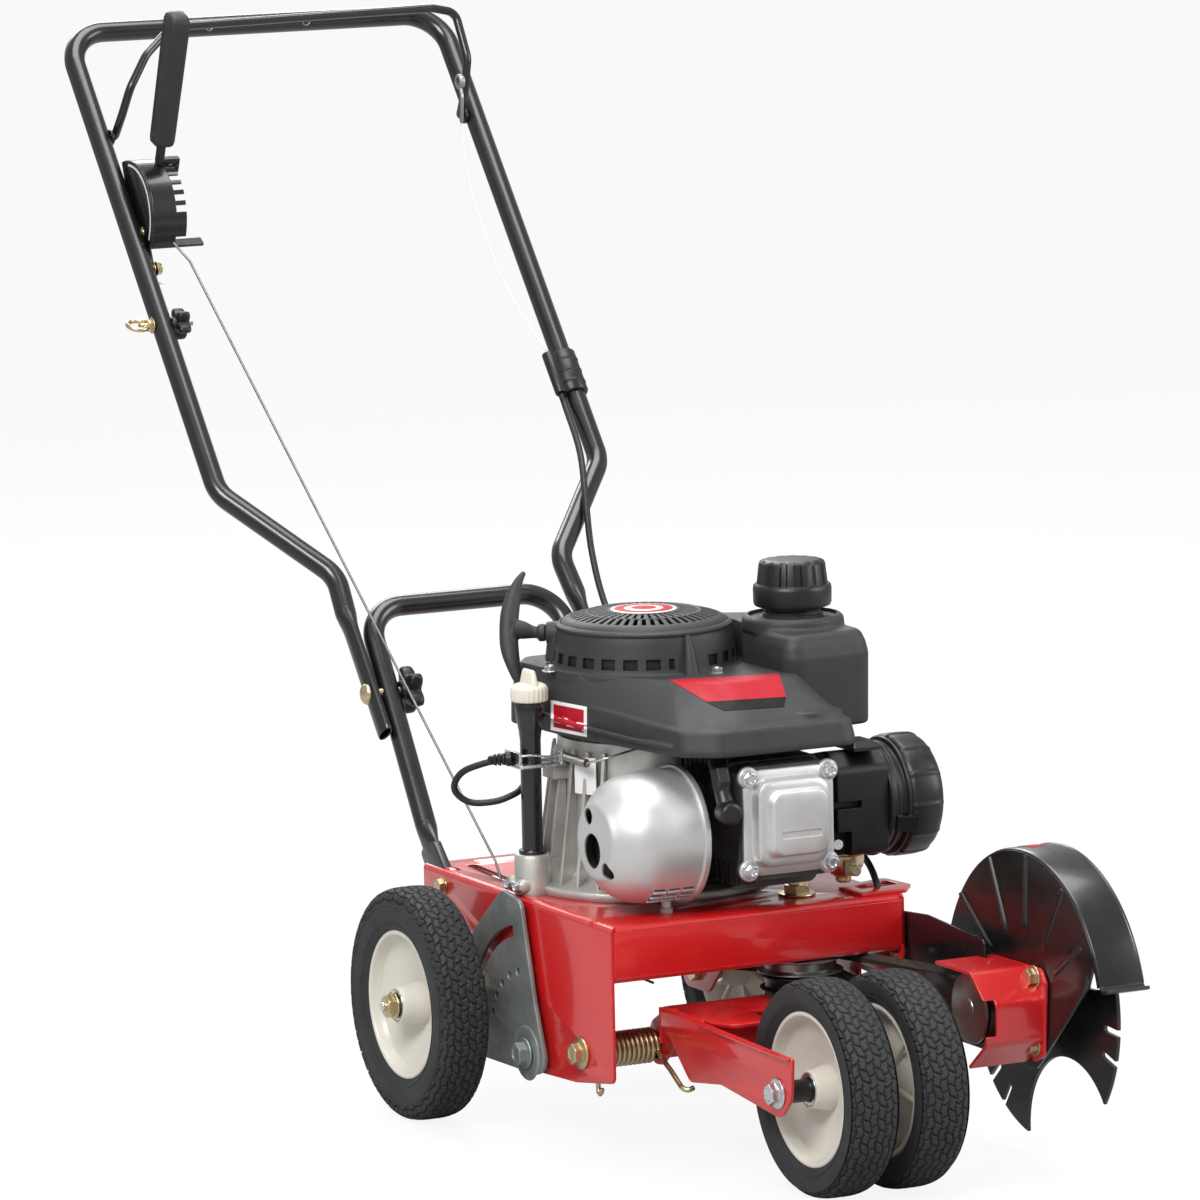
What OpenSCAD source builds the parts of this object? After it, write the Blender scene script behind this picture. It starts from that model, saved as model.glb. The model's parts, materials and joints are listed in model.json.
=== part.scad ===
// Walk-behind lawn edger: petrol engine on a sheet deck, two front wheels on a
// swinging bracket, curb-hop rear wheel, star blade on a cross shaft.
// Frame of the modules: Z up, forward is -Y, origin on the ground under the rear
// axle at mid width. +X is the blade side, called far; -X is called near. Millimetres.

/* [Wheels] */
// rear tyre radius
rear_r = 101.6; // [80:0.1:130]
// front tyre radius
front_r = 91; // [70:0.5:120]
// tyre width
tyre_w = 45; // [30:1:60]
// front axle distance ahead of the rear axle
wheelbase = 455; // [380:1:520]
// rim radius
rim_r = 66; // [45:1:75]

/* [Deck] */
// deck top height
deck_z = 205; // [150:1:260]
// sheet thickness
sheet = 3; // [2:0.5:5]
// half width at the rear
deck_hw = 111; // [90:1:130]
// front edge distance ahead of the rear axle
deck_front = 266.5; // [220:1:300]
// blade side edge
deck_far = 171; // [130:1:190]
// rear edge behind the axle
deck_back = 96; // [60:1:120]

/* [Handle] */
// tube radius
tube_r = 9.5; // [8:0.5:14]
// half width of the upper handle
grip_hw = 192; // [150:1:230]
// half width at the fold bolts
fold_hw = 114.6; // [110:1:150]
// height of the crossbar
grip_z = 908; // [750:1:1000]
// crossbar distance behind the rear axle
grip_y = 657; // [500:1:750]

/* [Blade] */
// blade radius
blade_r = 122; // [100:1:130]
// blade thickness
blade_t = 3.5; // [2:0.5:5]
// blade shaft height
blade_z = 136; // [120:1:160]
// blade shaft distance ahead of the rear axle
blade_y = 428; // [380:1:460]

/* [Engine] */
// crank axis across
crank_x = 14; // [-20:1:40]
// crank axis ahead of the rear axle
crank_y = 95; // [60:1:130]
// recoil cover radius
recoil_r = 80; // [60:1:100]

/* [Depth] */
// radius of the depth notch rim
notch_r = 50; // [40:1:60]
// number of depth notches
notches = 6; // [3:1:8]

/* [Hidden] */
gap = 0.05;  // running clearance on a pin
axle_r = 6;
ORG = [-2.3, -48.5, 0];  // brings the middle of the machine, seen from above, to the origin

// axes along X, as (y, z)
REAR_AXLE = [0, rear_r];
FRONT_AXLE = [-wheelbase, front_r];
SPINDLE = [-blade_y, blade_z];
SWING = [-208.5, 87.7];  // front bracket pivot
CURB = [-120.9, 73.4];   // curb plate pivot
FOLD = [186, 344];       // handle fold bolts
LEVER = [539, 748];      // depth lever pivot
BAIL = [583, 816];       // bail pivot
ROPE = [452, 655];       // rope guide
MUFFLER = [-222, 270];
FILTER = [-214, 282];
GUARD = [-434, 134];     // blade guard arc
// axes along Z, as (x, y)
CRANK = [crank_x, -crank_y];
FILLER = [-94, -88];     // oil filler
TANK_CAP = [130, -150];
DECK_BOLT = [93, -218];

// bolts along X, as (y, z)
LEG_BOLTS = [[57,190], [45,168]];
PLATE_BOLTS = [[-256,150], [-160,150]];
GUARD_BOLTS = [[-459,163], [-459,106]];
QUADRANT_BOLTS = [[490,702], LEVER - [24,15]];

// ---- outlines ---------------------------------------------------------------
function unit(v) = v/norm(v);
function clamped(a) = max(-1, min(1, a));
function last(list) = list[len(list)-1];
// polygon with each [x, y, radius] corner rounded
function rounded(points, steps = 4) = [
  for (i = [0:len(points)-1])
    let (
      count = len(points),
      before = points[(i+count-1)%count],
      here = points[i],
      after = points[(i+1)%count],
      radius = here[2],
      corner = [here[0], here[1]],
      back = unit([before[0], before[1]] - corner),
      ahead = unit([after[0], after[1]] - corner),
      half = acos(clamped(back*ahead))/2,
      centre = corner + unit(back+ahead)*radius/sin(half),
      start = corner + back*radius/tan(half) - centre,
      end = corner + ahead*radius/tan(half) - centre,
      from = atan2(start[1], start[0]),
      turn = atan2(end[1], end[0]) - from,
      sweep = turn > 180 ? turn-360 : (turn < -180 ? turn+360 : turn)
    )
    each (radius == 0 ? [corner] : [for (k = [0:steps])
      centre + radius*[cos(from+sweep*k/steps), sin(from+sweep*k/steps)]])
];
function polar(at, radius, angle) = [at[0] + radius*cos(angle), at[1] + radius*sin(angle)];

// ---- solids along an axis; at is the axis in the other two coordinates ------
module xcyl(x0, x1, at, r)
  translate([x0,at[0],at[1]]) rotate([0,90,0]) cylinder(h = x1-x0, r = r, $fn = 64);
module ycyl(y0, y1, at, r)
  translate([at[0],y1,at[1]]) rotate([90,0,0]) cylinder(h = y1-y0, r = r, $fn = 64);
module zcyl(z0, z1, at, r)
  translate([at[0],at[1],z0]) cylinder(h = z1-z0, r = r, $fn = 64);
module xhex(x0, x1, at, r)
  translate([x0,at[0],at[1]]) rotate([0,90,0]) cylinder(h = x1-x0, r = r, $fn = 6);
module zhex(z0, z1, at, r)
  translate([at[0],at[1],z0]) cylinder(h = z1-z0, r = r, $fn = 6);
// several on one axis, rows of [start, end, radius]
module xcyls(at, rows) for (row = rows) xcyl(row[0], row[1], at, row[2]);
module xhexes(at, rows) for (row = rows) xhex(row[0], row[1], at, row[2]);
module zcyls(at, rows) for (row = rows) zcyl(row[0], row[1], at, row[2]);
// on the near (-1) or far (1) side, between two distances from mid width
module side_cyl(side, inner, outer, at, r)
  xcyl(side > 0 ? inner : -outer, side > 0 ? outer : -inner, at, r);
module side_hex(side, inner, outer, at, r)
  xhex(side > 0 ? inner : -outer, side > 0 ? outer : -inner, at, r);
// outlines in (y,z), (x,z) and (x,y) extruded between two planes
module xplate(x0, x1, points)
  translate([x0,0,0]) rotate([90,0,90]) linear_extrude(x1-x0) polygon(points);
module yplate(y0, y1, points)
  translate([0,y1,0]) rotate([90,0,0]) linear_extrude(y1-y0) polygon(points);
module zplate(z0, z1, points) translate([0,0,z0]) linear_extrude(z1-z0) polygon(points);
// profiles of [radius, x] and [radius, z] turned about an axis
module xrev(points, at)
  translate([0,at[0],at[1]]) rotate([0,90,0]) rotate_extrude($fn = 96) polygon(points);
module zrev(points, at)
  translate([at[0],at[1],0]) rotate_extrude($fn = 96) polygon(points);
// box between its lowest and highest corners
module box(low, high) translate(low) cube(high-low);
// children in a frame on an X axis, turned from +Y toward +Z
module about(at, angle) translate([0,at[0],at[1]]) rotate([angle,0,0]) children();
// children in a frame on a Z axis
module around(at, z, angle) translate([at[0],at[1],z]) rotate([0,0,angle]) children();

// ---- bars along a line --------------------------------------------------------
// centre line with each inner corner turned at a radius
function bent(points, radius, steps) = [
  points[0],
  for (i = [1:len(points)-2])
    let (
      d1 = unit(points[i]-points[i-1]),
      d2 = unit(points[i+1]-points[i]),
      turn = acos(clamped(d1*d2)),
      centre = points[i] + unit(d2-d1)*radius/cos(turn/2),
      out = unit(points[i] - d1*radius*tan(turn/2) - centre)
    )
    for (k = [0:steps]) centre + radius*(out*cos(turn*k/steps) + d1*sin(turn*k/steps)),
  last(points)
];
// skin through rings of points, capped unless it loops
module skin(rings, loop = false) {
  n = len(rings);
  m = len(rings[0]);
  top = (n-1)*m;
  polyhedron([for (ring = rings) each ring], [
    for (i = [0:(loop ? n-1 : n-2)], j = [0:m-1])
      let (
        a = i*m+j,
        b = i*m+(j+1)%m,
        a_next = ((i+1)%n)*m+j,
        b_next = ((i+1)%n)*m+(j+1)%m
      )
      each [[a,b_next,b], [a,a_next,b_next]],
    each (loop ? [] : [for (j = [1:m-2]) each [[0,j,j+1], [top,top+j+1,top+j]]])
  ]);
}
// smooth curve through points, n steps a span
function smooth(points, n) = [
  for (i = [0:len(points)-2], k = [0:n-1])
    let (
      t = k/n,
      p0 = points[max(i-1,0)],
      p1 = points[i],
      p2 = points[i+1],
      p3 = points[min(i+2,len(points)-1)]
    )
    0.5*(2*p1 + (p2-p0)*t + (2*p0-5*p1+4*p2-p3)*t*t + (3*p1-p0-3*p2+p3)*t*t*t),
  last(points)
];
// cross directions carried along a line without twist
function frames(tangents, i, across) = i == len(tangents) ? [] :
  let (v = unit(across - tangents[i]*(tangents[i]*across)))
  concat([v], frames(tangents, i+1, v));
// round bar along a point list
module cord(points, r, sides = 8) {
  n = len(points);
  along = [for (i = [0:n-1]) unit(points[min(i+1,n-1)] - points[max(i-1,0)])];
  across = frames(along, 0, abs(along[0][0]) < 0.8 ? [1,0,0] : [0,0,1]);
  skin([for (i = [0:n-1])
    let (v = cross(along[i], across[i]))
    [for (j = [0:sides-1])
      points[i] + r*(across[i]*cos(360*j/sides) + v*sin(360*j/sides))]]);
}
module pipe(points, bend, r, sides = 20, steps = 6) cord(bent(points, bend, steps), r, sides);

// ---- wheels -------------------------------------------------------------------
rear_near_x = -164;   // wheel centre planes
rear_far_x = 161;
front_near_x = -10.5;
front_far_x = 55.5;
seat_r = rim_r-0.95;  // inner radius of a tyre

// dished rim on the plane x = mid, outer face toward out, hub from hub0 to hub1
module rim(mid, out, at, hub0, hub1) {
  w = tyre_w/2;
  difference() {
    union() {
      xrev([
        [rim_r-1,mid-w+5], [rim_r-1,mid+w-5], [rim_r-4,mid+w-5], [rim_r-5.5,mid+w-8],
        [rim_r-9,mid+out*4+2.2], [rim_r-22,mid+out*2+2], [rim_r-36,mid-out*3+2.4],
        [18,mid-out*6+2.6], [18,mid-out*6-2.6],
        [rim_r-36,mid-out*3-2.4], [rim_r-22,mid+out*2-2], [rim_r-9,mid+out*4-2.2],
        [rim_r-5.5,mid-w+8], [rim_r-4,mid-w+5]], at);
      xrev([
        [gap+axle_r,hub0], [16,hub0], [16,hub0+5], [19,mid-out*6-6],
        [19,mid-out*6+6], [16,hub1-5], [16,hub1], [gap+axle_r,hub1]], at);
    }
    xcyl(hub0-1, hub1+1, at, axle_r+gap);
    // ring groove in each hub end
    for (x = [hub0-1, hub1-1]) difference() {
      xcyl(x, x+2, at, 13.5);
      xcyl(x-1, x+3, at, 10);
    }
  }
}
module tyre(mid, at, r) {
  w = tyre_w/2;
  xrev([
    [seat_r,mid-w+5], [seat_r+5,mid-w+1.5], [seat_r+13,mid-w], [r-11,mid-w+0.6],
    [r-6,mid-w+1.8], [r-2.5,mid-w+4.5], [r-0.8,mid-w+9], [r,mid-7],
    [r,mid+7], [r-0.8,mid+w-9], [r-2.5,mid+w-4.5], [r-6,mid+w-1.8],
    [r-11,mid+w-0.6], [seat_r+13,mid+w], [seat_r+5,mid+w-1.5], [seat_r,mid+w-5]], at);
}
module rear_rim_near() color("ivory") rim(rear_near_x, -1, REAR_AXLE, -186, -129);
module rear_tyre_near() color("dimgray") tyre(rear_near_x, REAR_AXLE, rear_r);
module rear_rim_far() color("ivory") rim(rear_far_x, 1, REAR_AXLE, 129, 183);
module rear_tyre_far() color("dimgray") tyre(rear_far_x, REAR_AXLE, rear_r);
module front_rim_near() color("ivory") rim(front_near_x, -1, FRONT_AXLE, -27, 20);
module front_tyre_near() color("dimgray") tyre(front_near_x, FRONT_AXLE, front_r);
module front_rim_far() color("ivory") rim(front_far_x, 1, FRONT_AXLE, 25, 72);
module front_tyre_far() color("dimgray") tyre(front_far_x, FRONT_AXLE, front_r);

// stub axle, thinned where it passes the curb plate
module near_axle() color("goldenrod") {
  difference() {
    union() {
      xcyls(REAR_AXLE,
        [[-197,-112.2,axle_r], [-128.8,-120,9], [-188.4,-186.2,12], [-116,-112.4,10]]);
      xhex(-195, -188.4, REAR_AXLE, 9.5);
    }
    xcyl(-120, -116, REAR_AXLE, 20);
  }
  xcyl(-120, -116, REAR_AXLE, axle_r-gap);
}
module far_axle() color("goldenrod") {
  xcyls(REAR_AXLE, [[103,195,axle_r], [deck_hw,128.8,10], [183.2,185.4,12]]);
  xhexes(REAR_AXLE, [[185.4,193,9.5], [102,deck_hw-sheet,10]]);
}
module front_axle() color("silver") {
  xcyls(FRONT_AXLE, [[-67,110,axle_r], [-59.5,-57,13], [-57,-55,11.5],
    [-52,-27.2,9.5], [20.2,24.8,9.5], [72.2,97,9.5]]);
  xhexes(FRONT_AXLE, [[-66,-59.5,9], [100,108,10]]);
}

// ---- deck ---------------------------------------------------------------------
// edge plates, (y, z, corner radius)
DECK_NEAR = [
  [-deck_front,deck_z,0], [-deck_front,71,7], [-196,60,20], [-120,56,14], [-70,62,20],
  [-20,128,20], [30,140,10], [60,152,10], [deck_back,178,8], [deck_back,deck_z,0]];
DECK_FAR_FRONT = [
  [-deck_front,deck_z,0], [-deck_front,149,4], [-250,132,8], [-150,132,8],
  [-125,160,6], [-125,deck_z,0]];
DECK_FAR_REAR = [
  [-88,deck_z,0], [-88,150,8], [-22,84,12], [22,84,12], [50,150,10],
  [deck_back,178,8], [deck_back,deck_z,0]];
HANGER = [
  [-240,deck_z-sheet,0], [-240,130,8], [-226,72,14], [-190,72,14], [-176,130,8],
  [-176,deck_z-sheet,0]];
// on the curb plate, (y, z)
CURB_BOLT = polar(CURB, 105, 18);
CURB_PIN = polar(CURB, 70, 21.2);

module deck() color("red") difference() {
  union() {
    zplate(deck_z-sheet, deck_z, [
      [-deck_hw,-deck_front], [deck_far,-deck_front], [deck_far,-125], [deck_hw,-88],
      [deck_hw,deck_back], [-deck_hw,deck_back]]);
    box([-deck_hw,-deck_front,157.5], [deck_far,-deck_front+sheet,deck_z]);
    xplate(-deck_hw, -deck_hw+sheet, rounded(DECK_NEAR));
    xplate(deck_far-sheet, deck_far, rounded(DECK_FAR_FRONT));
    // slanted wall joining the two far plates
    hull() {
      zcyl(165, deck_z, [deck_far-sheet/2,-125], 1.5);
      zcyl(165, deck_z, [deck_hw-sheet/2,-88], 1.5);
    }
    xplate(deck_hw-sheet, deck_hw, rounded(DECK_FAR_REAR));
    box([-deck_hw,deck_back-sheet,186], [deck_hw,deck_back,deck_z]);
    // hanger for the far end of the bracket pivot
    xplate(140, 143, rounded(HANGER));
    // raised cable tab on the blade side front corner
    zplate(deck_z-0.5, deck_z+3,
      rounded([[133,-262,4], [133,-216,5], [186,-204,6], [191,-243,6], [176,-262,6]]));
    // stiffening lip along the near edge
    box([-deck_hw,-60,deck_z-1], [-deck_hw+2.5,deck_back,deck_z+2.5]);
  }
  // slot for the depth wire
  around([-84,18], deck_z-6, 4) {
    translate([-4.5,-38,0]) cube([9,76,12]);
    for (y = [-38,38]) translate([0,y,0]) cylinder(h = 12, r = 4.5, $fn = 24);
  }
  // notches where the handle legs pass
  for (side = [-1,1]) {
    x0 = side > 0 ? 92 : -(deck_hw-sheet);
    x1 = side > 0 ? deck_hw-sheet : -92;
    box([x0,45,deck_z-6], [x1,97,deck_z+1]);
    box([x0,88,180], [x1,97,deck_z+1]);
  }
  // slot in the raised tab
  zplate(deck_z-5, deck_z+5,
    rounded([[144,-242,4], [144,-226,4], [180,-217,4], [183,-236,4]], 3));
  // crank and fixing holes
  zcyl(deck_z-6, deck_z+1, CRANK, 22);
  zcyl(deck_z-6, deck_z+1, DECK_BOLT, 6+gap);
  zcyl(deck_z-6, deck_z+1, [60,-178], 5.05);
  for (side = [-1,1], at = LEG_BOLTS) xcyl(side*110-6, side*110+6, at, 4.1);
  xcyl(100, 120, REAR_AXLE, axle_r+gap);
  xcyls(SWING, [[-115,-105,8+gap], [136,147,8+gap]]);
  xcyl(-115, -105, CURB, 6+gap);
  xcyl(-115, -105, CURB_BOLT, 4+gap);
  xcyl(-115, -105, CURB_PIN, 3+gap);
  for (at = PLATE_BOLTS) xcyl(164, 175, at, 4.1);
  xcyl(139, 144, [-223.5,181.5], 6);
  // corner relief
  translate([-deck_hw+3,-deck_front-1,deck_z-9])
    rotate([-90,0,0]) cylinder(h = 6, r = 2.5, $fn = 24);
}
module fasteners() color("goldenrod") {
  // handle leg bolts
  for (side = [-1,1], at = LEG_BOLTS) {
    side_cyl(side, 96, 116, at, 4);
    side_hex(side, deck_hw, 116.5, at, 7);
    side_hex(side, 93, 99.9, at, 7);
  }
  // flanged bolt in the deck top
  zcyls(DECK_BOLT, [
    [deck_z-12,deck_z+18,6], [deck_z,deck_z+2.5,16], [deck_z+2.5,deck_z+6,11]]);
  zhex(deck_z+6, deck_z+16, DECK_BOLT, 9.5);
  for (at = GUARD_BOLTS) {
    xcyls(at, [[180,196,4], [184.8,186.4,10]]);
    xhexes(at, [[179,184.8,7.5], [193.1,198,7]]);
  }
  for (at = PLATE_BOLTS) {
    xcyl(163, 186, at, 4);
    xhexes(at, [[181,186,7], [162,167.9,7]]);
  }
}

// ---- handle -------------------------------------------------------------------
// lower leg tube ends, (y, z)
LEG_FOOT = [107, 236];
LEG_TOP = [239, 412];
leg_lean = atan2(LEG_TOP[0]-LEG_FOOT[0], LEG_TOP[1]-LEG_FOOT[1]);
tongue_lean = atan2(78, 99);  // lean of the upper handle's flat ends
// flat foot of a leg, (y, z, corner radius)
LEG_PLATE = [
  [82,226,0], [40,186,8], [30,155,6], [52,148,6], [66,162,8], [108,211,0], [100,222,0]];

module lower_handle() color("#222") difference() {
  union() {
    pipe([[-102.5,each LEG_FOOT], [-94,each LEG_TOP], [94,each LEG_TOP],
      [102.5,each LEG_FOOT]], 34, tube_r);
    for (side = [-1,1]) {
      // round tube running into the flat foot
      hull() {
        translate([side*102.5,LEG_FOOT[0],LEG_FOOT[1]]) rotate([-leg_lean,0,0])
          translate([0,0,-1]) cylinder(h = 2, r = tube_r, $fn = 32);
        xplate(side*104-4, side*104+4, [[82,226], [85,231], [108,214], [104,208]]);
      }
      xplate(side*104-4, side*104+4, rounded(LEG_PLATE, 3));
    }
  }
  for (side = [-1,1]) {
    xcyl(side*98-14, side*98+14, FOLD, 4+gap);
    for (at = LEG_BOLTS) xcyl(side*104-6, side*104+6, at, 4.1);
  }
}
// thin slice of a flat end: half thickness across X, half width along the side
module flat_slice(side, at, half_t, half_w)
  translate([side*fold_hw,at[0],at[1]]) rotate([-tongue_lean,0,0])
    scale([half_t/half_w,1,1]) translate([0,0,-1]) cylinder(h = 2, r = half_w, $fn = 48);
module upper_handle() color("#222") difference() {
  near_half = [
    [-fold_hw,238,410], [-112,262,440], [-grip_hw,337,513], [-grip_hw,grip_y,grip_z]];
  far_half = [for (i = [3:-1:0]) [-near_half[i][0], near_half[i][1], near_half[i][2]]];
  union() {
    pipe(concat(near_half, far_half), 34, tube_r);
    for (side = [-1,1]) {
      hull() {
        flat_slice(side, [239,411.2], tube_r, tube_r);
        flat_slice(side, [226,394.6], 5.6, 11);
      }
      hull() {
        flat_slice(side, [226,394.6], 5.6, 11);
        flat_slice(side, [160,311], 5.6, 11);
      }
    }
  }
  for (side = [-1,1]) {
    xcyl(side*fold_hw-12, side*fold_hw+12, FOLD, 4+gap);
    xcyl(side*(grip_hw-5)-6, side*(grip_hw-5)+6, BAIL, 4+gap);
    // hollow in the lower end
    hull() {
      flat_slice(side, [159,309.8], 4, 9.4);
      flat_slice(side, [166,318.6], 4, 9.4);
    }
  }
  for (at = QUADRANT_BOLTS) xcyl(-205, -180, at, 3.55);
  xcyl(-205, -180, ROPE, 3+gap);
  for (x = [-50,50]) ycyl(grip_y-15, grip_y+15, [x,grip_z], 3);
}
module fold_bolts() color("goldenrod") for (side = [-1,1]) {
  side_cyl(side, 70, 122, FOLD, 4);
  translate([side*120.1,FOLD[0],FOLD[1]]) rotate([0,side*90,0]) rotate_extrude($fn = 48)
    polygon([[0,0.3], [9,0.3], [8.5,1.6], [6,3.6], [3,4.6], [0,4.9]]);
}
// five-lobed knob with a hub longer than the lobes
module knob(x0, x1, at, bore, r) difference() {
  union() {
    xplate(x0, x1, [for (a = [0:6:354]) polar(at, r*(0.83+0.17*cos(5*a)), a)]);
    xcyl(x0-4, x1+4, at, r*0.42);
  }
  xcyl(x0-6, x1+6, at, bore);
}
module knob_near() color("#1a1a1a") knob(-83.5, -71.5, FOLD, 4+gap, 22);
module knob_far() color("#1a1a1a") knob(71.5, 83.5, FOLD, 4+gap, 22);
module knob_guide() color("#1a1a1a") knob(-178, -169, ROPE, 3+gap, 15);
module rope_guide() color("goldenrod") {
  xcyl(-214, -162, ROPE, 3);
  translate([-216,ROPE[0],ROPE[1]]) rotate([18,0,0])
    rotate_extrude($fn = 48) translate([9,0]) circle(2.4, $fn = 24);
}
// rod along the far upper tube; centred on the given point
module sleeve_rod(at, length, r, sides, lean = -39)
  translate(at) rotate([lean,0,0]) translate([0,0,-length/2])
    cylinder(h = length, r = r, $fn = sides);
module cable_sleeve() color("#1a1a1a") difference() {
  on_tube = [grip_hw,397,587];
  on_cable = [grip_hw-15,394,589.5];
  union() {
    sleeve_rod(on_tube, 44, 13, 48);
    sleeve_rod(on_cable, 44, 5.5, 32);
  }
  sleeve_rod(on_tube, 120, tube_r+0.1, 48, -39.03);
  sleeve_rod(on_cable, 120, 3.3, 32);
}
module bail() color("#1a1a1a") pipe([
  [-187,each BAIL], [-177,each BAIL], [-175,568,838], [-170,560,862], [-150,566,892],
  [-118,580,915], [150,584,919], [174,582,914], [178,566,872], [174,566,838],
  [177,each BAIL], [187,each BAIL]], 4, 4, 12, 4);

// ---- depth control ------------------------------------------------------------
lever_angle = 110.9;  // lever and first notch
notch_pitch = 12;     // degrees

module depth_quadrant() color("#1a1a1a") difference() {
  union() {
    xplate(-182.3, -180.3, rounded([
      for (a = [70:10:215]) [each polar(LEVER, notch_r, a), 0],
      [478,690,5], [492,690,5], [LEVER[0]-10,LEVER[1]-42,4], [LEVER[0]+14,LEVER[1],4]], 3));
    // curved comb standing off the plate
    intersection() {
      xplate(-181, -146, [
        for (a = [70:5:215]) polar(LEVER, notch_r, a),
        for (a = [215:-5:70]) polar(LEVER, notch_r-1.9, a)]);
      xcyl(-190, -140, LEVER, 70);
    }
    about(LEVER, 214) box([-180.3,notch_r-10.5,-2], [-128,notch_r,1]);
  }
  // detent notches open to the inner edge
  for (i = [0:notches-1])
    about(LEVER, lever_angle+i*notch_pitch) box([-164.5,30,-4.4], [-140,80,4.4]);
  about(LEVER, 207.5) box([-171,40,-5], [-150,60,5]);
  xcyl(-190, -170, LEVER, 6+gap);
  for (at = QUADRANT_BOLTS) xcyl(-205, -170, at, 3.55);
}
// points of a lever arm, (along, across), turned about the lever pivot
function arm(points, angle) =
  [for (p = points) polar(LEVER, norm(p), angle+atan2(p[1],p[0]))];
module depth_lever() color("#1a1a1a") {
  difference() {
    xplate(-163, -157, concat(
      arm([[12,-6], [38,-6], [38,-4], [47.7,-4], [47.7,4], [38,4], [38,6], [12,6]],
        lever_angle),
      [for (a = [145:10:172]) polar(LEVER, 13, a)],
      arm([[12,-5], [38,-5], [38,5], [12,5]], 201),
      [for (a = [232:12:436]) polar(LEVER, 13, a)]));
    about(LEVER, 201) xcyl(-170, -150, [33,0], 2);
  }
  xcyls(LEVER, [[-176,-163,9], [-182.6,-176,6]]);
  // outer half of the lever, carried round the inner side of the comb
  about(LEVER, lever_angle) {
    box([-163,50.3,-4], [-157,98,4]);
    box([-158,42,-3.4], [-141,47.6,3.4]);
    box([-158,50.5,-3.4], [-141,56,3.4]);
    box([-145.4,45,-3.4], [-141,53,3.4]);
  }
}
module lever_grip() color("#444") about(LEVER, lever_angle) difference() {
  xplate(-170, -150, rounded([[70,-9,3], [200,-13,10], [200,11,10], [70,9,3]]));
  box([-163.1,60,-4.1], [-156.9,98.1,4.1]);
}
module depth_wire() color("gray") cord([
  [-166,506,734], [-150,480,708], [-84,6,217], [-82,-8,190], [-60,-150,150],
  [-40,-205,140]], 1.2, 6);
module inner_cable() color("gainsboro") cord(smooth([
  [169,560,838], [170,566,806], [168,540,744], [168,484,674], [172,440,634],
  [177,412,610]], 5), 1.2, 6);
module control_cable() color("#1a1a1a") cord(smooth([
  [177,373,560], [165,322,525], [152,286,484], [148,268,440], [146,240,396],
  [140,180,350], [132,100,316], [128,30,294], [138,-30,276], [160,-120,250],
  [168,-190,232], [164,-229,212], [160,-236,190], [130,-215,178], [108,-200,172]], 5), 3);

// ---- curb side ----------------------------------------------------------------
// (y, z, corner radius)
CURB_PLATE = [
  [-78,209,11], [-113,204,11], [-137,118,25], [-157,66,14], [-138,57,10], [-36,55,12],
  [-4,84,10], [22,92,14], [20,122,14], [-14,126,10], [-14,158,18], [-40,180,20]];

module curb_plate() color("#7a8580") difference() {
  xplate(-120, -116, rounded(CURB_PLATE));
  xcyl(-125, -110, REAR_AXLE, axle_r);
  xcyl(-125, -110, CURB, 6+gap);
  for (a = [21.2,35.3,49.5,63.7,78]) xcyl(-125, -110, polar(CURB, 70, a), 3.6);
  // curved slot
  xplate(-125, -110, [
    for (a = [15:4:79]) polar(CURB, 110.2, a),
    for (a = [79:-4:15]) polar(CURB, 99.8, a)]);
}
module curb_pivot() color("silver") {
  xcyls(CURB, [[-126,-100,6], [-126,-120.1,13], [-115.9,-111,13]]);
  xhexes(CURB, [[-132,-126,10], [-108,-102,10]]);
  xcyls(CURB_BOLT, [[-124,-104,4], [-115.8,-111,7]]);
  xhexes(CURB_BOLT, [[-126,-120.2,7.5], [-108,-104,7]]);
  xcyls(CURB_PIN, [[-115.8,-104,3], [-108,-104,5.5]]);
}

// ---- front bracket ------------------------------------------------------------
// (y, z, corner radius)
NEAR_ARM = [
  [-246,127,4], [-318,130,10], [-480,124,3], [-477,88,18], [-wheelbase-4,70,18],
  [-354,80,30], [-298,72,12], [-263,102,12], [-246,110,4]];
FAR_ARM = [
  [-285,98,6], [-318,124,14], [-480,124,3], [-477,88,18], [-wheelbase-4,70,18],
  [-354,76,30], [-296,70,14], [-206,70,14], [-190,SWING[1],12], [-200,100,10]];
PIVOT_EAR = [
  [-245,127,0], [-245,92,10], [-222,72,8], [-206,70,14], [-190,SWING[1],14],
  [-204,108,12], [-236,127,2]];
INNER_WALL = [
  [-243,128,0], [-243,96,0], [-222,96,6], [-222,84,4], [-346,76,8], [-346,128,4]];
// (x, y, corner radius)
BRACKET_TOP = [[-55,-244,0], [44,-244,0], [44,-346,8], [-38,-350,10], [-55,-318,0]];

module front_bracket() color("red") difference() {
  union() {
    xplate(-55, -52, rounded(NEAR_ARM));
    xplate(97, 100, rounded(FAR_ARM));
    zplate(125, 128, rounded(BRACKET_TOP, 3));
    box([-55,-246,96], [44,-243,128]);
    xplate(41, 44, rounded(INNER_WALL, 3));
    box([44,-345,76], [97,-318,79]);
    xcyl(-41.5, 100, SWING, 13);
    xplate(-41.5, -38.5, rounded(PIVOT_EAR));
  }
  xcyl(-60, 106, SWING, 8+gap);
  xcyl(-60, 106, FRONT_AXLE, axle_r);
  zcyl(118, 132, [-5,-268], 7);
  zplate(120, 132, rounded([[0,-335,6], [0,-302,6], [30,-302,6], [30,-335,6]], 3));
}
module bracket_pivot() color("goldenrod") {
  xcyls(SWING, [[-117,150,8], [-115,-111,14], [100.2,140,11]]);
  xhexes(SWING, [[-124,-115,9], [143,151,11]]);
}
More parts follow.
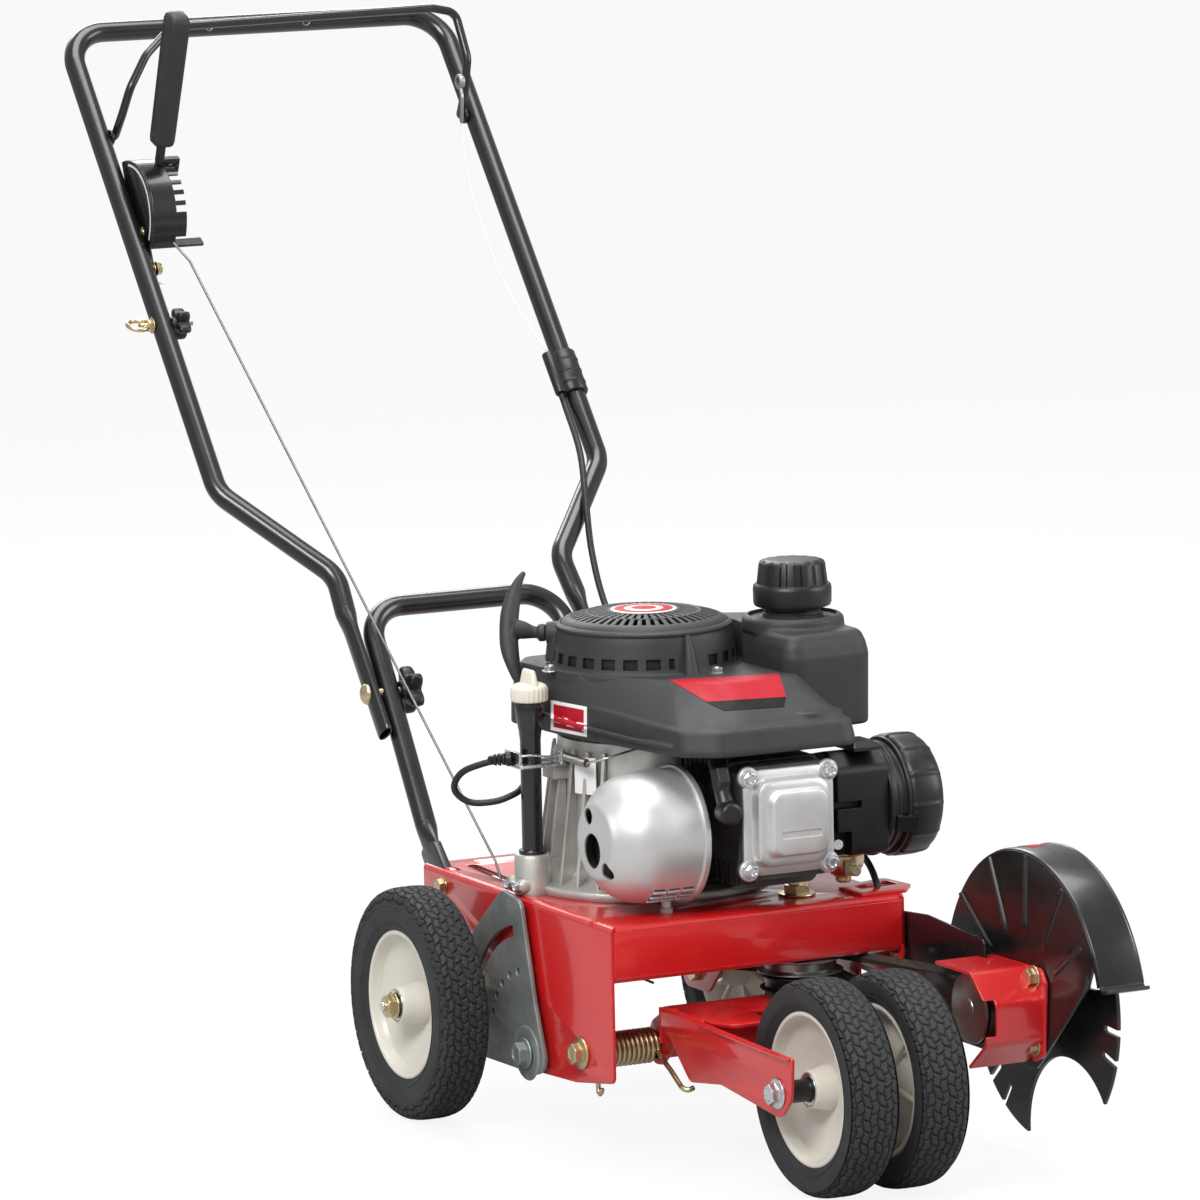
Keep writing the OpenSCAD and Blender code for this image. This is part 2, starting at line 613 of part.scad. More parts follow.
// coil round the bracket pivot with a tail at each end
module return_spring() color("goldenrod") {
  coils = 13;
  steps = 12;  // per coil
  coil_r = 13.2;
  wire_r = 2.2;
  y = SWING[0];
  cord([
    [-105,y-18,58], [-105,y-19,66],
    for (i = [0:coils*steps])
      [-104.5+59.5*i/(coils*steps), each polar(SWING, coil_r, 180+i*360/steps)],
    [-47.5,y-24,SWING[1]-5], [-57.9,-260,84], [-58,-286,67.5], [-57.6,-293,65.5],
    [-50,-295,65.5]], wire_r, 6);
}

// ---- engine -------------------------------------------------------------------
// (radius, z)
CASE_PROFILE = [
  [18,205], [104,205], [105,207], [105,212], [102,213.5], [84,220], [80,232],
  [78,300], [76,338], [18,338]];
BARREL = [42, 278];  // cylinder axis along Y, (x, z)

module crankcase() color("#b9b9b4") difference() {
  lug_angles = [30,100,170,250];
  union() {
    zrev(CASE_PROFILE, CRANK);
    ycyl(-235, -150, BARREL, 40);
    for (a = [15:30:345]) around(CRANK, 213, a) translate([72,-2,0]) cube([22,4,16]);
    for (a = lug_angles) zcyl(205, 222, polar(CRANK, 92, a), 8);
    // oil filler boss
    zcyl(205, 240, FILLER, 16);
    box([-94,-96,205], [-60,-80,236]);
    box([-78,-100,304], [-44,-78,316]);
    for (y = [-92,-80]) xcyl(-112, -95, [y,213], 6.5);
  }
  zcyl(214, 245, FILLER, 9.2);
  for (a = lug_angles) zcyl(200, 230, polar(CRANK, 92, a), 3.5);
  zcyl(200, 342, CRANK, 18);
  // room for the silencer and the fins
  xcyl(-110, 4.5, MUFFLER, 58.4);
  box([-4,-200,217.9], [96,-177.9,345]);
}
module cylinder_head() color("#2a2a2a") difference() {
  union() {
    // cooling fins
    for (i = [0:6]) translate([0,-178-i*9,0]) rotate([90,0,0]) linear_extrude(4.5)
      polygon(rounded([[2,218,8], [88,218,8], [92,338,8], [0,338,8]], 3));
    yplate(-262, -236, rounded([[0,222,8], [92,222,8], [94,336,8], [-2,336,8]], 3));
    yplate(-287, -262, rounded([[2,232,10], [93,232,10], [93,328,10], [2,328,10]], 3));
    // plug boot
    ycyl(-298, -284, [-9,296], 9.5);
    hull() {
      ycyl(-290, -262, [-9,298], 7.5);
      box([-16,-288,330], [-2,-262,338]);
      box([-2,-285,290], [4,-265,306]);
    }
  }
  ycyl(-236, -140, BARREL, 40.1);
  xcyl(-20, 30, MUFFLER, 58.3);
  zcyl(210, 230, DECK_BOLT, 10.5);
}

// valve cover centre across and up, and the plane it seats on
cover_x = 48;
cover_z = 284;
cover_y = -287;
// rounded slab of the cover, y0 and y1 measured from the seat
module cover_step(y0, y1, half, down, up, r)
  yplate(cover_y+y0, cover_y+y1, rounded([
    [cover_x-half,cover_z-down,r], [cover_x+half,cover_z-down,r],
    [cover_x+half,cover_z+up,r], [cover_x-half,cover_z+up,r]]));
module valve_cover() color("#c9c9c9") {
  bolts = [for (s = [-1,1], t = [-1,1]) [cover_x+s*38, cover_z+t*39.5]];
  difference() {
    union() {
      cover_step(-4, 0, 40, 42, 43, 14);
      for (at = bolts) ycyl(cover_y-4, cover_y, at, 8.5);
      cover_step(-14, -4, 34, 36, 37, 14);
      cover_step(-21, -14, 29, 31, 31, 13);
    }
    // groove across the face
    yplate(cover_y-22, cover_y-19, rounded([
      [cover_x-21,cover_z-14,3], [cover_x+21,cover_z-14,3],
      [cover_x+21,cover_z-10,1], [cover_x-21,cover_z-10,1]], 2));
    for (at = bolts) ycyl(cover_y-6, cover_y+1, at, 3+gap);
  }
  // flanged hex heads
  for (at = bolts) translate([at[0],cover_y-4.01,at[1]]) rotate([90,0,0]) {
    cylinder(h = 1.6, r = 6.4, $fn = 32);
    cylinder(h = 6.5, r = 5, $fn = 6);
  }
}
// shell, (radius, x)
MUFFLER_PROFILE = [
  [0,-102], [30,-102], [34,-101], [46,-91], [53,-79], [56,-64], [56,-24], [58,-23],
  [58,-20], [53,-20], [53,-62], [50,-76], [43.5,-88], [33,-98], [29,-99], [0,-99]];
module muffler() color("silver") difference() {
  union() {
    xrev(MUFFLER_PROFILE, MUFFLER);
    xcyls(MUFFLER, [[-25,-21.5,54.5], [-23,3,14]]);
  }
  xcyl(-30, 5, MUFFLER, 9);
  // holes in the near end: offset (y, z) and radius
  for (hole = [[4,-8,11], [10,21,5.5], [-20,-22,5.5]])
    xcyl(-106, -88, MUFFLER + [hole[0],hole[1]], hole[2]);
  // three rows of slots in the side
  for (i = [0:2], j = [0:2])
    about(MUFFLER, 236+i*10) box([-68+j*14,45,-1.6], [-58+j*14,60,1.6]);
}

shroud_z = 343;
// corner posts of the base, (x, y, radius)
SHROUD_BASE = [
  [-66,-26,14], [-56,-12,14], [78,-2,18], [112,-60,14], [104,-278,14], [-12,-279,13],
  [-30,-262,14], [-62,-120,12]];
// posts of the shoulder, (x, y, radius, top above shroud_z)
SHROUD_SHOULDER = [
  [-66,-26,14,32], [-56,-12,14,32], [78,-2,18,32], [112,-60,14,32],
  [104,-276,14,30], [-10,-277,13,30], [-30,-260,13,30], [-62,-120,12,31],
  [-60,-34,14,54], [-50,-20,14,54], [60,-16,16,54], [90,-90,14,54],
  [80,-222,14,52], [20,-226,14,52], [-52,-120,14,53]];
module engine_shroud() color("#4a4b4d") difference() {
  union() {
    hull() for (p = SHROUD_BASE)
      translate([p[0],p[1],shroud_z]) cylinder(h = 30, r = p[2], $fn = 32);
    // shoulder rising to the recoil base
    hull() for (p = SHROUD_SHOULDER)
      translate([p[0],p[1],shroud_z+p[3]-4]) cylinder(h = 4, r = p[2], $fn = 32);
  }
  // hollow
  hull() for (p = SHROUD_BASE)
    translate([p[0],p[1],shroud_z-1]) cylinder(h = 34, r = p[2]-4, $fn = 32);
  zcyl(shroud_z, 420, CRANK, recoil_r+4.3);
  // bay for the fuel tank
  box([84.6,-224.4,shroud_z-2], [240,20,460]);
  // groove along the near face
  around([-62.5,-250], 361, 9) rotate([4,0,0]) translate([-14,0,0]) cube([8,150,6]);
}
// (radius, z)
RECOIL_PROFILE = [
  [recoil_r+4,386], [recoil_r+4,396], [recoil_r,398], [recoil_r-4,424],
  [recoil_r-7.5,433], [recoil_r-14,439], [0,444], [0,441], [recoil_r-15,436],
  [recoil_r-10.5,431], [recoil_r-7,423], [recoil_r-3,396], [recoil_r,392], [recoil_r,386]];
module recoil_cover() color("#4a4b4d") difference() {
  zrev(RECOIL_PROFILE, CRANK);
  // radial slots in the crown, two rings
  for (a = [0:12:348]) around(CRANK, 430, a) {
    translate([32,-1.5,0]) cube([14,3,20]);
    translate([49,-1.9,0]) cube([14,3.8,20]);
  }
  // square side vents
  for (a = [-6:14:348]) around(CRANK, 402, a) translate([70,-3.6,0]) cube([20,7.2,9]);
  // rope outlet
  around(CRANK, 424, 150)
    translate([60,0,0]) rotate([0,90,0]) cylinder(h = 40, r = 6, $fn = 32);
}
module fuel_tank() color("#454648") difference() {
  cap_x = TANK_CAP[0];
  cap_y = TANK_CAP[1];
  union() {
    hull() for (p = [[101,-208], [158,-206], [162,-96], [101,-60]]) {
      translate([p[0],p[1],346]) cylinder(h = 68, r = 16, $fn = 32);
      translate([p[0]*0.98+2,p[1]*0.97-4,414]) cylinder(h = 12, r = 12, $fn = 32);
    }
    hull() {
      translate([cap_x,cap_y,428]) cylinder(h = 6, r = 44, $fn = 32);
      translate([cap_x,cap_y,436]) cylinder(h = 2, r = 41, $fn = 32);
    }
    zcyl(436, 452, TANK_CAP, 24);
  }
  zcyl(340, 460, CRANK, recoil_r+4.6);
  zcyl(420, 460, TANK_CAP, 19);
}
// (radius, z)
CAP_PROFILE = [
  [0,484], [24,484], [28.5,481], [29.8,476], [31,462], [33.5,461], [34,459],
  [33.5,445], [30,444], [26,444], [26,452.4], [0,452.4]];
module fuel_cap() color("#2b2b2b") difference() {
  union() {
    zrev(CAP_PROFILE, TANK_CAP);
    for (a = [0:30:330])
      around(TANK_CAP, 463, a) translate([28.6,-3.4,0]) cube([3.2,6.8,15]);
    zcyl(430, 455, TANK_CAP, 18.9);
  }
  zcyl(425, 448, TANK_CAP, 16);
}
module air_filter() color("#1d1d1d") {
  xrev([
    [0,162], [50,162], [50,166], [47,168], [47,180], [53,182], [54,185], [54,198],
    [53,208], [50,213], [44,215.5], [0,216]], FILTER);
  // box between the canister and the head
  difference() {
    xplate(112, 162, rounded(
      [[-258,240,8], [-186,240,6], [-182,318,10], [-236,330,16], [-258,316,10]]));
    box([110,-260,281], [134,-250,289]);
    box([110,-262,236], [126,-246,262]);
  }
  xcyl(91, 113, [-222,270], 14);
}
module carburettor() color("#b08d3c") {
  zrev([
    [0,212], [7,212], [7,217], [11,219], [17,226], [18,236], [18,238.5], [20,239],
    [20,239.9], [0,239.9]], [138,-219]);
  ycyl(-244, -236, [138,224], 5);
}
module oil_tube() color("#151515") difference() {
  union() {
    zcyls(FILLER, [[214.2,372,9], [240.1,243,12]]);
    zrev([[9,340], [12,356], [12.5,372], [0,372], [0,340]], FILLER);
  }
  zcyl(218, 375, FILLER, 5);
}
module dipstick() color("ivory") {
  zrev([[0,372.1], [15,372.1], [16,374], [16,384], [14.5,387], [0,388]], FILLER);
  // finger tab
  hull() {
    for (y = [-96,-81]) xcyl(-96.5, -91.5, [y,394], 6);
    box([-96.5,-99,386], [-91.5,-77,388]);
  }
  zcyls(FILLER, [[356,372.2,4.9], [222,360,2]]);
}
module cable_clamp() color("#8b9296") {
  difference() {
    union() {
      box([-112,-104,316], [-65,-72,319]);
      box([-112,-104,316], [-109,-72,330]);
    }
    zcyl(310, 325, FILLER, 9.1);
  }
  // governor spring, as a row of rings
  for (i = [0:8]) translate([-70,-107-i*4.6,324]) rotate([90,0,0])
    rotate_extrude($fn = 24) translate([3,0]) circle(1.1, $fn = 12);
  box([-73,-105,316], [-67,-98,329]);
}
module engine_cable() color("#333") cord(smooth([
  [-115.4,-88,324], [-126,-80,322], [-146,-62,312], [-150,-52,296], [-138,-56,284],
  [-118,-66,284], [-100,-70,290], [-86,-60,294], [-72,-40,280], [-66,-26,250],
  [-60,-20,216]], 5), 3);
// ball-ended limbs of the grip: start, radius, end, radius
GRIP_LIMBS = [
  [[116,-3,6], 8, [112,-22,34], 5.5],
  [[112,-22,34], 5.5, [104,-32,46], 3.5],
  [[116,3,6], 8, [112,16,-24], 5.5],
  [[112,16,-24], 5.5, [108,20,-40], 3.5]];
module starter_grip() color("#2a2a2a") around(CRANK, 424, 150) {
  translate([-70,0,0]) rotate([0,90,0]) cylinder(h = 165, r = 1.8, $fn = 24);
  translate([84.6,0,0]) rotate([0,90,0]) cylinder(h = 12, r = 7, $fn = 32);
  hull() {
    translate([95,0,0]) rotate([0,90,0]) cylinder(h = 2, r = 6, $fn = 32);
    translate([116,0,6]) sphere(6, $fn = 32);
  }
  for (limb = GRIP_LIMBS) hull() {
    translate(limb[0]) sphere(limb[1], $fn = 24);
    translate(limb[2]) sphere(limb[3], $fn = 24);
  }
}

// ---- drive --------------------------------------------------------------------
crank_pulley_z = 143;
blade_pulley_x = 150;
IDLER = [88, -231];      // belt guide axis, (x, y)
ARM_PIVOT = [66, -160];  // (x, y)
upper_z = 148.5;         // belt guide planes
lower_z = 133.5;
guide_r = 31;            // running radius of the guides

module crankshaft() color("#9a9a9a") {
  zcyl(128, 352, CRANK, 12.5);
  // flywheel with its vanes
  zrev([
    [0,352], [60,352], [66,356], [66,372], [56,376], [52,396], [48,396], [48,378],
    [14,376], [14,400], [0,400]], CRANK);
  for (a = [0:30:330]) around(CRANK, 372, a) translate([56,-1.2,0]) cube([14,2.4,12]);
}
module crank_pulley() color("#2c2c2c") difference() {
  r = 34;
  z = crank_pulley_z;
  union() {
    zrev([
      [0,z-9], [r-4,z-9], [r,z-7.5], [r,z-6], [r-8,z-3],
      [r-8,z+3], [r,z+6], [r,z+7.5], [r-4,z+9], [0,z+9]], CRANK);
    zcyl(130, 164, CRANK, 19);
  }
  zcyl(115, 165, CRANK, 12.5+gap);
}
module idler_arm() color("#222") {
  pivot_x = ARM_PIVOT[0];
  pivot_y = ARM_PIVOT[1];
  difference() {
    union() {
      zplate(160, 163, rounded([
        [pivot_x-12,pivot_y+12,10], [pivot_x+13,pivot_y+10,10],
        [IDLER[0]+14,IDLER[1]-8,12], [IDLER[0]-10,IDLER[1]-12,12]]));
      zcyl(156, 178, ARM_PIVOT, 9);
      box([80,-200,159], [104,-192,163]);
    }
    zcyl(150, 180, ARM_PIVOT, 5+gap);
  }
  zcyls(IDLER, [[125,161,6], [155.8,160,10]]);
  zhex(119, 125.8, IDLER, 10);
  zhex(163, 169, IDLER, 8);
}
// guide wheel: flange radius, flange edge height, groove half height
module guide_wheel(z, flange, edge, groove) difference() {
  zrev([
    [6,z-7], [33,z-7], [flange,z-edge], [flange,z-5.4], [guide_r,z-groove],
    [guide_r,z+groove], [flange,z+5.4], [flange,z+edge], [33,z+7], [6,z+7]], IDLER);
  zcyl(105, 170, IDLER, 6+gap);
}
module guide_upper() color("#1b1b1b") guide_wheel(upper_z, 37, 6.2, 3.2);
module guide_lower() color("#1b1b1b") guide_wheel(lower_z, 35, 6.4, 4.8);

// belt stations are [point, direction toward the belt's wide face]
// run round a Z axis; out = -1 turns the wide face inward
function wrap(at, radius, z, angles, out = 1) =
  [for (a = angles) [[each polar(at, radius, a), z], [out*cos(a), out*sin(a), 0]]];
// stations strictly between the end of one run and the start of the next
function between(run, next, n) =
  let (p = last(run), q = next[0])
  [for (k = [1:n-1]) let (t = k/n) [p[0]+(q[0]-p[0])*t, unit(p[1]*(1-t)+q[1]*t)]];
// round the crank pulley, lower guide, blade pulley, upper guide, and back
module drive_belt() color("#2b2622") {
  guide_centre = [96.5, -227.8];
  run_r = guide_r+3.7;
  blade_run_r = 27.9;
  crank = wrap(CRANK, 31, crank_pulley_z, [for (i = [0:20]) 31+206*i/20]);
  lower = wrap(guide_centre, run_r, lower_z, [57,44,31,18,5.4], -1);
  blade = [for (a = [-90:-12:-270])
    [[blade_pulley_x, each polar(SPINDLE, blade_run_r, a)], [0,cos(a),sin(a)]]];
  upper = wrap(guide_centre, run_r, upper_z, [5.4,18,31]);
  path = concat(
    crank, between(crank, lower, 4), lower, between(lower, blade, 8),
    blade, between(blade, upper, 8), upper, between(upper, crank, 4));
  n = len(path);
  skin([for (i = [0:n-1])
    let (
      here = path[i][0],
      along = unit(path[(i+1)%n][0]-path[(i+n-1)%n][0]),
      out = unit(path[i][1] - along*(along*path[i][1])),
      side = cross(along, out)
    )
    [here+out*3+side*4, here-out*3+side*2.4, here-out*3-side*2.4, here+out*3-side*4]], true);
}

// ---- blade --------------------------------------------------------------------
// (y, z, corner radius)
SUPPORT_PLATE = [
  [-150,180,8], [-300,192,10], [-400,186,6], [-400,92,6], [-300,92,10],
  [-262,120,10], [-150,128,8]];
GUARD_FLANGE = [
  [-400,171,2], [-470,172,6], [-478,160,6], [-474,98,6], [-454,88,6], [-448,120,4],
  [-448,150,4], [-400,160,2]];
// (y, z)
BRACKET_WRAP = [
  [-388,171], [-448,171], [-474,146], [-474,112], [-446,88], [-440,91], [-471,114],
  [-471,145], [-446.8,168], [-388,168]];

module support_plate() color("#161616") difference() {
  union() {
    xplate(173, 176, rounded(SUPPORT_PLATE));
    for (at = PLATE_BOLTS) xcyl(171, 173, at, 10);
  }
  for (at = PLATE_BOLTS) xcyl(168, 180, at, 4.1);
  box([172,-401,167.9], [177,-387,171.1]);
}
module spindle_bracket() color("red") difference() {
  union() {
    // bent sheet wrapped round the pulley
    xplate(132, 189, BRACKET_WRAP);
    // flange against the guard
    xplate(186.4, 189.4, rounded(GUARD_FLANGE, 3));
    xplate(176.2, 189, [[-388,171], [-402,171], [-402,120], [-388,120]]);
  }
  box([130,-480,120], [142,-462,150]);
  xcyl(183.9, 191, SPINDLE, 27.1);
  for (at = GUARD_BOLTS) xcyls(at, [[180,195,4.1], [176,186.4,10.3]]);
}
module spindle_housing() color("#303030") difference() {
  union() {
    xcyls(SPINDLE, [[162,189.9,19], [184,189.9,27]]);
    box([176.2,-blade_y,blade_z-12], [189.9,-402,blade_z+12]);
  }
  xcyls(SPINDLE, [[155,195,9+gap], [160,166,15]]);
}
module blade_shaft() color("#8f8f8f") {
  x = blade_pulley_x;
  xcyls(SPINDLE, [[140,228,9], [196,213,14], [213+blade_t,219,15]]);
  // grooved pulley
  xrev([
    [8,x-9], [28,x-9], [30,x-8], [30,x-6], [23,x-3],
    [23,x+3], [30,x+6], [30,x+8], [28,x+9], [8,x+9]], SPINDLE);
  xhex(219, 227, SPINDLE, 12);
}
module blade_guard() color("#171717") difference() {
  union() {
    xplate(190, 193, [
      for (a = [-8:6:154]) polar(GUARD, 131.5, a),
      polar(GUARD, 112, 163), [-462,90], [-455,84], [-442,82], [-380,98]]);
    // curved rim over the blade
    intersection() {
      difference() {
        xcyl(190, 232, GUARD, 133);
        xcyl(185, 236, GUARD, 130);
      }
      xplate(185, 240, [GUARD, for (a = [-10:5:165]) polar(GUARD, 170, a)]);
    }
    // ribs on the near face
    for (a = [38,66,94,122,146])
      about(GUARD, a) box([187.2,62,-1.6], [191.5,a > 140 ? 116 : 131,1.6]);
    // folded front lip
    about(GUARD, 164) box([190,130.5,-3], [232,141,0]);
    // stiffener along the slanted front edge
    hull() for (at = [polar(GUARD, 113, 162), [-490,116]]) xcyl(187.4, 191, at, 1.8);
  }
  xcyl(185, 195, SPINDLE, 14.6);
  for (at = GUARD_BOLTS) xcyl(180, 196, at, 4.1);
}
// star blade: three arms between round scallops, two slots at each arm tip
module blade() color("#1b1b1b") difference() {
  xcyl(213, 213+blade_t, SPINDLE, blade_r);
  xcyl(210, 220, SPINDLE, 9+gap);
  for (k = [0:2]) {
    about(SPINDLE, k*120+250) xcyl(210, 220, [120,0], 70);
    for (side = [-1,1]) about(SPINDLE, k*120+190.5+side*6.4) {
      box([210,103,-3], [220,160,3]);
      translate([210,103,0]) rotate([0,90,0]) cylinder(h = 10, r = 3, $fn = 24);
    }
  }
}

// ---- parts --------------------------------------------------------------------
translate(ORG) deck();
translate(ORG) lower_handle();
translate(ORG) fasteners();
translate(ORG) crankcase();
translate(ORG) cylinder_head();
translate(ORG) valve_cover();
translate(ORG) muffler();
translate(ORG) engine_shroud();
translate(ORG) recoil_cover();
translate(ORG) fuel_tank();
translate(ORG) air_filter();
translate(ORG) carburettor();
translate(ORG) oil_tube();
translate(ORG) cable_clamp();
translate(ORG) engine_cable();
translate(ORG) spindle_bracket();
translate(ORG) spindle_housing();
translate(ORG) support_plate();
translate(ORG) blade_guard();
translate(ORG) far_axle();
translate(ORG) drive_belt();
translate(ORG) bracket_pivot();
translate(ORG) return_spring();
translate(ORG) curb_pivot();
translate(ORG) depth_wire();
translate(ORG) control_cable();
translate(ORG) fold_bolts();
translate(ORG) front_bracket();
translate(ORG) front_axle();
translate(ORG) front_rim_near();
translate(ORG) front_tyre_near();
translate(ORG) front_rim_far();
translate(ORG) front_tyre_far();
translate(ORG) curb_plate();
translate(ORG) near_axle();
translate(ORG) rear_rim_near();
translate(ORG) rear_tyre_near();
translate(ORG) rear_rim_far();
translate(ORG) rear_tyre_far();
translate(ORG) upper_handle();
translate(ORG) depth_quadrant();
translate(ORG) rope_guide();
translate(ORG) cable_sleeve();
translate(ORG) inner_cable();
translate(ORG) bail();
translate(ORG) depth_lever();
translate(ORG) lever_grip();
translate(ORG) knob_near();
translate(ORG) knob_far();
translate(ORG) knob_guide();
translate(ORG) crankshaft();
translate(ORG) crank_pulley();
translate(ORG) idler_arm();
translate(ORG) guide_upper();
translate(ORG) guide_lower();
translate(ORG) blade_shaft();
translate(ORG) blade();
translate(ORG) starter_grip();
translate(ORG) fuel_cap();
translate(ORG) dipstick();
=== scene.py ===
# Wheeled lawn edger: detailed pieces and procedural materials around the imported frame.
# It stands on z = 0. The star blade end is the front (-Y) and the folding handle rises to the
# rear (+Y). The near side is -X; the blade and its guard hang outside the far side (+X).
# Lengths are millimetres from the middle of the rear axle line, unless a name says otherwise.
import json
from math import acos, atan2, ceil, cos, degrees, floor, hypot, pi, radians, sin, tan
import bpy
import bmesh
from mathutils import Vector, Matrix


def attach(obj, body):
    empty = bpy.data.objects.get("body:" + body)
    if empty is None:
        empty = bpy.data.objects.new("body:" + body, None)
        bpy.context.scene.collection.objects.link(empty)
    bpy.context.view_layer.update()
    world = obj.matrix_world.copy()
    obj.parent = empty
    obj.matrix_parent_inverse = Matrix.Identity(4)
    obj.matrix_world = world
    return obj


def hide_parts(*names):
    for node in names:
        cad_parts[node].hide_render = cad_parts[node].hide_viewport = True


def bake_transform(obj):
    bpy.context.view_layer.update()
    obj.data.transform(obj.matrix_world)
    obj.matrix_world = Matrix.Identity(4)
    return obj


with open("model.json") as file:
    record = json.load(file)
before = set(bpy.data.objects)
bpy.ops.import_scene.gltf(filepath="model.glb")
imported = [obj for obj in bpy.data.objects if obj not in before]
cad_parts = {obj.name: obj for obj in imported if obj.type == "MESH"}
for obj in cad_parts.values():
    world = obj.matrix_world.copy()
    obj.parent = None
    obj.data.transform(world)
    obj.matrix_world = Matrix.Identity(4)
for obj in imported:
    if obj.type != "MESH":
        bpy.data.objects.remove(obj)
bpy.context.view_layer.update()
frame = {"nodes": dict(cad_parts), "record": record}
MM = 0.001

# SHIFT carries points measured from the rear axle to the frame's origin, in metres.
NEAR_WHEEL_X = -164
near_hub = next(joint for joint in frame["record"]["behaviour"]["joints"]
                if joint["name"] == "rear_near_spin")["pos_m"]
SHIFT = Vector((near_hub[0] - NEAR_WHEEL_X * MM, near_hub[1], 0.0))


# ---------------------------------------------------------------- materials
FINISHES = {}
MIX_FACTOR, MIX_A, MIX_B, MIX_RESULT = 0, 6, 7, 2  # colour sockets of a Mix node


def add_node(tree, kind, inputs=(), **settings):
    """New node; each input takes a value, or a link when given a socket."""
    node = tree.nodes.new(kind)
    for key, value in settings.items():
        setattr(node, key, value)
    for key, value in dict(inputs).items():
        if isinstance(value, bpy.types.NodeSocket):
            tree.links.new(value, node.inputs[key])
        else:
            node.inputs[key].default_value = value
    return node


def overlay(tree, base, colour, source, from_min=0.0, from_max=1.0, to_min=0.0, to_max=1.0):
    """Mixes a colour over the base by a remapped source; returns the colour socket."""
    amount = add_node(tree, "ShaderNodeMapRange", {
        "From Min": from_min, "From Max": from_max,
        "To Min": to_min, "To Max": to_max, "Value": source})
    mix = add_node(tree, "ShaderNodeMix", {
        MIX_FACTOR: amount.outputs["Result"], MIX_A: base, MIX_B: (*colour, 1)},
        data_type="RGBA")
    return mix.outputs[MIX_RESULT]


def material(name, colour, rough, vary, scale, relief, relief_scale=900.0, edge=0.7, metal=0.0,
             coat=0.0, coat_rough=0.08, specular=0.5, tint=None, cells=None, painted_shade=None):
    """Principled surface whose colour, roughness and relief vary by object-space noise.

    vary: colour swing either way; scale: its noise scale; relief: bump strength;
    edge: shaded rounding in mm; tint and cells: colours laid over the base by noise and by
    Voronoi cells; painted_shade: painted shade, a darker colour laid into hollows and
    creases by ambient occlusion.
    """
    surface = bpy.data.materials.new(name)
    surface.use_nodes = True
    tree = surface.node_tree
    tree.nodes.clear()
    output = add_node(tree, "ShaderNodeOutputMaterial")
    shader = add_node(tree, "ShaderNodeBsdfPrincipled", {
        "Metallic": metal, "IOR": 1.5, "Specular IOR Level": specular,
        "Coat Weight": coat, "Coat Roughness": coat_rough})
    link = tree.links.new
    link(shader.outputs["BSDF"], output.inputs["Surface"])
    coords = add_node(tree, "ShaderNodeTexCoord")
    mapping = add_node(tree, "ShaderNodeMapping", {"Vector": coords.outputs["Object"]})
    place_on = mapping.outputs["Vector"]

    def noise(noise_scale, detail, **more):
        values = {"Scale": noise_scale, "Detail": detail, "Vector": place_on, **more}
        return add_node(tree, "ShaderNodeTexNoise", values).outputs["Fac"]

    ramp = add_node(tree, "ShaderNodeValToRGB", {"Fac": noise(scale, 5, Roughness=0.6)})
    for element, position, gain in zip(ramp.color_ramp.elements, (0.32, 0.68),
                                       (1 - vary, 1 + vary)):
        element.position = position
        element.color = (*(channel * gain for channel in colour), 1)
    result = ramp.outputs["Color"]
    if tint:
        result = overlay(tree, result, tint["colour"], noise(tint["scale"], 3),
                         from_min=0.38, from_max=0.66, to_max=tint["amount"])
    if cells:
        voronoi = add_node(tree, "ShaderNodeTexVoronoi",
                           {"Scale": cells["scale"], "Vector": place_on})
        result = overlay(tree, result, cells["colour"], voronoi.outputs["Color"],
                         to_max=cells["amount"])
    # Painted shade: ambient occlusion lays the darker colour into hollows and creases.
    if painted_shade:
        occlusion = add_node(tree, "ShaderNodeAmbientOcclusion", {"Distance": painted_shade["reach"]})
        result = overlay(tree, result, painted_shade["colour"], occlusion.outputs["AO"],
                         from_min=0.35, from_max=0.95, to_min=painted_shade["amount"], to_max=0.0)
    link(result, shader.inputs["Base Color"])
    roughness = add_node(tree, "ShaderNodeMapRange", {
        "Value": noise(scale * 3.1, 4), "From Min": 0.3, "From Max": 0.7,
        "To Min": rough * 0.88, "To Max": rough * 1.12})
    link(roughness.outputs["Result"], shader.inputs["Roughness"])
    bevel = add_node(tree, "ShaderNodeBevel", {"Radius": edge * MM}, samples=4)
    bump = add_node(tree, "ShaderNodeBump", {
        "Height": noise(relief_scale, 3), "Strength": relief, "Distance": 0.0002,
        "Normal": bevel.outputs["Normal"]})
    link(bump.outputs["Normal"], shader.inputs["Normal"])
    if coat:
        link(bevel.outputs["Normal"], shader.inputs["Coat Normal"])
    FINISHES[name] = surface


material("red_paint", (0.56, 0.008, 0.009), rough=0.34, coat=0.85, coat_rough=0.09, vary=0.06,
         scale=9, relief=0.12, relief_scale=420, edge=0.8)
material("black_paint", (0.0045, 0.005, 0.0058), rough=0.30, coat=0.45, coat_rough=0.10,
         vary=0.12, scale=14, relief=0.12, relief_scale=500)
material("yellow_zinc", (0.62, 0.50, 0.30), rough=0.33, metal=1.0, vary=0.12, scale=60,
         tint=dict(colour=(0.55, 0.50, 0.36), scale=90, amount=0.45),
         relief=0.2, relief_scale=1500, edge=0.5)
# cast_alloy: painted shade, a darker colour laid into the casting's hollows by ambient occlusion.
material("cast_alloy", (0.62, 0.61, 0.58), rough=0.46, metal=0.85, vary=0.10, scale=40,
         relief=0.9, relief_scale=1300, edge=1.0,
         painted_shade=dict(reach=0.01, amount=0.5, colour=(0.22, 0.21, 0.19)))
material("head_black", (0.045, 0.043, 0.041), rough=0.48, metal=0.3, vary=0.2, scale=40,
         relief=0.7, relief_scale=1300, edge=0.8,
         tint=dict(colour=(0.12, 0.115, 0.105), scale=50, amount=0.35))
material("cover_silver", (0.66, 0.66, 0.65), rough=0.42, metal=0.78, vary=0.06, scale=30,
         relief=0.5, relief_scale=1900, edge=0.8)
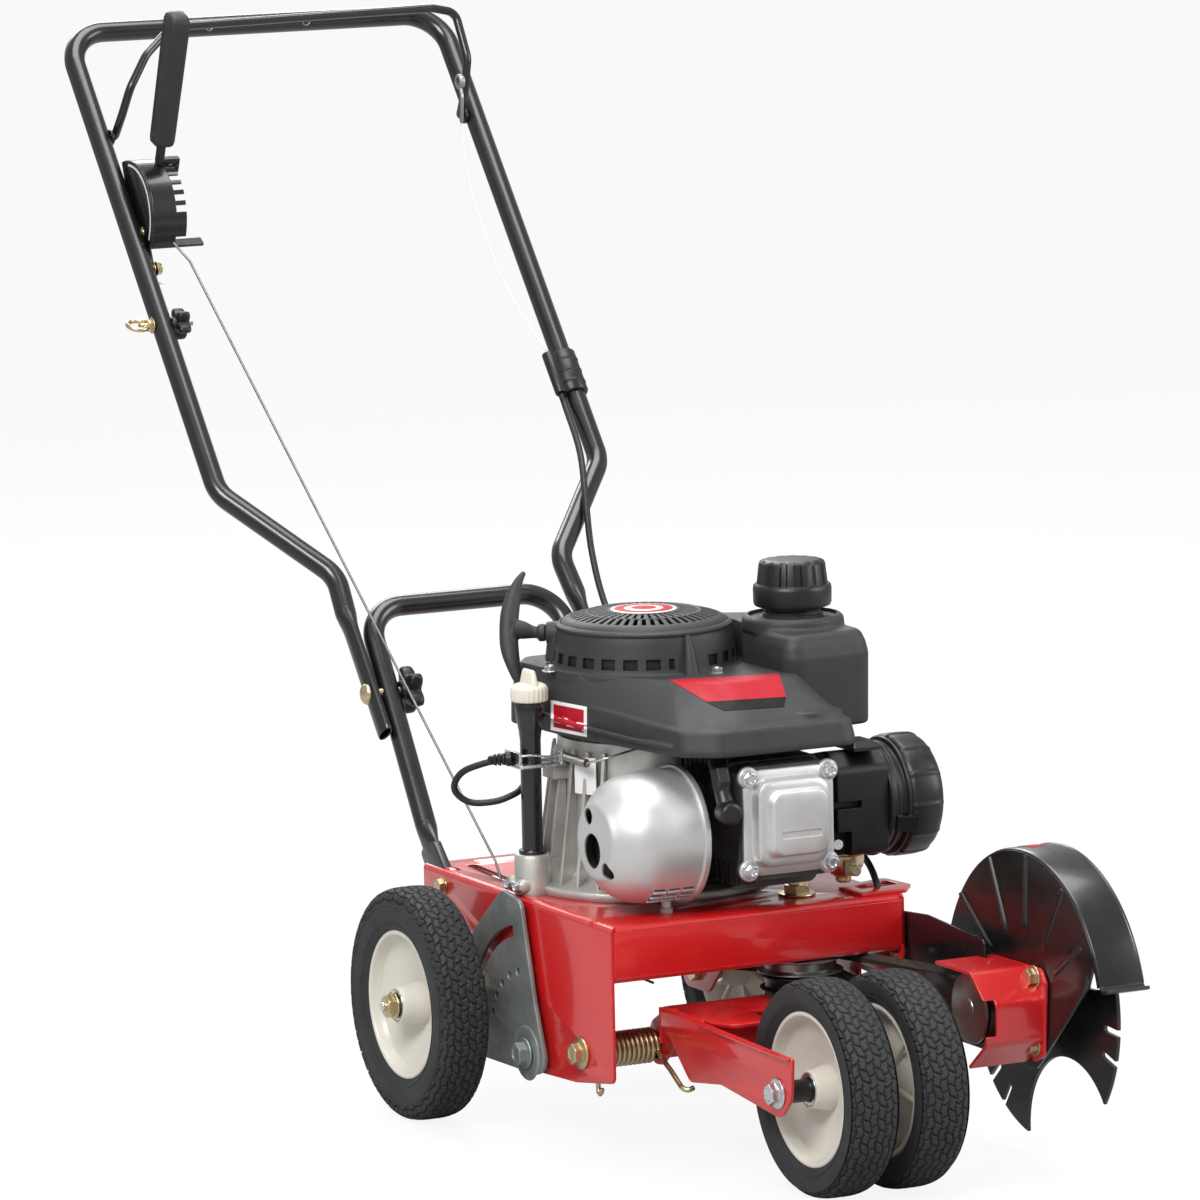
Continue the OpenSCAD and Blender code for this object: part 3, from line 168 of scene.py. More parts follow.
material("muffler_steel", (0.66, 0.66, 0.655), rough=0.44, metal=0.72, vary=0.05, scale=16,
         relief=0.2, edge=0.6, tint=dict(colour=(0.56, 0.55, 0.54), scale=14, amount=0.3))
material("shroud_plastic", (0.026, 0.0275, 0.030), rough=0.46, vary=0.10, scale=22,
         relief=1.0, relief_scale=2600, edge=1.0, specular=0.42)
material("black_plastic", (0.0065, 0.0065, 0.0072), rough=0.38, vary=0.16, scale=26,
         relief=0.3, relief_scale=1800, edge=0.8)
material("galvanised", (0.30, 0.33, 0.325), rough=0.42, metal=0.72, vary=0.18, scale=26,
         tint=dict(colour=(0.17, 0.20, 0.195), scale=16, amount=0.75),
         cells=dict(colour=(0.48, 0.50, 0.49), scale=260, amount=0.22),
         relief=0.3, relief_scale=700, edge=0.5)
material("bright_zinc", (0.72, 0.73, 0.75), rough=0.27, metal=1.0, vary=0.08, scale=60,
         tint=dict(colour=(0.55, 0.58, 0.62), scale=60, amount=0.4),
         relief=0.2, relief_scale=1500, edge=0.5)
material("cable_jacket", (0.010, 0.010, 0.011), rough=0.48, vary=0.12, scale=40,
         relief=0.3, relief_scale=1500, edge=0.3)
material("belt_rubber", (0.030, 0.026, 0.022), rough=0.75, vary=0.25, scale=60,
         relief=1.0, relief_scale=1800, edge=0.4)
material("wire_steel", (0.22, 0.215, 0.205), rough=0.38, metal=0.9, vary=0.15, scale=80,
         relief=0.3, relief_scale=2500, edge=0.2)
material("liner_white", (0.76, 0.77, 0.76), rough=0.35, vary=0.04, scale=40, relief=0.1,
         edge=0.2)
# rim_ivory: painted shade, a darker colour laid into the rim's hollows by ambient occlusion.
material("rim_ivory", (0.66, 0.635, 0.56), rough=0.36, coat=0.35, coat_rough=0.16, vary=0.035,
         scale=10, relief=0.2, relief_scale=500, edge=0.8,
         painted_shade=dict(reach=0.012, amount=0.35, colour=(0.40, 0.37, 0.31)))
# tyre_rubber: painted shade, a darker colour laid into the tread grooves by ambient occlusion.
material("tyre_rubber", (0.019, 0.020, 0.022), rough=0.66, vary=0.18, scale=20,
         relief=1.0, relief_scale=1700, edge=0.4,
         painted_shade=dict(reach=0.003, amount=0.8, colour=(0.012, 0.012, 0.013)))
material("grip_rubber", (0.018, 0.0185, 0.020), rough=0.55, vary=0.12, scale=40,
         relief=0.9, relief_scale=2200, edge=0.8)
material("shaft_steel", (0.30, 0.295, 0.285), rough=0.32, metal=0.95, vary=0.14, scale=50,
         relief=0.3, relief_scale=1500, edge=0.5)
material("blade_steel", (0.0065, 0.0065, 0.007), rough=0.30, coat=0.35, coat_rough=0.16,
         vary=0.15, scale=24, relief=0.3, edge=0.4)
material("cream_plastic", (0.72, 0.685, 0.58), rough=0.38, vary=0.03, scale=30,
         relief=0.3, relief_scale=1500, edge=0.9)
material("decal_red", (0.40, 0.006, 0.018), rough=0.5, specular=0.25, vary=0.04, scale=30,
         relief=0.1, edge=0.1)
material("decal_black", (0.006, 0.006, 0.007), rough=0.55, specular=0.2, vary=0.06, scale=30,
         relief=0.1, edge=0.1)
material("decal_white", (0.80, 0.80, 0.79), rough=0.34, coat=0.3, vary=0.03, scale=30,
         relief=0.1, edge=0.1)
# Near-black matte: the bearings' black rubber seals, and painted shade inside the recoil cover.
material("dark_seal_and_shade", (0.006, 0.006, 0.006), rough=0.8, vary=0.2, scale=30, relief=0.2,
         edge=0.1)


# ---------------------------------------------------------------- points and outlines
CORE = 0.01  # radius that closes a turned profile at its axis
NEAR, FAR, FRONT = (-1, 0, 0), (1, 0, 0), (0, -1, 0)
UP, DOWN = (0, 0, 1), (0, 0, -1)
# in-plane axes and extrusion axis; flat outlines are (y, z), (z, x) and (x, y) in turn
AXES = {"x": ((0, 1, 0), (0, 0, 1), (1, 0, 0)),
        "y": ((0, 0, 1), (1, 0, 0), (0, 1, 0)),
        "z": ((1, 0, 0), (0, 1, 0), (0, 0, 1))}


def place(axis, origin, across, along, height):
    first, second, third = AXES[axis]
    return tuple(origin[i] + first[i] * across + second[i] * along + third[i] * height
                 for i in range(3))


def lerp(a, b, t):
    return a + (b - a) * t


def smoothstep(a, b, x):
    t = max(0.0, min(1.0, (x - a) / (b - a)))
    return t * t * (3 - 2 * t)


def unit(vector):
    vector = Vector(vector)
    return vector / vector.length if vector.length > 1e-12 else vector


def on(centre, x):
    """Point at x on the crosswise line through a centre."""
    return (x, centre[1], centre[2])


def polar(centre, radius, angle):
    """(y, z) at a radius and an angle in degrees about a crosswise centre."""
    return (centre[1] + radius * cos(radians(angle)), centre[2] + radius * sin(radians(angle)))


def corners(xs, ys, zs):
    return [(x, y, z) for x in xs for y in ys for z in zs]


def disc(x, y, z, radius, n=24):
    return [(x + radius * cos(2 * pi * i / n), y + radius * sin(2 * pi * i / n), z)
            for i in range(n)]


def ball(centre, radius, n=10):
    x, y, z = centre
    return [(x + radius * cos(2 * pi * i / n) * sin(pi * j / n),
             y + radius * sin(2 * pi * i / n) * sin(pi * j / n),
             z + radius * cos(pi * j / n)) for j in range(n + 1) for i in range(n)]


def circle(x, y, radius, n=40):
    return [(x + radius * cos(2 * pi * i / n), y + radius * sin(2 * pi * i / n))
            for i in range(n)]


def bore(centre, radius, n=40):
    """Round hole in an X plate about a crosswise centre."""
    return circle(centre[1], centre[2], radius, n)


def slot(x0, y0, x1, y1, radius, n=10):
    a = atan2(y1 - y0, x1 - x0)
    return [(x + radius * cos(a + start + pi * i / n), y + radius * sin(a + start + pi * i / n))
            for x, y, start in ((x1, y1, -pi / 2), (x0, y0, pi / 2)) for i in range(n + 1)]


def rounded(points, steps=5):
    """Polygon with each (x, y, radius) corner rounded; a zero radius stays sharp."""
    out = []
    for i, (x, y, radius) in enumerate(points):
        before, corner = Vector(points[i - 1][:2]), Vector((x, y))
        after = Vector(points[(i + 1) % len(points)][:2])
        if radius == 0:
            out.append((corner.x, corner.y))
            continue
        to_before, to_after = (before - corner).normalized(), (after - corner).normalized()
        half = acos(max(-1, min(1, to_before.dot(to_after)))) / 2
        centre = corner + (to_before + to_after).normalized() * radius / sin(half)
        start = corner + to_before * radius / tan(half) - centre
        end = corner + to_after * radius / tan(half) - centre
        a = atan2(start.y, start.x)
        sweep = atan2(end.y, end.x) - a
        if sweep > pi:
            sweep -= 2 * pi
        elif sweep < -pi:
            sweep += 2 * pi
        out += [(centre.x + radius * cos(a + sweep * j / steps),
                 centre.y + radius * sin(a + sweep * j / steps)) for j in range(steps + 1)]
    return out


def round_box(width, height, radius, n):
    """Rounded rectangle of half width and half height, 4 * n points for lofting."""
    out = []
    for quarter, (sx, sy) in enumerate([(1, 1), (-1, 1), (-1, -1), (1, -1)]):
        for i in range(n):
            a = pi / 2 * (quarter + i / (n - 1))
            out.append((sx * (width - radius) + radius * cos(a),
                        sy * (height - radius) + radius * sin(a)))
    return out


def scaled(points, centre, kx, ky):
    cx, cy = centre
    return [(cx + (x - cx) * kx, cy + (y - cy) * ky) for x, y in points]


def offset_path(path, distance):
    """Flat path moved sideways."""
    out = []
    for i, point in enumerate(path):
        ahead = Vector(path[min(i + 1, len(path) - 1)])
        d = (ahead - Vector(path[max(i - 1, 0)])).normalized()
        out.append((point[0] - d.y * distance, point[1] + d.x * distance))
    return out


def bent(points, radii, steps=10):
    """Path with bent corners; radii is one number or one per inner corner."""
    points = [Vector(p) for p in points]
    out = [points[0]]
    for i in range(1, len(points) - 1):
        corner = points[i]
        d1, d2 = unit(corner - points[i - 1]), unit(points[i + 1] - corner)
        turn = acos(max(-1, min(1, d1.dot(d2))))
        radius = radii[i - 1] if isinstance(radii, list) else radii
        centre = corner + unit(d2 - d1) * radius / cos(turn / 2)
        outward = unit(corner - d1 * radius * tan(turn / 2) - centre)
        out += [centre + radius * (outward * cos(turn * k / steps) + d1 * sin(turn * k / steps))
                for k in range(steps + 1)]
    return out + [points[-1]]


def spline_point(p0, p1, p2, p3, t):
    return 0.5 * (2 * p1 + (p2 - p0) * t + (2 * p0 - 5 * p1 + 4 * p2 - p3) * t * t
                  + (3 * p1 - p0 - 3 * p2 + p3) * t ** 3)


def curve(points, steps=10):
    """Catmull-Rom curve through the points."""
    points = [Vector(p) for p in points]
    last = len(points) - 1
    out = []
    for i in range(last):
        around_span = (points[max(i - 1, 0)], points[i], points[i + 1], points[min(i + 2, last)])
        out += [spline_point(*around_span, k / steps) for k in range(steps)]
    return out + [points[-1]]


# ---------------------------------------------------------------- shapes: (vertices, faces)
def rings(loops, closed=False, caps=True):
    """Skin through loops of equal length."""
    n, m = len(loops), len(loops[0])
    faces = []
    for i in range(n if closed else n - 1):
        after = (i + 1) % n
        for j in range(m):
            k = (j + 1) % m
            faces.append((i * m + j, i * m + k, after * m + k, after * m + j))
    if not closed and caps:
        faces.append(tuple(reversed(range(m))))
        faces.append(tuple(range((n - 1) * m, n * m)))
    return [p for loop in loops for p in loop], faces


def revolve(profile, axis, centre, segs, swell=None):
    """Loops of a (radius, height, ...) profile; swell(radius, angle, ...) alters a radius."""
    loops = []
    for radius, height, *more in profile:
        loop = []
        for j in range(segs):
            a = 2 * pi * j / segs
            r = swell(radius, a, *more) if swell else radius
            loop.append(place(axis, centre, r * cos(a), r * sin(a), height))
        loops.append(loop)
    return loops


def lathe(profile, axis, centre, segs=96):
    """Closed profile turned into a ring or a plug."""
    return rings(revolve(profile, axis, centre, segs), closed=True)


def collar(outer, low, high, axis, centre, segs, inner=CORE):
    """Plain rod, or a ring when it has an inner radius."""
    return lathe([(inner, low), (outer, low), (outer, high), (inner, high)], axis, centre, segs)


def tube(path, radius, sides=24, closed=False, cross=None, caps=True):
    """Bar along points; radius, and cross for an oval bar, may be one per point."""
    path = [Vector(p) for p in path]
    n = len(path)
    tangents = []
    for i in range(n):
        if closed:
            tangents.append(unit(path[(i + 1) % n] - path[(i - 1) % n]))
        else:
            tangents.append(unit(path[min(i + 1, n - 1)] - path[max(i - 1, 0)]))
    side = Vector((1, 0, 0)) if abs(tangents[0].x) < 0.8 else Vector((0, 0, 1))
    loops = []
    for i in range(n):
        side = unit(side - tangents[i] * side.dot(tangents[i]))
        other = tangents[i].cross(side)
        r1 = radius[i] if isinstance(radius, list) else radius
        r2 = cross[i] if cross else r1
        loops.append([tuple(path[i] + side * r1 * cos(2 * pi * j / sides)
                            + other * r2 * sin(2 * pi * j / sides)) for j in range(sides)])
    return rings(loops, closed=closed, caps=caps)


def box(a, b):
    return (corners(*zip(a, b)),
            [(0, 1, 3, 2), (4, 6, 7, 5), (0, 4, 5, 1), (2, 3, 7, 6), (0, 2, 6, 4), (1, 5, 7, 3)])


def hull(points):
    """Convex hull of points."""
    bm = bmesh.new()
    for p in points:
        bm.verts.new(p)
    inner = bmesh.ops.convex_hull(bm, input=bm.verts)["geom_interior"]
    bmesh.ops.delete(bm, geom=[g for g in inner if isinstance(g, bmesh.types.BMVert)],
                     context="VERTS")
    bm.verts.ensure_lookup_table()
    bm.verts.index_update()
    shape = ([tuple(v.co) for v in bm.verts], [tuple(v.index for v in f.verts) for f in bm.faces])
    bm.free()
    return shape


def ellipsoid(x, y, z, rx, ry, rz, n=18):
    return ([(x + rx * p[0], y + ry * p[1], z + rz * p[2]) for p in ball((0, 0, 0), 1, n)],
            [(j * n + i, j * n + (i + 1) % n, (j + 1) * n + (i + 1) % n, (j + 1) * n + i)
             for j in range(n) for i in range(n)])


def turn_x(shape, angle, about=(0, 0, 0)):
    """Shape turned about the X direction, in degrees."""
    turn, centre = Matrix.Rotation(radians(angle), 3, "X"), Vector(about)
    return [tuple(turn @ (Vector(v) - centre) + centre) for v in shape[0]], shape[1]


def moved(shape, d):
    return [(v[0] + d[0], v[1] + d[1], v[2] + d[2]) for v in shape[0]], shape[1]


def stand(shape, spot, direction, spin=0.0):
    """Shape built along +Z at the origin, stood at a spot along a direction."""
    turn = Vector((0, 0, 1)).rotation_difference(unit(direction)).to_matrix()
    turn = turn @ Matrix.Rotation(spin, 3, "Z")
    return [tuple(turn @ Vector(v) + Vector(spot)) for v in shape[0]], shape[1]


def bolt(spot, direction, radius, height, washer=0.0, washer_r=0.0, spin=0.0, shank=None,
         dish=0.0):
    """Chamfered hex head on an optional washer flange; shank is (radius, length)."""
    shapes = []
    if washer:
        shapes.append(lathe([
            (CORE, 0), (washer_r * 0.96, 0), (washer_r, washer * 0.35),
            (washer_r * 0.97, washer * 0.75), (radius * 0.98, washer), (CORE, washer)],
            "z", (0, 0, 0), 40))
    loops = []
    # height, radius as a share of the corner radius
    for z, share in [(0.0, 1.0), (height * 0.80, 1.0), (height * 0.90, 0.985),
                     (height * 0.97, 0.93), (height, 0.84), (height, 0.6),
                     (height - dish, 0.5), (height - dish, 0.01)]:
        loop = []
        for j in range(48):
            a = 2 * pi * j / 48
            flat = radius * cos(pi / 6) / cos((a % (2 * pi / 6)) - pi / 6)
            r = min(flat, radius * share)
            loop.append((r * cos(a), r * sin(a), washer * 0.9 + z))
        loops.append(loop)
    shapes = [stand(s, spot, direction, spin) for s in shapes + [rings(loops)]]
    if shank:
        rod = collar(shank[0], -shank[1], 0.2, "z", (0, 0, 0), 28)
        shapes.append(stand(rod, spot, direction))
    return shapes


# ---------------------------------------------------------------- objects
def raw(name, verts, faces):
    mesh = bpy.data.meshes.new(name)
    mesh.from_pydata([(v[0] * MM, v[1] * MM, v[2] * MM) for v in verts], [], faces)
    mesh.validate()
    obj = bpy.data.objects.new(name, mesh)
    bpy.context.scene.collection.objects.link(obj)
    return obj


def tidy(mesh, merge=False):
    """Turns the faces outward, after merging doubles if asked."""
    bm = bmesh.new()
    bm.from_mesh(mesh)
    if merge:
        bmesh.ops.remove_doubles(bm, verts=bm.verts, dist=1e-6)
    bmesh.ops.recalc_face_normals(bm, faces=bm.faces)
    bm.to_mesh(mesh)
    bm.free()


def join(name, shapes):
    """One object from several closed shapes."""
    verts, faces = [], []
    for shape_verts, shape_faces in shapes:
        first = len(verts)
        verts += [tuple(v) for v in shape_verts]
        faces += [tuple(i + first for i in f) for f in shape_faces]
    obj = raw(name, verts, faces)
    tidy(obj.data)
    return obj


def apply_modifiers(obj):
    bpy.context.view_layer.update()
    graph = bpy.context.evaluated_depsgraph_get()
    mesh = bpy.data.meshes.new_from_object(obj.evaluated_get(graph))
    old = obj.data
    obj.modifiers.clear()
    obj.data = mesh
    bpy.data.meshes.remove(old)


def cut(obj, cutters):
    """Takes the joined cutters out of the object."""
    cutter = join("cutter", cutters)
    boolean = obj.modifiers.new("cut", "BOOLEAN")
    boolean.operation = "DIFFERENCE"
    boolean.solver = "EXACT"
    boolean.use_self = True
    boolean.object = cutter
    apply_modifiers(obj)
    bpy.data.objects.remove(cutter)


def melt_shapes(obj, voxel, iterations):
    """Fuses the shapes and softens every edge, as a moulded part."""
    fuse = obj.modifiers.new("fuse", "REMESH")
    fuse.mode = "VOXEL"
    fuse.voxel_size = voxel * MM
    fuse.adaptivity = 0
    soften = obj.modifiers.new("soften", "SMOOTH")
    soften.iterations = iterations
    soften.factor = 0.5
    apply_modifiers(obj)


def finish(obj, look, body, replaces=None, smooth=40.0, bevel=0.0, segs=2, angle=32.0):
    """body is one body's name, which the part is attached to; a tuple (first, second, start, end)
    is not used, and the part is left unattached.
    """
    mesh = obj.data
    mesh.transform(Matrix.Translation(SHIFT))
    mesh.materials.clear()
    mesh.materials.append(FINISHES[look])
    for face in mesh.polygons:
        face.use_smooth = True
    if bevel:
        edge = obj.modifiers.new("round", "BEVEL")
        edge.width = bevel * MM
        edge.segments = segs
        edge.limit_method = "ANGLE"
        edge.angle_limit = radians(angle)
        edge.harden_normals = False
    mesh.set_sharp_from_angle(angle=radians(smooth))
    if isinstance(body, str):
        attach(obj, body)
    else:
        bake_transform(obj)
    if replaces:
        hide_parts(replaces)


def piece(name, look, body, shapes, replaces=None, melt=None, cuts=(), **more):
    """Finished object; melt is (voxel, iterations), cuts are groups of cutters in turn."""
    obj = join(name, shapes)
    if melt:
        melt_shapes(obj, *melt)
    for cutters in cuts:
        cut(obj, cutters)
    finish(obj, look, body, replaces, **more)


def plate(name, look, body, axis, low, high, outline, holes=(), edge=0.5, steps=2,
          replaces=None, smooth=35):
    """Flat plate with rounded edges and real holes, from a filled curve."""
    flat = bpy.data.curves.new(name, "CURVE")
    flat.dimensions = "2D"
    flat.fill_mode = "BOTH"
    half = (high - low) * MM / 2
    depth = min(edge * MM, half * 0.98)
    flat.extrude = half - depth
    flat.bevel_depth = depth
    flat.bevel_resolution = steps
    flat.offset = -depth
    for loop in [outline, *holes]:
        spline = flat.splines.new("POLY")
        spline.points.add(len(loop) - 1)
        for point, (x, y) in zip(spline.points, loop):
            point.co = (x * MM, y * MM, 0, 1)
        spline.use_cyclic_u = True
    holder = bpy.data.objects.new(name + "_c", flat)
    bpy.context.scene.collection.objects.link(holder)
    bpy.context.view_layer.update()
    graph = bpy.context.evaluated_depsgraph_get()
    mesh = bpy.data.meshes.new_from_object(holder.evaluated_get(graph))
    bpy.data.objects.remove(holder)
    bpy.data.curves.remove(flat)
    first, second, third = AXES[axis]
    middle = (low + high) / 2 * MM
    mesh.transform(Matrix([(first[i], second[i], third[i], third[i] * middle)
                           for i in range(3)] + [(0, 0, 0, 1)]))
    obj = bpy.data.objects.new(name, mesh)
    bpy.context.scene.collection.objects.link(obj)
    tidy(mesh, merge=True)
    finish(obj, look, body, replaces, smooth=smooth)


# ---------------------------------------------------------------- shared places
REAR_R, FRONT_R, RIM_R = 101.6, 91.0, 66.0
REAR_AXLE = (0, 0, REAR_R)
FRONT_Y = -455.0
FRONT_AXLE = (0, FRONT_Y, FRONT_R)
FAN_X, FAN_Y = 14.0, -95.0
FAN = (FAN_X, FAN_Y, 0)             # upright axis of the engine
BLADE = (0, -428.0, 136.0)
PIVOT = (0, -208.5, 87.7)           # front bracket hinge
CURB = (0, -120.9, 73.4)            # curb plate hinge
FOLD = (0, 186.0, 344.0)            # handle fold bolts
LEVER = (0, 539.0, 748.0)           # depth lever hinge
BAIL = (0, 583.0, 816.0)
MUFFLER = (0, -222.0, 270.0)
FILTER = (0, -214.0, 282.0)
GUARD = (0, -434.0, 134.0)
GUIDE = (0, 452, 655)               # rope guide on the near upright
# bolt places (y, z)
WALL_BOLTS = ((57, 190), (45, 168))
SUPPORT_BOLTS = ((-256, 150), (-160, 150))
GUARD_BOLTS = ((-459, 163), (-459, 106))
CORD_DIR = Vector((cos(radians(150)), sin(radians(150)), 0))  # way the starter cord leaves
CORD_SIDE = Vector((-CORD_DIR.y, CORD_DIR.x, 0))
CORD_START = Vector((FAN_X, FAN_Y, 424))


def around(angle, radius, z):
    """Point about the engine's upright axis."""
    return (FAN_X + radius * cos(radians(angle)), FAN_Y + radius * sin(radians(angle)), z)


def by_cord(out, side, z):
    """Point from the engine axis along the cord, sideways and up."""
    return tuple(CORD_START + CORD_DIR * out + CORD_SIDE * side + Vector((0, 0, z)))


# ---------------------------------------------------------------- wheels
HALF_TYRE = 22.5
TREAD = 31.0       # half width of the patterned band, along the surface
ROW = 6.8          # width of a row of lugs
LUG = 10.5         # length of a lug round the tyre
STATION = 0.9      # spacing of loops across the tread


def triangle_wave(x):
    return 4 * abs(x - floor(x) - 0.5) - 1


def groove_depth(s, u):
    """Depth at s across the tread and u lugs round it."""
    row = s / ROW + 0.20 * triangle_wave(u * 0.5)
    k = floor(row)
    in_row = row - k
    lug = u + 0.5 * (k % 2) + 0.34 * (in_row - 0.5) * (1 if k % 2 else -1)
    in_lug = lug - floor(lug)
    gap = min(min(in_row, 1 - in_row) * ROW, min(in_lug, 1 - in_lug) * LUG)
    return (1.7 * (1 - smoothstep(0.35, 1.05, gap))
            * (1 - smoothstep(TREAD - 2, TREAD, abs(s))))


def tyre(name, middle, y, radius, body, node):
    seat, w = RIM_R - 0.9, HALF_TYRE
    # half section from the crown to the bead: radius, half width
    knots = [Vector(p) for p in (
        (radius, 0.0), (radius, 7), (radius - 0.8, w - 9), (radius - 2.5, w - 4.5),
        (radius - 6, w - 1.8), (radius - 11, w - 0.6), (seat + 20, w - 0.1), (seat + 13, w),
        (seat + 8, w - 0.4), (seat + 5, w - 1.5), (seat + 2, w - 3.6), (seat, w - 5))]
    section = []
    for i in range(len(knots) - 1):
        before = knots[i - 1] if i else Vector((knots[1].x, -knots[1].y))
        after = knots[min(i + 2, len(knots) - 1)]
        section += [spline_point(before, knots[i], knots[i + 1], after, k / 12)
                    for k in range(12)]
    section.append(knots[-1])
    lengths = [0.0]
    for a, b in zip(section, section[1:]):
        lengths.append(lengths[-1] + (b - a).length)

    def at(s):
        """Point and direction at a length along the half section."""
        for i in range(len(lengths) - 1):
            if s <= lengths[i + 1]:
                t = (s - lengths[i]) / max(1e-9, lengths[i + 1] - lengths[i])
                return (section[i].lerp(section[i + 1], t),
                        (section[i + 1] - section[i]).normalized())
        return section[-1], (section[-1] - section[-2]).normalized()

    stations = [i * STATION for i in range(int(TREAD / STATION) + 1)]
    stations += [TREAD + extra for extra in (0.6, 2, 5, 9, 13, 17, 21)]
    stations = [s for s in stations if s < lengths[-1] - 0.5] + [lengths[-1]]
    stations = [-s for s in reversed(stations[1:])] + stations
    lugs = round(2 * pi * radius / LUG)
    segs = lugs * 12
    loops = []
    for s in stations:
        point, along = at(abs(s))
        out_r = abs(along.y)
        out_x = abs(along.x) * (1 if s > 0 else -1)
        side = -point.y if s < 0 else point.y
        loop = []
        for j in range(segs):
            depth = groove_depth(s, j / segs * lugs) if abs(s) < TREAD + 1 else 0.0
            r = point.x - out_r * depth
            a = 2 * pi * j / segs
            loop.append((middle + side - out_x * depth, y + r * cos(a), radius + r * sin(a)))
        loops.append(loop)
    loops += revolve([(seat + 0.3, middle + side) for side in (w - 6, 0.0, -(w - 6))],
                     "x", (0, y, radius), segs)
    shapes = [rings(loops, closed=True)]
    # two raised beads on each sidewall
    for s in (-1, 1):
        for r, height in ((seat + 6.5, 0.5), (radius - 14.5, 0.45)):
            base = w - 0.9 if r < 80 else w - 0.25
            root, crest = middle + s * (base - 0.8), middle + s * (base + height)
            shapes.append(lathe([(r - 0.7, root), (r - 0.4, crest), (r + 0.4, crest),
                                 (r + 0.7, root)], "x", (0, y, radius), 120))
    piece(name, "tyre_rubber", body, shapes, node, smooth=35)


# outer flange: radius, distance in from the tyre's half width
RIM_LIP = [(63.4, 4.2), (61.4, 4.6), (60.6, 6), (60.1, 8.5)]
# dished web: radius, offset outwards, half thickness
RIM_WEB = [(57.5, 4, 3.6), (55, 4, 2.4), (44, 2, 2.2), (36, 0.5, 2.3), (30, -3, 2.6),
           (23, -4.6, 2.6), (20.5, -6, 3.4), (18, -6, 3.4)]


def rim(name, middle, s, y, radius, hub0, hub1, body, node):
    """Rim with its hub between hub0 and hub1; s is the outward side."""
    w = HALF_TYRE
    centre = (0, y, radius)
    profile = [(65.0, -w + 5), (65.0, w - 5)]
    profile += [(r, w - d) for r, d in RIM_LIP]
    profile += [(r, s * out + half) for r, out, half in RIM_WEB]
    profile += [(r, s * out - half) for r, out, half in reversed(RIM_WEB)]
    profile += [(r, -w + d) for r, d in reversed(RIM_LIP)]
    hub = [(13.6, hub0 + 0.6), (14.2, hub0), (15.4, hub0), (16, hub0 + 0.8), (16.4, hub0 + 6),
           (19, middle - s * 6 - 7), (19, middle - s * 6 + 7), (16.4, hub1 - 6),
           (16, hub1 - 0.8), (15.4, hub1), (14.2, hub1), (13.6, hub1 - 0.6), (13.6, hub1 - 3),
           (7, hub1 - 3), (7, hub0 + 3), (13.6, hub0 + 3)]
    shapes = [lathe([(r, middle + h) for r, h in profile], "x", centre, 144),
              lathe(hub, "x", centre, 72)]
    # stiffening ribs on the dish behind the hub
    web = middle - s * 4.6
    low, high = (-6, -1.6) if s > 0 else (1.6, 6)
    for k in range(6):
        rib = box((web + low, 18, -1.4), (web + high, 50, 1.4))
        shapes.append(moved(turn_x(rib, 60 * k + 12), centre))
    root = middle + s * 2
    stem = lathe([(CORE, root - 2), (3.6, root - 2), (3.4, root + 6), (2.4, root + 7.5),
                  (CORE, root + 7.5)], "x", (0, 0, 47), 24)
    shapes.append(moved(turn_x(stem, 100), centre))
    piece(name, "rim_ivory", body, shapes, node, bevel=0.6, angle=35, smooth=50)
    # bearings: bright races and dark seal
    for k, (x, d) in enumerate(((hub0, 1), (hub1, -1))):
        piece(name + "_race%d" % k, "bright_zinc", body, [
            lathe([(10.2, x + d * 0.4), (10.6, x - d * 0.1), (13.2, x - d * 0.1),
                   (13.5, x + d * 0.4), (13.5, x + d * 3), (10.2, x + d * 3)],
                  "x", centre, 64),
            collar(8.2, x + d * 0.2, x + d * 3, "x", centre, 48, inner=6.2)])
        piece(name + "_seal%d" % k, "dark_seal_and_shade", body, [
            collar(10.2, x + d * 1.2, x + d * 3, "x", centre, 48, inner=8.2)])


# end, side, middle x, outward side, axle y, radius, hub ends
for end, side, middle, s, y, radius, hub0, hub1 in (
        ("rear", "near", NEAR_WHEEL_X, -1, 0, REAR_R, -186, -129),
        ("rear", "far", 161, 1, 0, REAR_R, 129, 183),
        ("front", "near", -10.5, -1, FRONT_Y, FRONT_R, -27, 20),
        ("front", "far", 55.5, 1, FRONT_Y, FRONT_R, 25, 72)):
    name, body = "%s_%s" % (end, side), "%s_wheel_%s" % (end, side)
    tyre(name + "_tread", middle, y, radius, body, "%s_tyre_%s" % (end, side))
    rim(name + "_wheel", middle, s, y, radius, hub0, hub1, body, "%s_rim_%s" % (end, side))

# axle hardware
piece("near_axle_parts", "yellow_zinc", "curb_arm", [
    lathe([(CORE, -197), (5.4, -197), (6, -196.2), (6, -120), (CORE, -120)],
          "x", REAR_AXLE, 40),
    collar(9, -128.8, -120, "x", REAR_AXLE, 40, inner=6),
    *bolt(on(REAR_AXLE, -188.2), NEAR, 10.2, 6.6, 1.8, 12.4),
    collar(10, -112.4, -116, "x", REAR_AXLE, 40, inner=6)], "near_axle", smooth=35)
piece("near_axle_tip", "bright_zinc", "curb_arm", [
    lathe([(CORE, -196.9), (4.2, -196.9), (4.6, -198.6), (4.0, -200.0), (CORE, -200.2)],
          "x", REAR_AXLE, 32)])
piece("far_axle_parts", "yellow_zinc", "chassis", [
    lathe([(CORE, 103), (6, 103), (6, 194), (5.4, 195), (CORE, 195)], "x", REAR_AXLE, 40),
    collar(10, 111, 128.8, "x", REAR_AXLE, 40, inner=6),
    *bolt(on(REAR_AXLE, 183.2), FAR, 10.2, 6.6, 2.0, 12.4),
    *bolt(on(REAR_AXLE, 107.8), NEAR, 10, 6)], "far_axle", smooth=35)
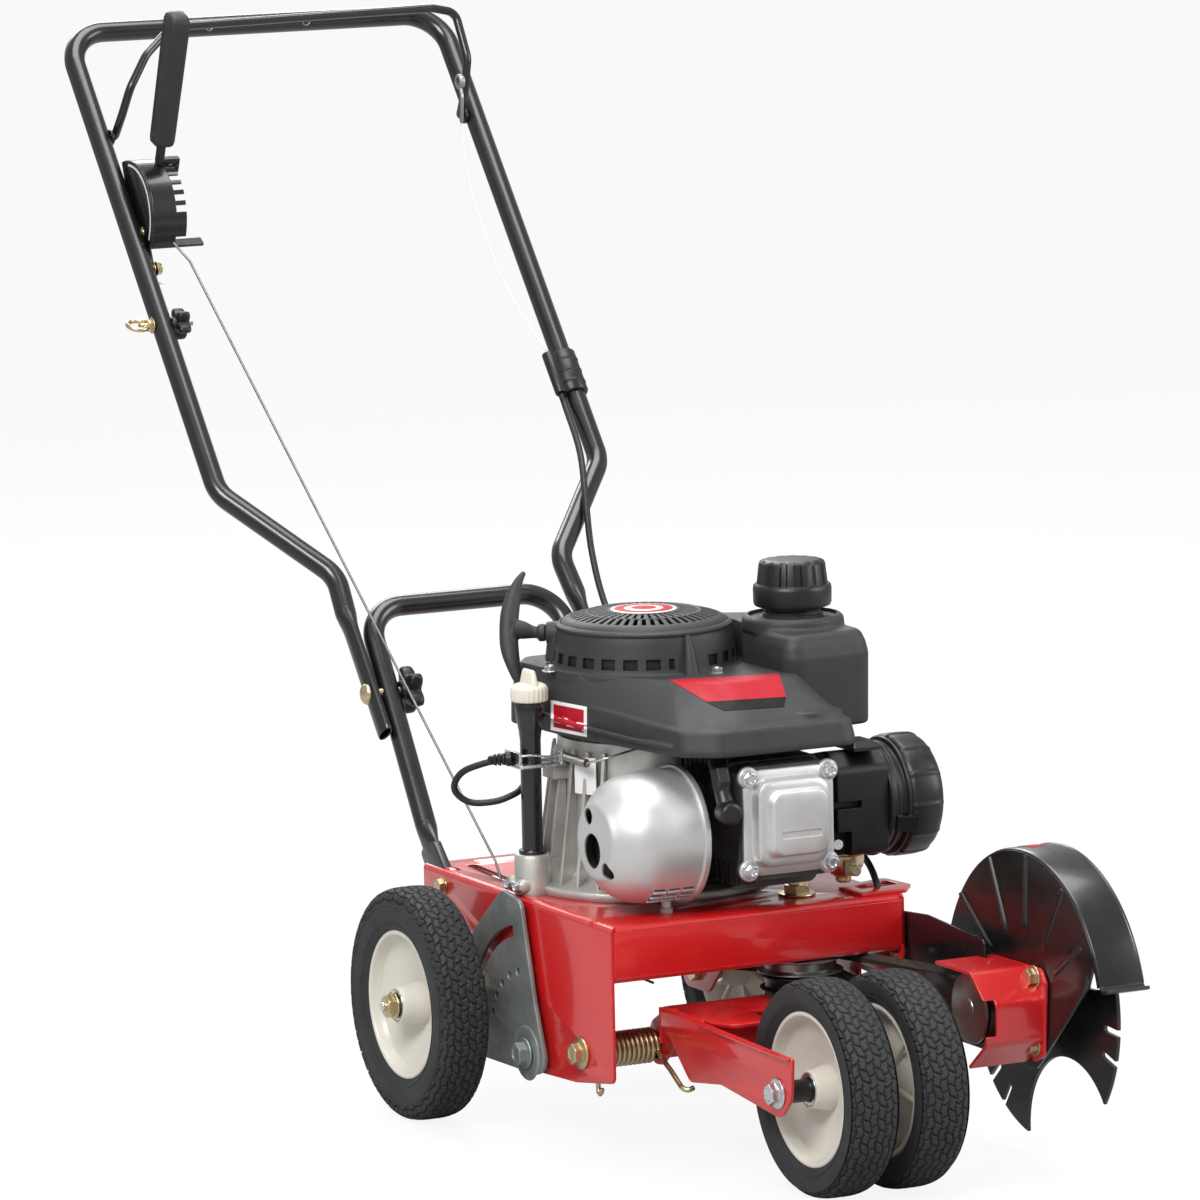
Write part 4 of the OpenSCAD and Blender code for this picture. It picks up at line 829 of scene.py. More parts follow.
piece("front_axle_parts", "bright_zinc", "front_bracket", [
    collar(6, -58, 110, "x", FRONT_AXLE, 40),
    *bolt(on(FRONT_AXLE, -55), NEAR, 9.2, 7.2, 2.6, 13, dish=0.8),
    *bolt(on(FRONT_AXLE, 100), FAR, 10, 8, 1.5, 12)], "front_axle", smooth=35)
piece("front_axle_spacers", "black_plastic", "front_bracket", [
    lathe([(6, x0), (9.2, x0), (9.5, x0 + 0.4), (9.5, x1 - 0.4), (9.2, x1), (6, x1)],
          "x", FRONT_AXLE, 48)
    for x0, x1 in ((-52, -27.2), (20.2, 24.8), (72.2, 97))], smooth=35)


# ---------------------------------------------------------------- deck
SHEET, BEND_R = 3, 5.0
DECK_Z, DECK_NEAR, DECK_FAR, DECK_FRONT, DECK_REAR = 205.0, -111.0, 171.0, -266.5, 96.0
REAR_FAR = 111             # far side of the narrower rear part
BEND_Z = DECK_Z - BEND_R


def bend(axis, low, high, centre, start, end, n=8):
    """Folded edge: an arc of sheet about a centre in the plane across the axis."""
    angles = [radians(start + (end - start) * k / n) for k in range(n + 1)]
    arc = [(BEND_R, a) for a in angles] + [(BEND_R - SHEET, a) for a in reversed(angles)]
    points = [(centre[0] + r * cos(a), centre[1] + r * sin(a)) for r, a in arc]
    return rings([[place(axis, (0, 0, 0), p[0], p[1], h) for p in points]
                  for h in (low, high)])


near_x, far_x, rear_far_x = DECK_NEAR + BEND_R, DECK_FAR - BEND_R, REAR_FAR - BEND_R
front_y, rear_y = DECK_FRONT + BEND_R, DECK_REAR - BEND_R
WIRE_SLOT = (-84 - 2.7, 18 - 38, -84 + 2.7, 18 + 38)  # end centres
plate("deck_top", "red_paint", "chassis", "z", DECK_Z - SHEET, DECK_Z,
      [(near_x, front_y), (far_x, front_y), (far_x, -127), (rear_far_x, -90),
       (rear_far_x, rear_y), (near_x, rear_y)],
      holes=[slot(*WIRE_SLOT, 4.5), circle(FAN_X, FAN_Y, 22), circle(93, -218, 6),
             circle(60, -178, 5),
             rounded([(-105.9, 45, 1), (-98, 45, 2), (-98, 93, 2), (-105.9, 93, 1)]),
             rounded([(98, 45, 2), (105.9, 45, 1), (105.9, 93, 1), (98, 93, 2)])],
      edge=0.25, steps=1, replaces="deck", smooth=30)
plate("deck_near_wall", "red_paint", "chassis", "x", DECK_NEAR, DECK_NEAR + SHEET,
      rounded([(DECK_FRONT, 200, 0), (DECK_FRONT, 71, 7), (-196, 60, 20), (-120, 56, 14),
               (-70, 62, 20), (-20, 128, 20), (30, 140, 10), (60, 152, 10),
               (DECK_REAR, 178, 8), (DECK_REAR, 200, 0)], 6),
      holes=[bore(REAR_AXLE, 6), bore(PIVOT, 8), bore(CURB, 6),
             *(circle(y, z, 4) for y, z in WALL_BOLTS), circle(-196, 80, 3.2)])
plate("deck_far_wall", "red_paint", "chassis", "x", DECK_FAR - SHEET, DECK_FAR,
      rounded([(DECK_FRONT, 200, 0), (DECK_FRONT, 149, 4), (-250, 132, 8), (-150, 132, 8),
               (-125, 160, 6), (-125, 200, 0)], 6),
      holes=[circle(y, z, 4) for y, z in SUPPORT_BOLTS])
plate("deck_rear_far_wall", "red_paint", "chassis", "x", REAR_FAR - SHEET, REAR_FAR,
      rounded([(-88, 200, 0), (-88, 150, 8), (-22, 84, 12), (22, 84, 12), (50, 150, 10),
               (DECK_REAR, 178, 8), (DECK_REAR, 200, 0)], 6),
      holes=[*(circle(y, z, 4) for y, z in WALL_BOLTS), bore(REAR_AXLE, 6)])
plate("deck_front_wall", "red_paint", "chassis", "y", DECK_FRONT, DECK_FRONT + SHEET,
      rounded([(200, DECK_NEAR + 3.2, 0), (200, DECK_FAR, 0), (161, DECK_FAR, 2),
               (161, DECK_NEAR + 3.2, 2)]), edge=0.4)
plate("deck_rear_wall", "red_paint", "chassis", "y", DECK_REAR - SHEET, DECK_REAR,
      [(200, DECK_NEAR + 3), (200, 108), (187, 108), (187, DECK_NEAR + 3)], edge=0.4)
plate("deck_hanger", "red_paint", "chassis", "x", 140, 143,
      rounded([(-240, 202, 0), (-240, 130, 8), (-226, 72, 14), (-190, 72, 14),
               (-176, 130, 8), (-176, 202, 0)], 6),
      holes=[bore(PIVOT, 8), circle(-223.5, 181.5, 6)])
piece("deck_bends", "red_paint", "chassis", [
    bend("y", DECK_FRONT, DECK_REAR, (BEND_Z, near_x), -90, 0),
    bend("x", DECK_NEAR + 4.5, DECK_FAR, (front_y, BEND_Z), 180, 90),
    bend("x", DECK_NEAR + 3, 108, (rear_y, BEND_Z), 90, 0),
    bend("y", -88, DECK_REAR, (BEND_Z, rear_far_x), 90, 0),
    bend("y", DECK_FRONT, -125, (BEND_Z, far_x), 90, 0),
    # lower lip of the front wall, turned inwards
    bend("x", DECK_NEAR + 3.2, DECK_FAR - 3, (front_y, 161), 180, 270),
    box((DECK_NEAR + 3.2, front_y, 156), (DECK_FAR - 3, DECK_FRONT + 16, 159)),
    # diagonal between the far walls of the wide and narrow parts
    hull([(x, y, z) for x, y in ((DECK_FAR, -125), (DECK_FAR - 3, -127), (111, -88), (108, -90))
          for z in (165, 203)])], smooth=30, bevel=0.25, segs=1)
# swellings pressed along the near folded edge
piece("deck_stampings", "red_paint", "chassis", [
    ellipsoid(-108.6, -231, 203.0, 3.2, 5.5, 3.0), ellipsoid(-107.0, -231, 204.4, 5.0, 3.0, 1.6),
    ellipsoid(-103, 62, 204.2, 5, 16, 1.6)], smooth=60)
# raised tab with its slot
plate("deck_tab", "red_paint", "chassis", "z", DECK_Z - 0.4, DECK_Z + 3,
      rounded([(133, -262, 4), (133, -216, 5), (186, -204, 6), (191, -243, 6),
               (176, -262, 6)], 6),
      holes=[rounded([(144, -242, 4), (144, -226, 4), (180, -217, 4), (183, -236, 4)])],
      edge=0.8)
plate("deck_tab_liner", "galvanised", "chassis", "z", DECK_Z - 3.2, DECK_Z - 0.5,
      rounded([(143, -243, 4), (143, -225, 4), (181, -216, 4), (184, -237, 4)]), edge=0.2)
plate("deck_label", "decal_white", "chassis", "z", DECK_Z, DECK_Z + 0.35,
      rounded([(-70, 62, 2), (-28, 62, 2), (-28, 80, 2), (-70, 80, 2)], 4), edge=0.1)
piece("deck_slot_edge", "black_plastic", "chassis", [
    tube([(x, y, DECK_Z - 0.2) for x, y in slot(*WIRE_SLOT, 4.9, 12)], 0.7, 8, closed=True)],
    smooth=60)


def deck_bolts():
    shapes = []
    for s in (-1, 1):
        for y, z in WALL_BOLTS:
            shapes += bolt((s * 111, y, z), (s, 0, 0), 7, 5.2, 1.0, 8.6, shank=(4, 12))
    shapes += bolt((93, -218, DECK_Z), UP, 12.2, 7.4, 2.2, 16.2)
    shapes += bolt((93, -218, DECK_Z + 7.5), UP, 8.2, 9.4, 1.4, 9.6, spin=0.3)
    for y, z in GUARD_BOLTS:
        shapes += bolt((186.4, y, z), NEAR, 7.6, 6.4, 1.6, 10.4, shank=(4, 1), dish=0.7)
        shapes.append(stand(collar(4, 0, 16, "z", (0, 0, 0), 24), (180, y, z), FAR))
        shapes += bolt((193, y, z), FAR, 7, 5)
    for y, z in SUPPORT_BOLTS:
        shapes += bolt((176, y, z), FAR, 7, 8, shank=(4, 12))
    return shapes


piece("deck_bolts", "yellow_zinc", "chassis", deck_bolts(), "fasteners", smooth=35)
piece("bracket_pivot_parts", "yellow_zinc", "chassis", [
    collar(8, -112, 150, "x", PIVOT, 40),
    *bolt(on(PIVOT, -111), NEAR, 9.4, 7.6, 3.2, 14, dish=0.9),
    collar(11, 100.2, 140, "x", PIVOT, 40, inner=8),
    *bolt(on(PIVOT, 143), FAR, 11, 8)], "bracket_pivot", smooth=35)

# ---------------------------------------------------------------- curb plate
CURB_SLOT_R, CURB_SLOT_HALF = 105, 5.2
CURB_HOLES_R, FIRST_CURB_HOLE = 70, 21.2
slot_angles = range(16, 79, 2)
arc_slot = [polar(CURB, CURB_SLOT_R + CURB_SLOT_HALF, a) for a in slot_angles]
arc_slot += [polar(CURB, CURB_SLOT_R - CURB_SLOT_HALF, a) for a in reversed(slot_angles)]
plate("curb_plate_sheet", "galvanised", "curb_arm", "x", -120, -116,
      rounded([(-78, 209, 11), (-113, 204, 11), (-137, 118, 25), (-157, 66, 14),
               (-138, 57, 10), (-36, 55, 12), (-4, 84, 10), (22, 92, 14), (20, 122, 14),
               (-14, 126, 10), (-14, 158, 18), (-40, 180, 20)], 7),
      holes=[arc_slot, bore(REAR_AXLE, 6, 24), bore(CURB, 6, 24)]
      + [circle(*polar(CURB, CURB_HOLES_R, a), 3.6, 20)
         for a in (FIRST_CURB_HOLE, 35.3, 49.5, 63.7, 78)],
      edge=0.7, replaces="curb_plate")
# raised ring round the pivot
piece("curb_plate_relief", "galvanised", "curb_arm", [
    lathe([(13.2, -119.9), (24, -119.9), (23.4, -120.6), (22.0, -121.1), (14.4, -121.1),
           (13.2, -120.8)], "x", CURB, 72)])
slot_bolt = (0, *polar(CURB, CURB_SLOT_R, 18))
stop_pin = (0, *polar(CURB, CURB_HOLES_R, FIRST_CURB_HOLE))
piece("curb_pivot_parts", "galvanised", "chassis", [
    collar(6, -126, -100, "x", CURB, 40),
    *bolt(on(CURB, -121.2), NEAR, 10, 8.0, 2.6, 13.4, dish=1.0),
    collar(13, -115.9, -111, "x", CURB, 40, inner=6),
    *bolt(on(slot_bolt, -120.2), NEAR, 7.5, 4.6, 1.2, 9.2, shank=(4, 16)),
    collar(7, -115.8, -111, "x", slot_bolt, 32, inner=4),
    lathe([(CORE, -116.2), (2.6, -116.2), (3, -115.6), (3, -104), (CORE, -104)],
          "x", stop_pin, 24),
    *bolt(on(CURB, -108), FAR, 10, 6)], "curb_pivot", smooth=35)

# ---------------------------------------------------------------- front bracket
plate("bracket_near_arm", "red_paint", "front_bracket", "x", -55, -52,
      rounded([(-247, 124, 0), (-318, 127, 10), (-480, 124, 3), (-477, 88, 18),
               (FRONT_Y - 4, 70, 18), (-354, 80, 30), (-298, 72, 12), (-263, 102, 12),
               (-247, 110, 4)], 7),
      holes=[bore(FRONT_AXLE, 6)], edge=0.6, replaces="front_bracket")
plate("bracket_far_arm", "red_paint", "front_bracket", "x", 97, 100,
      rounded([(-285, 98, 6), (-318, 124, 14), (-480, 124, 3), (-477, 88, 18),
               (FRONT_Y - 4, 70, 18), (-354, 76, 30), (-296, 70, 14), (-206, 70, 14),
               (-190, PIVOT[2], 12), (-200, 100, 10)], 7),
      holes=[bore(PIVOT, 8), bore(FRONT_AXLE, 6)], edge=0.6)
plate("bracket_top", "red_paint", "front_bracket", "z", 125, 128,
      rounded([(-50, -246, 0), (44, -246, 0), (44, -346, 8), (-38, -350, 10),
               (-50, -324, 2)]),
      holes=[circle(-5, -268, 5),
             rounded([(0, -335, 6), (0, -302, 6), (30, -302, 6), (30, -335, 6)], 6)],
      edge=0.4)
plate("bracket_inner_arm", "red_paint", "front_bracket", "x", 41, 44,
      rounded([(-243, 126, 0), (-243, 96, 0), (-222, 96, 6), (-222, 84, 4), (-346, 76, 8),
               (-346, 126, 4)]))
plate("bracket_web", "red_paint", "front_bracket", "x", -41.5, -38.5,
      rounded([(-245, 125.4, 0), (-245, 92, 10), (-222, 72, 8), (-206, 70, 14),
               (-190, PIVOT[2], 14), (-204, 108, 12), (-236, 125.4, 2)], 6),
      holes=[bore(PIVOT, 8.05)])
piece("bracket_bends", "red_paint", "front_bracket", [
    bend("y", -318, -246, (123, -50), -90, 0),
    box((-55, -246, 96), (44, -243, 127)),
    box((44, -345, 76), (97, -318, 79)),
    lathe([(8.05, -41.5), (12.6, -41.5), (13, -41.1), (13, 96.5), (12.6, 96.9),
           (8.05, 96.9)], "x", PIVOT, 56),
    # stiffening flange along the top of the near arm
    hull([(x, y, z + dz) for y, z in ((-318, 126.4), (-478, 123.6)) for dz in (0, -1.8)
          for x in (-58.6, -52)])], bevel=0.8, smooth=35)
piece("bracket_dimples", "red_paint", "front_bracket", [
    ellipsoid(-49, -262, 127.2, 3.2, 4.4, 2.0),
    ellipsoid(-5, -268, 126.6, 8.5, 8.5, 1.9)], smooth=60)


def torsion_spring():
    coil_r, turns, per_turn = 13.2, 13, 36
    _, y, z = PIVOT
    path = [(-105, y - 24, 60.5), (-105, y - 23.4, 57.4), (-105, y - 20.8, 55.4),
            (-105, y - 18, 56.5), (-105, y - 17.6, 62)]
    steps = turns * per_turn
    # the last coil point gives way to the tail
    path += [(-104.5 + 59.5 * i / steps, *polar(PIVOT, coil_r, 190 + i * 360 / per_turn))
             for i in range(steps)]
    tail = curve([(-45.2, y - 13.6, z - 3), (-46.5, y - 20, z - 6), (-50, y - 30, z - 5),
                  (-57.4, -256, 83), (-57.9, -270, 77), (-58, -285, 68.5),
                  (-57.8, -291, 66), (-55, -295, 65), (-50, -295.4, 66.5)], 8)
    return tube(path + tail, 2.2, 14)


piece("torsion_spring", "yellow_zinc",
      ("chassis", "front_bracket", on(PIVOT, -104), on(PIVOT, -60)),
      [torsion_spring()], "return_spring", smooth=60)

# ---------------------------------------------------------------- engine shroud
# rounded corners of the foot and of the flat top: x, y, radius
SHROUD_FOOT = [(-66, -26, 14), (-56, -12, 14), (78, -2, 18), (112, -60, 14), (104, -278, 14),
               (-12, -279, 13), (-30, -262, 14), (-62, -120, 12)]
SHROUD_TOP = [(-60, -34, 14), (-50, -20, 14), (60, -16, 16), (90, -90, 14), (80, -222, 14),
              (20, -226, 14), (-52, -120, 14)]
SHROUD_Z, SHROUD_TOP_Z = 343.0, 394.0


def half_hull(points):
    out = []
    for p in points:
        while len(out) >= 2 and ((out[-1][0] - out[-2][0]) * (p[1] - out[-2][1])
                                 - (out[-1][1] - out[-2][1]) * (p[0] - out[-2][0])) <= 0:
            out.pop()
        out.append(p)
    return out[:-1]


def outline_by_angle(discs, cx=10.0, cy=-140.0, n=160):
    """Convex outline of the discs, met by n rays from a centre."""
    points = sorted({p for x, y, radius in discs for p in circle(x, y, radius, 64)})
    outline = half_hull(points) + half_hull(points[::-1])
    out = []
    for j in range(n):
        dx, dy = cos(2 * pi * j / n), sin(2 * pi * j / n)
        best = None
        for (ax, ay), (bx, by) in zip(outline, outline[1:] + outline[:1]):
            x1, y1, x2, y2 = ax - cx, ay - cy, bx - cx, by - cy
            ex, ey = x2 - x1, y2 - y1
            den = dx * ey - dy * ex
            if abs(den) < 1e-9:
                continue
            reach = (x1 * ey - y1 * ex) / den
            share = (x1 * dy - y1 * dx) / den
            if reach > 0 and -1e-6 <= share <= 1 + 1e-6 and (best is None or reach > best):
                best = reach
        out.append((cx + dx * best, cy + dy * best))
    return out


def engine_shroud():
    foot, top = outline_by_angle(SHROUD_FOOT), outline_by_angle(SHROUD_TOP)
    # height of the shoulder: lower at the front
    shoulder = [lerp(374, 366, smoothstep(-120, -280, y)) for _, y in foot]
    middle = (10.0, -120.0)

    def loop(share, heights):
        """Loop a share of the way from the foot outline to the top outline."""
        return [(lerp(p[0], q[0], share), lerp(p[1], q[1], share), z)
                for p, q, z in zip(foot, top, heights)]

    def level(z):
        return [z] * len(foot)

    loops = [loop(0.012, level(SHROUD_Z)), loop(0.0, level(SHROUD_Z + 0.8)),
             loop(0.0, level(SHROUD_Z + 5.0))]
    for k in range(7):
        f = k / 6
        loops.append(loop(0.06 * f, [lerp(SHROUD_Z + 5.0, h - 3.5, f) for h in shoulder]))
    for k in range(1, 6):
        a = pi / 2 * k / 5
        loops.append(loop(0.06 + 0.13 * (1 - cos(a)), [h - 3.5 + 3.5 * sin(a)
                                                       for h in shoulder]))
    for k in range(1, 9):
        f = k / 8
        loops.append(loop(0.19 + 0.74 * f, [lerp(h, SHROUD_TOP_Z, f ** 0.92)
                                            for h in shoulder]))
    for k in range(1, 5):
        a = pi / 2 * k / 4
        loops.append(loop(0.93 + 0.10 * sin(a), level(SHROUD_TOP_Z + 3.2 * sin(a))))
    loops.append([(lerp(p[0], middle[0], 0.4), lerp(p[1], middle[1], 0.4), 397.4)
                  for p in loops[-1]])
    ridge = curve([(-80.5, -40, 361), (-78, -120, 357.5), (-62, -200, 353),
                   (-46, -258, 350.5)], 8)
    # two overlapping blocks raised at the far front corner
    far_block = hull(disc(80, -262, 345, 20) + disc(80, -262, 372, 19) + disc(78, -232, 378, 18)
                     + disc(104, -262, 345, 14) + disc(102, -258, 370, 14))
    low_block = hull(disc(98, -274, 343, 14) + disc(98, -274, 358, 13)
                     + disc(112, -240, 343, 10) + disc(110, -240, 358, 10))
    groove = hull([(-100, -112, 364.5), (-100, -112, 359), (-100, -236, 360),
                   (-100, -236, 354.5), (-79.2, -112, 365.5), (-79.2, -112, 359.5),
                   (-52.0, -236, 361.5), (-52.0, -236, 355.5)])
    underside = rings([[(lerp(p[0], middle[0], 0.045), lerp(p[1], middle[1], 0.045), z)
                        for p in foot] for z in (338, 348)])
    fan_bore = collar(84.2, 340, 420, "z", FAN, 96)
    piece("engine_shroud_shell", "shroud_plastic", "chassis",
          [rings(loops), tube(ridge, 2.4, 12), far_block, low_block], "engine_shroud",
          melt=(1.15, 5), cuts=[[groove], [underside], [fan_bore]], smooth=50)


engine_shroud()
shroud_screws = []
for angle, radius, z in ((286, 90, 396.6), (176, 88, 396.4), (70, 88, 396.4)):
    shroud_screws += bolt(around(angle, radius, z), UP, 5.6, 4.2, 1.0, 7.6, dish=0.8)
piece("shroud_screws", "bright_zinc", "chassis", shroud_screws, smooth=35)

# ---------------------------------------------------------------- recoil cover
CROWN_Z = 444.0
# radius, height from the foot up to the middle of the crown
RECOIL_PROFILE = [
    (84, 386.0), (84.2, 395.5), (83.6, 397.0), (81.6, 397.8), (80.6, 398.4), (80.0, 399.6),
    (79.6, 402), (79.2, 404), (78.3, 411), (78.0, 413), (76.6, 422.5), (75.6, 427.0),
    (73.6, 431.6), (71.0, 435.2), (68.6, 437.2), (67.0, 437.9), (64, 438.9), (60, 439.9),
    (55, 441.2), (50.5, 442.0), (49.5, 442.6), (48.5, 442.6), (47.5, 442.1), (44, 442.5),
    (38, 442.9), (33, 443.2), (31.6, 443.8), (29, CROWN_Z), (CORE, CROWN_Z)]


def is_slot(r, z, a):
    """Open faces: two rings of slots in the crown and one round the wall."""
    if 32 < r < 46.0:
        return a % 9.0 > 5.2
    if 50.0 < r < 65.5:
        return a % 7.2 > 4.0
    if 76.5 < r < 82 and 401.0 < z < 411.5:
        return (a + 6) % 14.4 > 5.2 and not 262 < a < 282 and not 140 < a < 160
    return False


def recoil_cover():
    """Domed crown: a turned skin without its slot faces, then thickened."""
    segs = 400
    verts, faces = rings(revolve(RECOIL_PROFILE, "z", FAN, segs), caps=False)
    kept = []
    for i, ((r0, z0), (r1, z1)) in enumerate(zip(RECOIL_PROFILE, RECOIL_PROFILE[1:])):
        kept += [faces[i * segs + j] for j in range(segs)
                 if not is_slot((r0 + r1) / 2, (z0 + z1) / 2, 360.0 * (j + 0.5) / segs)]
    obj = raw("recoil_cover_shell", verts, kept)
    bm = bmesh.new()
    bm.from_mesh(obj.data)
    bmesh.ops.delete(bm, geom=[v for v in bm.verts if not v.link_faces], context="VERTS")
    bmesh.ops.recalc_face_normals(bm, faces=bm.faces)
    if sum(f.normal.z for f in bm.faces) < 0:
        bmesh.ops.reverse_faces(bm, faces=bm.faces)
    bm.to_mesh(obj.data)
    bm.free()
    thick = obj.modifiers.new("thick", "SOLIDIFY")
    thick.thickness = 2.0 * MM
    thick.offset = -1
    thick.use_even_offset = True
    apply_modifiers(obj)
    finish(obj, "shroud_plastic", "chassis", "recoil_cover", smooth=40, bevel=0.35, angle=50)


recoil_cover()
boss = around(272, 82, 397)
boss_out = (cos(radians(272)), sin(radians(272)))
# rim ring round the crown, front boss, and the cord outlet with its housing
piece("recoil_details", "shroud_plastic", "chassis", [
    lathe([(73.4, 431.6), (74.6, 430.2), (75.9, 429.6), (76.2, 431.8), (74.4, 433.6),
           (72.4, 434.2)], "z", FAN, 160),
    hull(disc(*boss, 7.5)
         + disc(boss[0] - 1.0 * boss_out[0], boss[1] - 3.5 * boss_out[1], 418, 4.5)
         + disc(*around(272, 76, 430), 2.5)),
    stand(lathe([(5.2, 0), (9.8, 0), (9.6, 8.8), (8.8, 10.4), (5.2, 10.4)],
                "z", (0, 0, 0), 40), CORD_START + CORD_DIR * 74, CORD_DIR),
    hull([p for out, z, radius in ((74, 400, 12), (72, 424, 11), (69, 432, 8))
          for p in disc(FAN_X + out * CORD_DIR.x, FAN_Y + out * CORD_DIR.y, z, radius)])],
    bevel=0.5)
# round blank badge on the crown: radius, height
for name, radius, z, look in (
        ("badge_border", 28.6, CROWN_Z, "decal_white"),
        ("badge_field", 25.4, CROWN_Z + 0.28, "decal_red"),
        ("badge_ring", 17.0, CROWN_Z + 0.5, "decal_white"),
        ("badge_core", 11.0, CROWN_Z + 0.7, "decal_red")):
    piece(name, look, "chassis", [
        lathe([(CORE, z - 0.3), (radius, z - 0.3), (radius, z + 0.15),
               (radius - 0.3, z + 0.28), (CORE, z + 0.3)], "z", FAN, 96)])
# Painted shade: a black disc and ring inside the recoil cover stand for the dark interior seen
# through its slots.
piece("recoil_shade_liner", "dark_seal_and_shade", "chassis", [
    collar(77.5, 398.5, 399.5, "z", FAN, 80),
    lathe([(75.6, 399.5), (76.2, 399.5), (75.2, 424), (74.6, 424)], "z", FAN, 80)])

# ---------------------------------------------------------------- fuel tank
TANK_X, TANK_Y = 130, -150
TANK = (TANK_X, TANK_Y, 0)  # upright axis of the filler neck
tank_points = []
for x, y in ((101, -208), (156, -204), (160, -96), (101, -60)):
    tank_points += disc(x, y, 348, 15) + disc(x, y, 346.5, 13) + disc(x, y, 408, 16)
    tank_points += disc(x * 0.99 + 1, y * 0.985 - 2, 418, 14.5)
    tank_points += disc(x * 0.98 + 2, y * 0.97 - 4, 425, 12)
    tank_points += disc(x * 0.97 + 3, y * 0.96 - 5, 428, 9)
neck_base = [p for z, radius in ((424, 45), (434, 44), (437, 41))
             for p in disc(TANK_X, TANK_Y, z, radius, 48)]
piece("fuel_tank_body", "shroud_plastic", "chassis", [
    hull(tank_points), hull(neck_base),
    lathe([(CORE, 430), (24, 430), (24, 450), (23, 452), (CORE, 452)], "z", TANK, 64)],
    "fuel_tank", melt=(1.2, 7), smooth=45,
    cuts=[[collar(84.8, 340, 470, "z", FAN, 96)],
          [collar(38.5, 434.2, 460, "z", TANK, 72, inner=26),
           collar(19, 430, 470, "z", TANK, 48)]])
piece("tank_neck_thread", "black_plastic", "chassis", [
    tube([(TANK_X + 24.6 * cos(radians(a)), TANK_Y + 24.6 * sin(radians(a)),
           438 + a / 360 * 4.2) for a in range(0, 1080, 12)], 0.9, 8)], smooth=50)


def cap_lobes(radius, a):
    k = (a / (2 * pi) * 14) % 1.0
    lobe = smoothstep(0.0, 0.07, k) * (1 - smoothstep(0.55, 0.62, k))
    return radius + 2.6 * lobe * smoothstep(20, 26, radius)


piece("fuel_cap_body", "black_plastic", "fuel_cap", [
    rings(revolve([(CORE, 484), (21, 484), (23.5, 483.6), (25.2, 482.4), (26.2, 480.5),
                   (28.2, 463.5), (28.4, 462.5)], "z", TANK, 240, cap_lobes), caps=False),
    lathe([(27, 463.2), (32.2, 463.2), (33.4, 462), (34, 459), (33.8, 447), (32.8, 444.6),
           (31.5, 444), (27, 444)], "z", TANK, 120),
    collar(28.5, 463, 461.5, "z", TANK, 80),
    collar(18.9, 449, 462, "z", TANK, 80, inner=16),
    lathe([(12.4, 483.9), (13.2, 484.0), (13.2, 483.2), (12.4, 483.2)], "z", TANK, 60)],
    "fuel_cap", smooth=38)
piece("cap_tether", "liner_white", "chassis", [
    tube(curve([(152, -134, 437), (162, -128, 442), (170, -132, 447), (168, -141, 449),
                (162, -146, 447)], 12), 0.9, 10)], smooth=60)


# ---------------------------------------------------------------- muffler
def louvres(x0, x1, y0, y1, z0, z1):
    """Nine blocks set in three rows round the muffler, three to a row."""
    return [moved(turn_x(box((x0 + j * 13.5, y0, z0), (x1 + j * 13.5, y1, z1)),
                         225 + i * 8.5), MUFFLER) for i in range(3) for j in range(3)]


# radius, x along the outside and back along the inside
MUFFLER_PROFILE = [
    (CORE, -102.2), (29.5, -102.2), (31.4, -101.9), (33.0, -100.9), (34.4, -99.4),
    (38.6, -95.6), (44, -90.6), (48.6, -85.0), (52.0, -78.6), (54.4, -71), (55.7, -62),
    (56.2, -52), (56.2, -28), (56.5, -25.2), (57.4, -23.8), (58.0, -23.0), (58.2, -21.8),
    (57.8, -21.0), (54.5, -21.0), (54.5, -52), (53.6, -64), (50.6, -76), (46, -84.6),
    (36.5, -94), (29, -100.4), (CORE, -100.4)]
piece("muffler_can", "muffler_steel", "chassis", [lathe(MUFFLER_PROFILE, "x", MUFFLER, 144)],
      "muffler",
      cuts=[[collar(r, -108, -90, "x", (0, MUFFLER[1] + dy, MUFFLER[2] + dz), 40)
             for dy, dz, r in ((4, -8, 15), (10, 21, 7.2), (-20, -22, 7.2))],
            louvres(-66, -55.5, 50, 62, -1.5, 1.5)],
      smooth=42, bevel=0.35, angle=40)
# rolled seam and the louvre lips
piece("muffler_seam", "muffler_steel", "chassis", [
    lathe([(56.3, -26.6), (58.9, -26.2), (59.3, -23.4), (58.8, -20.8), (55.8, -20.8)],
          "x", MUFFLER, 144), *louvres(-66.4, -55.1, 55.2, 57.6, 1.1, 2.6)], bevel=0.4)
piece("muffler_core", "head_black", "chassis", [
    lathe([(CORE, -95), (45, -82), (51, -60), (51, -24), (15, -23), (15, 3), (CORE, 3)],
          "x", MUFFLER, 72)])
piece("muffler_stay", "cast_alloy", "chassis", [
    lathe([(CORE, 205), (5.4, 205), (5.4, 209), (4.2, 210), (4.2, 221), (CORE, 221)],
          "z", (-40, -232, 0), 28)])

# ---------------------------------------------------------------- valve cover
COVER_X, COVER_Z, COVER_Y = 48.0, 284.0, -287.0
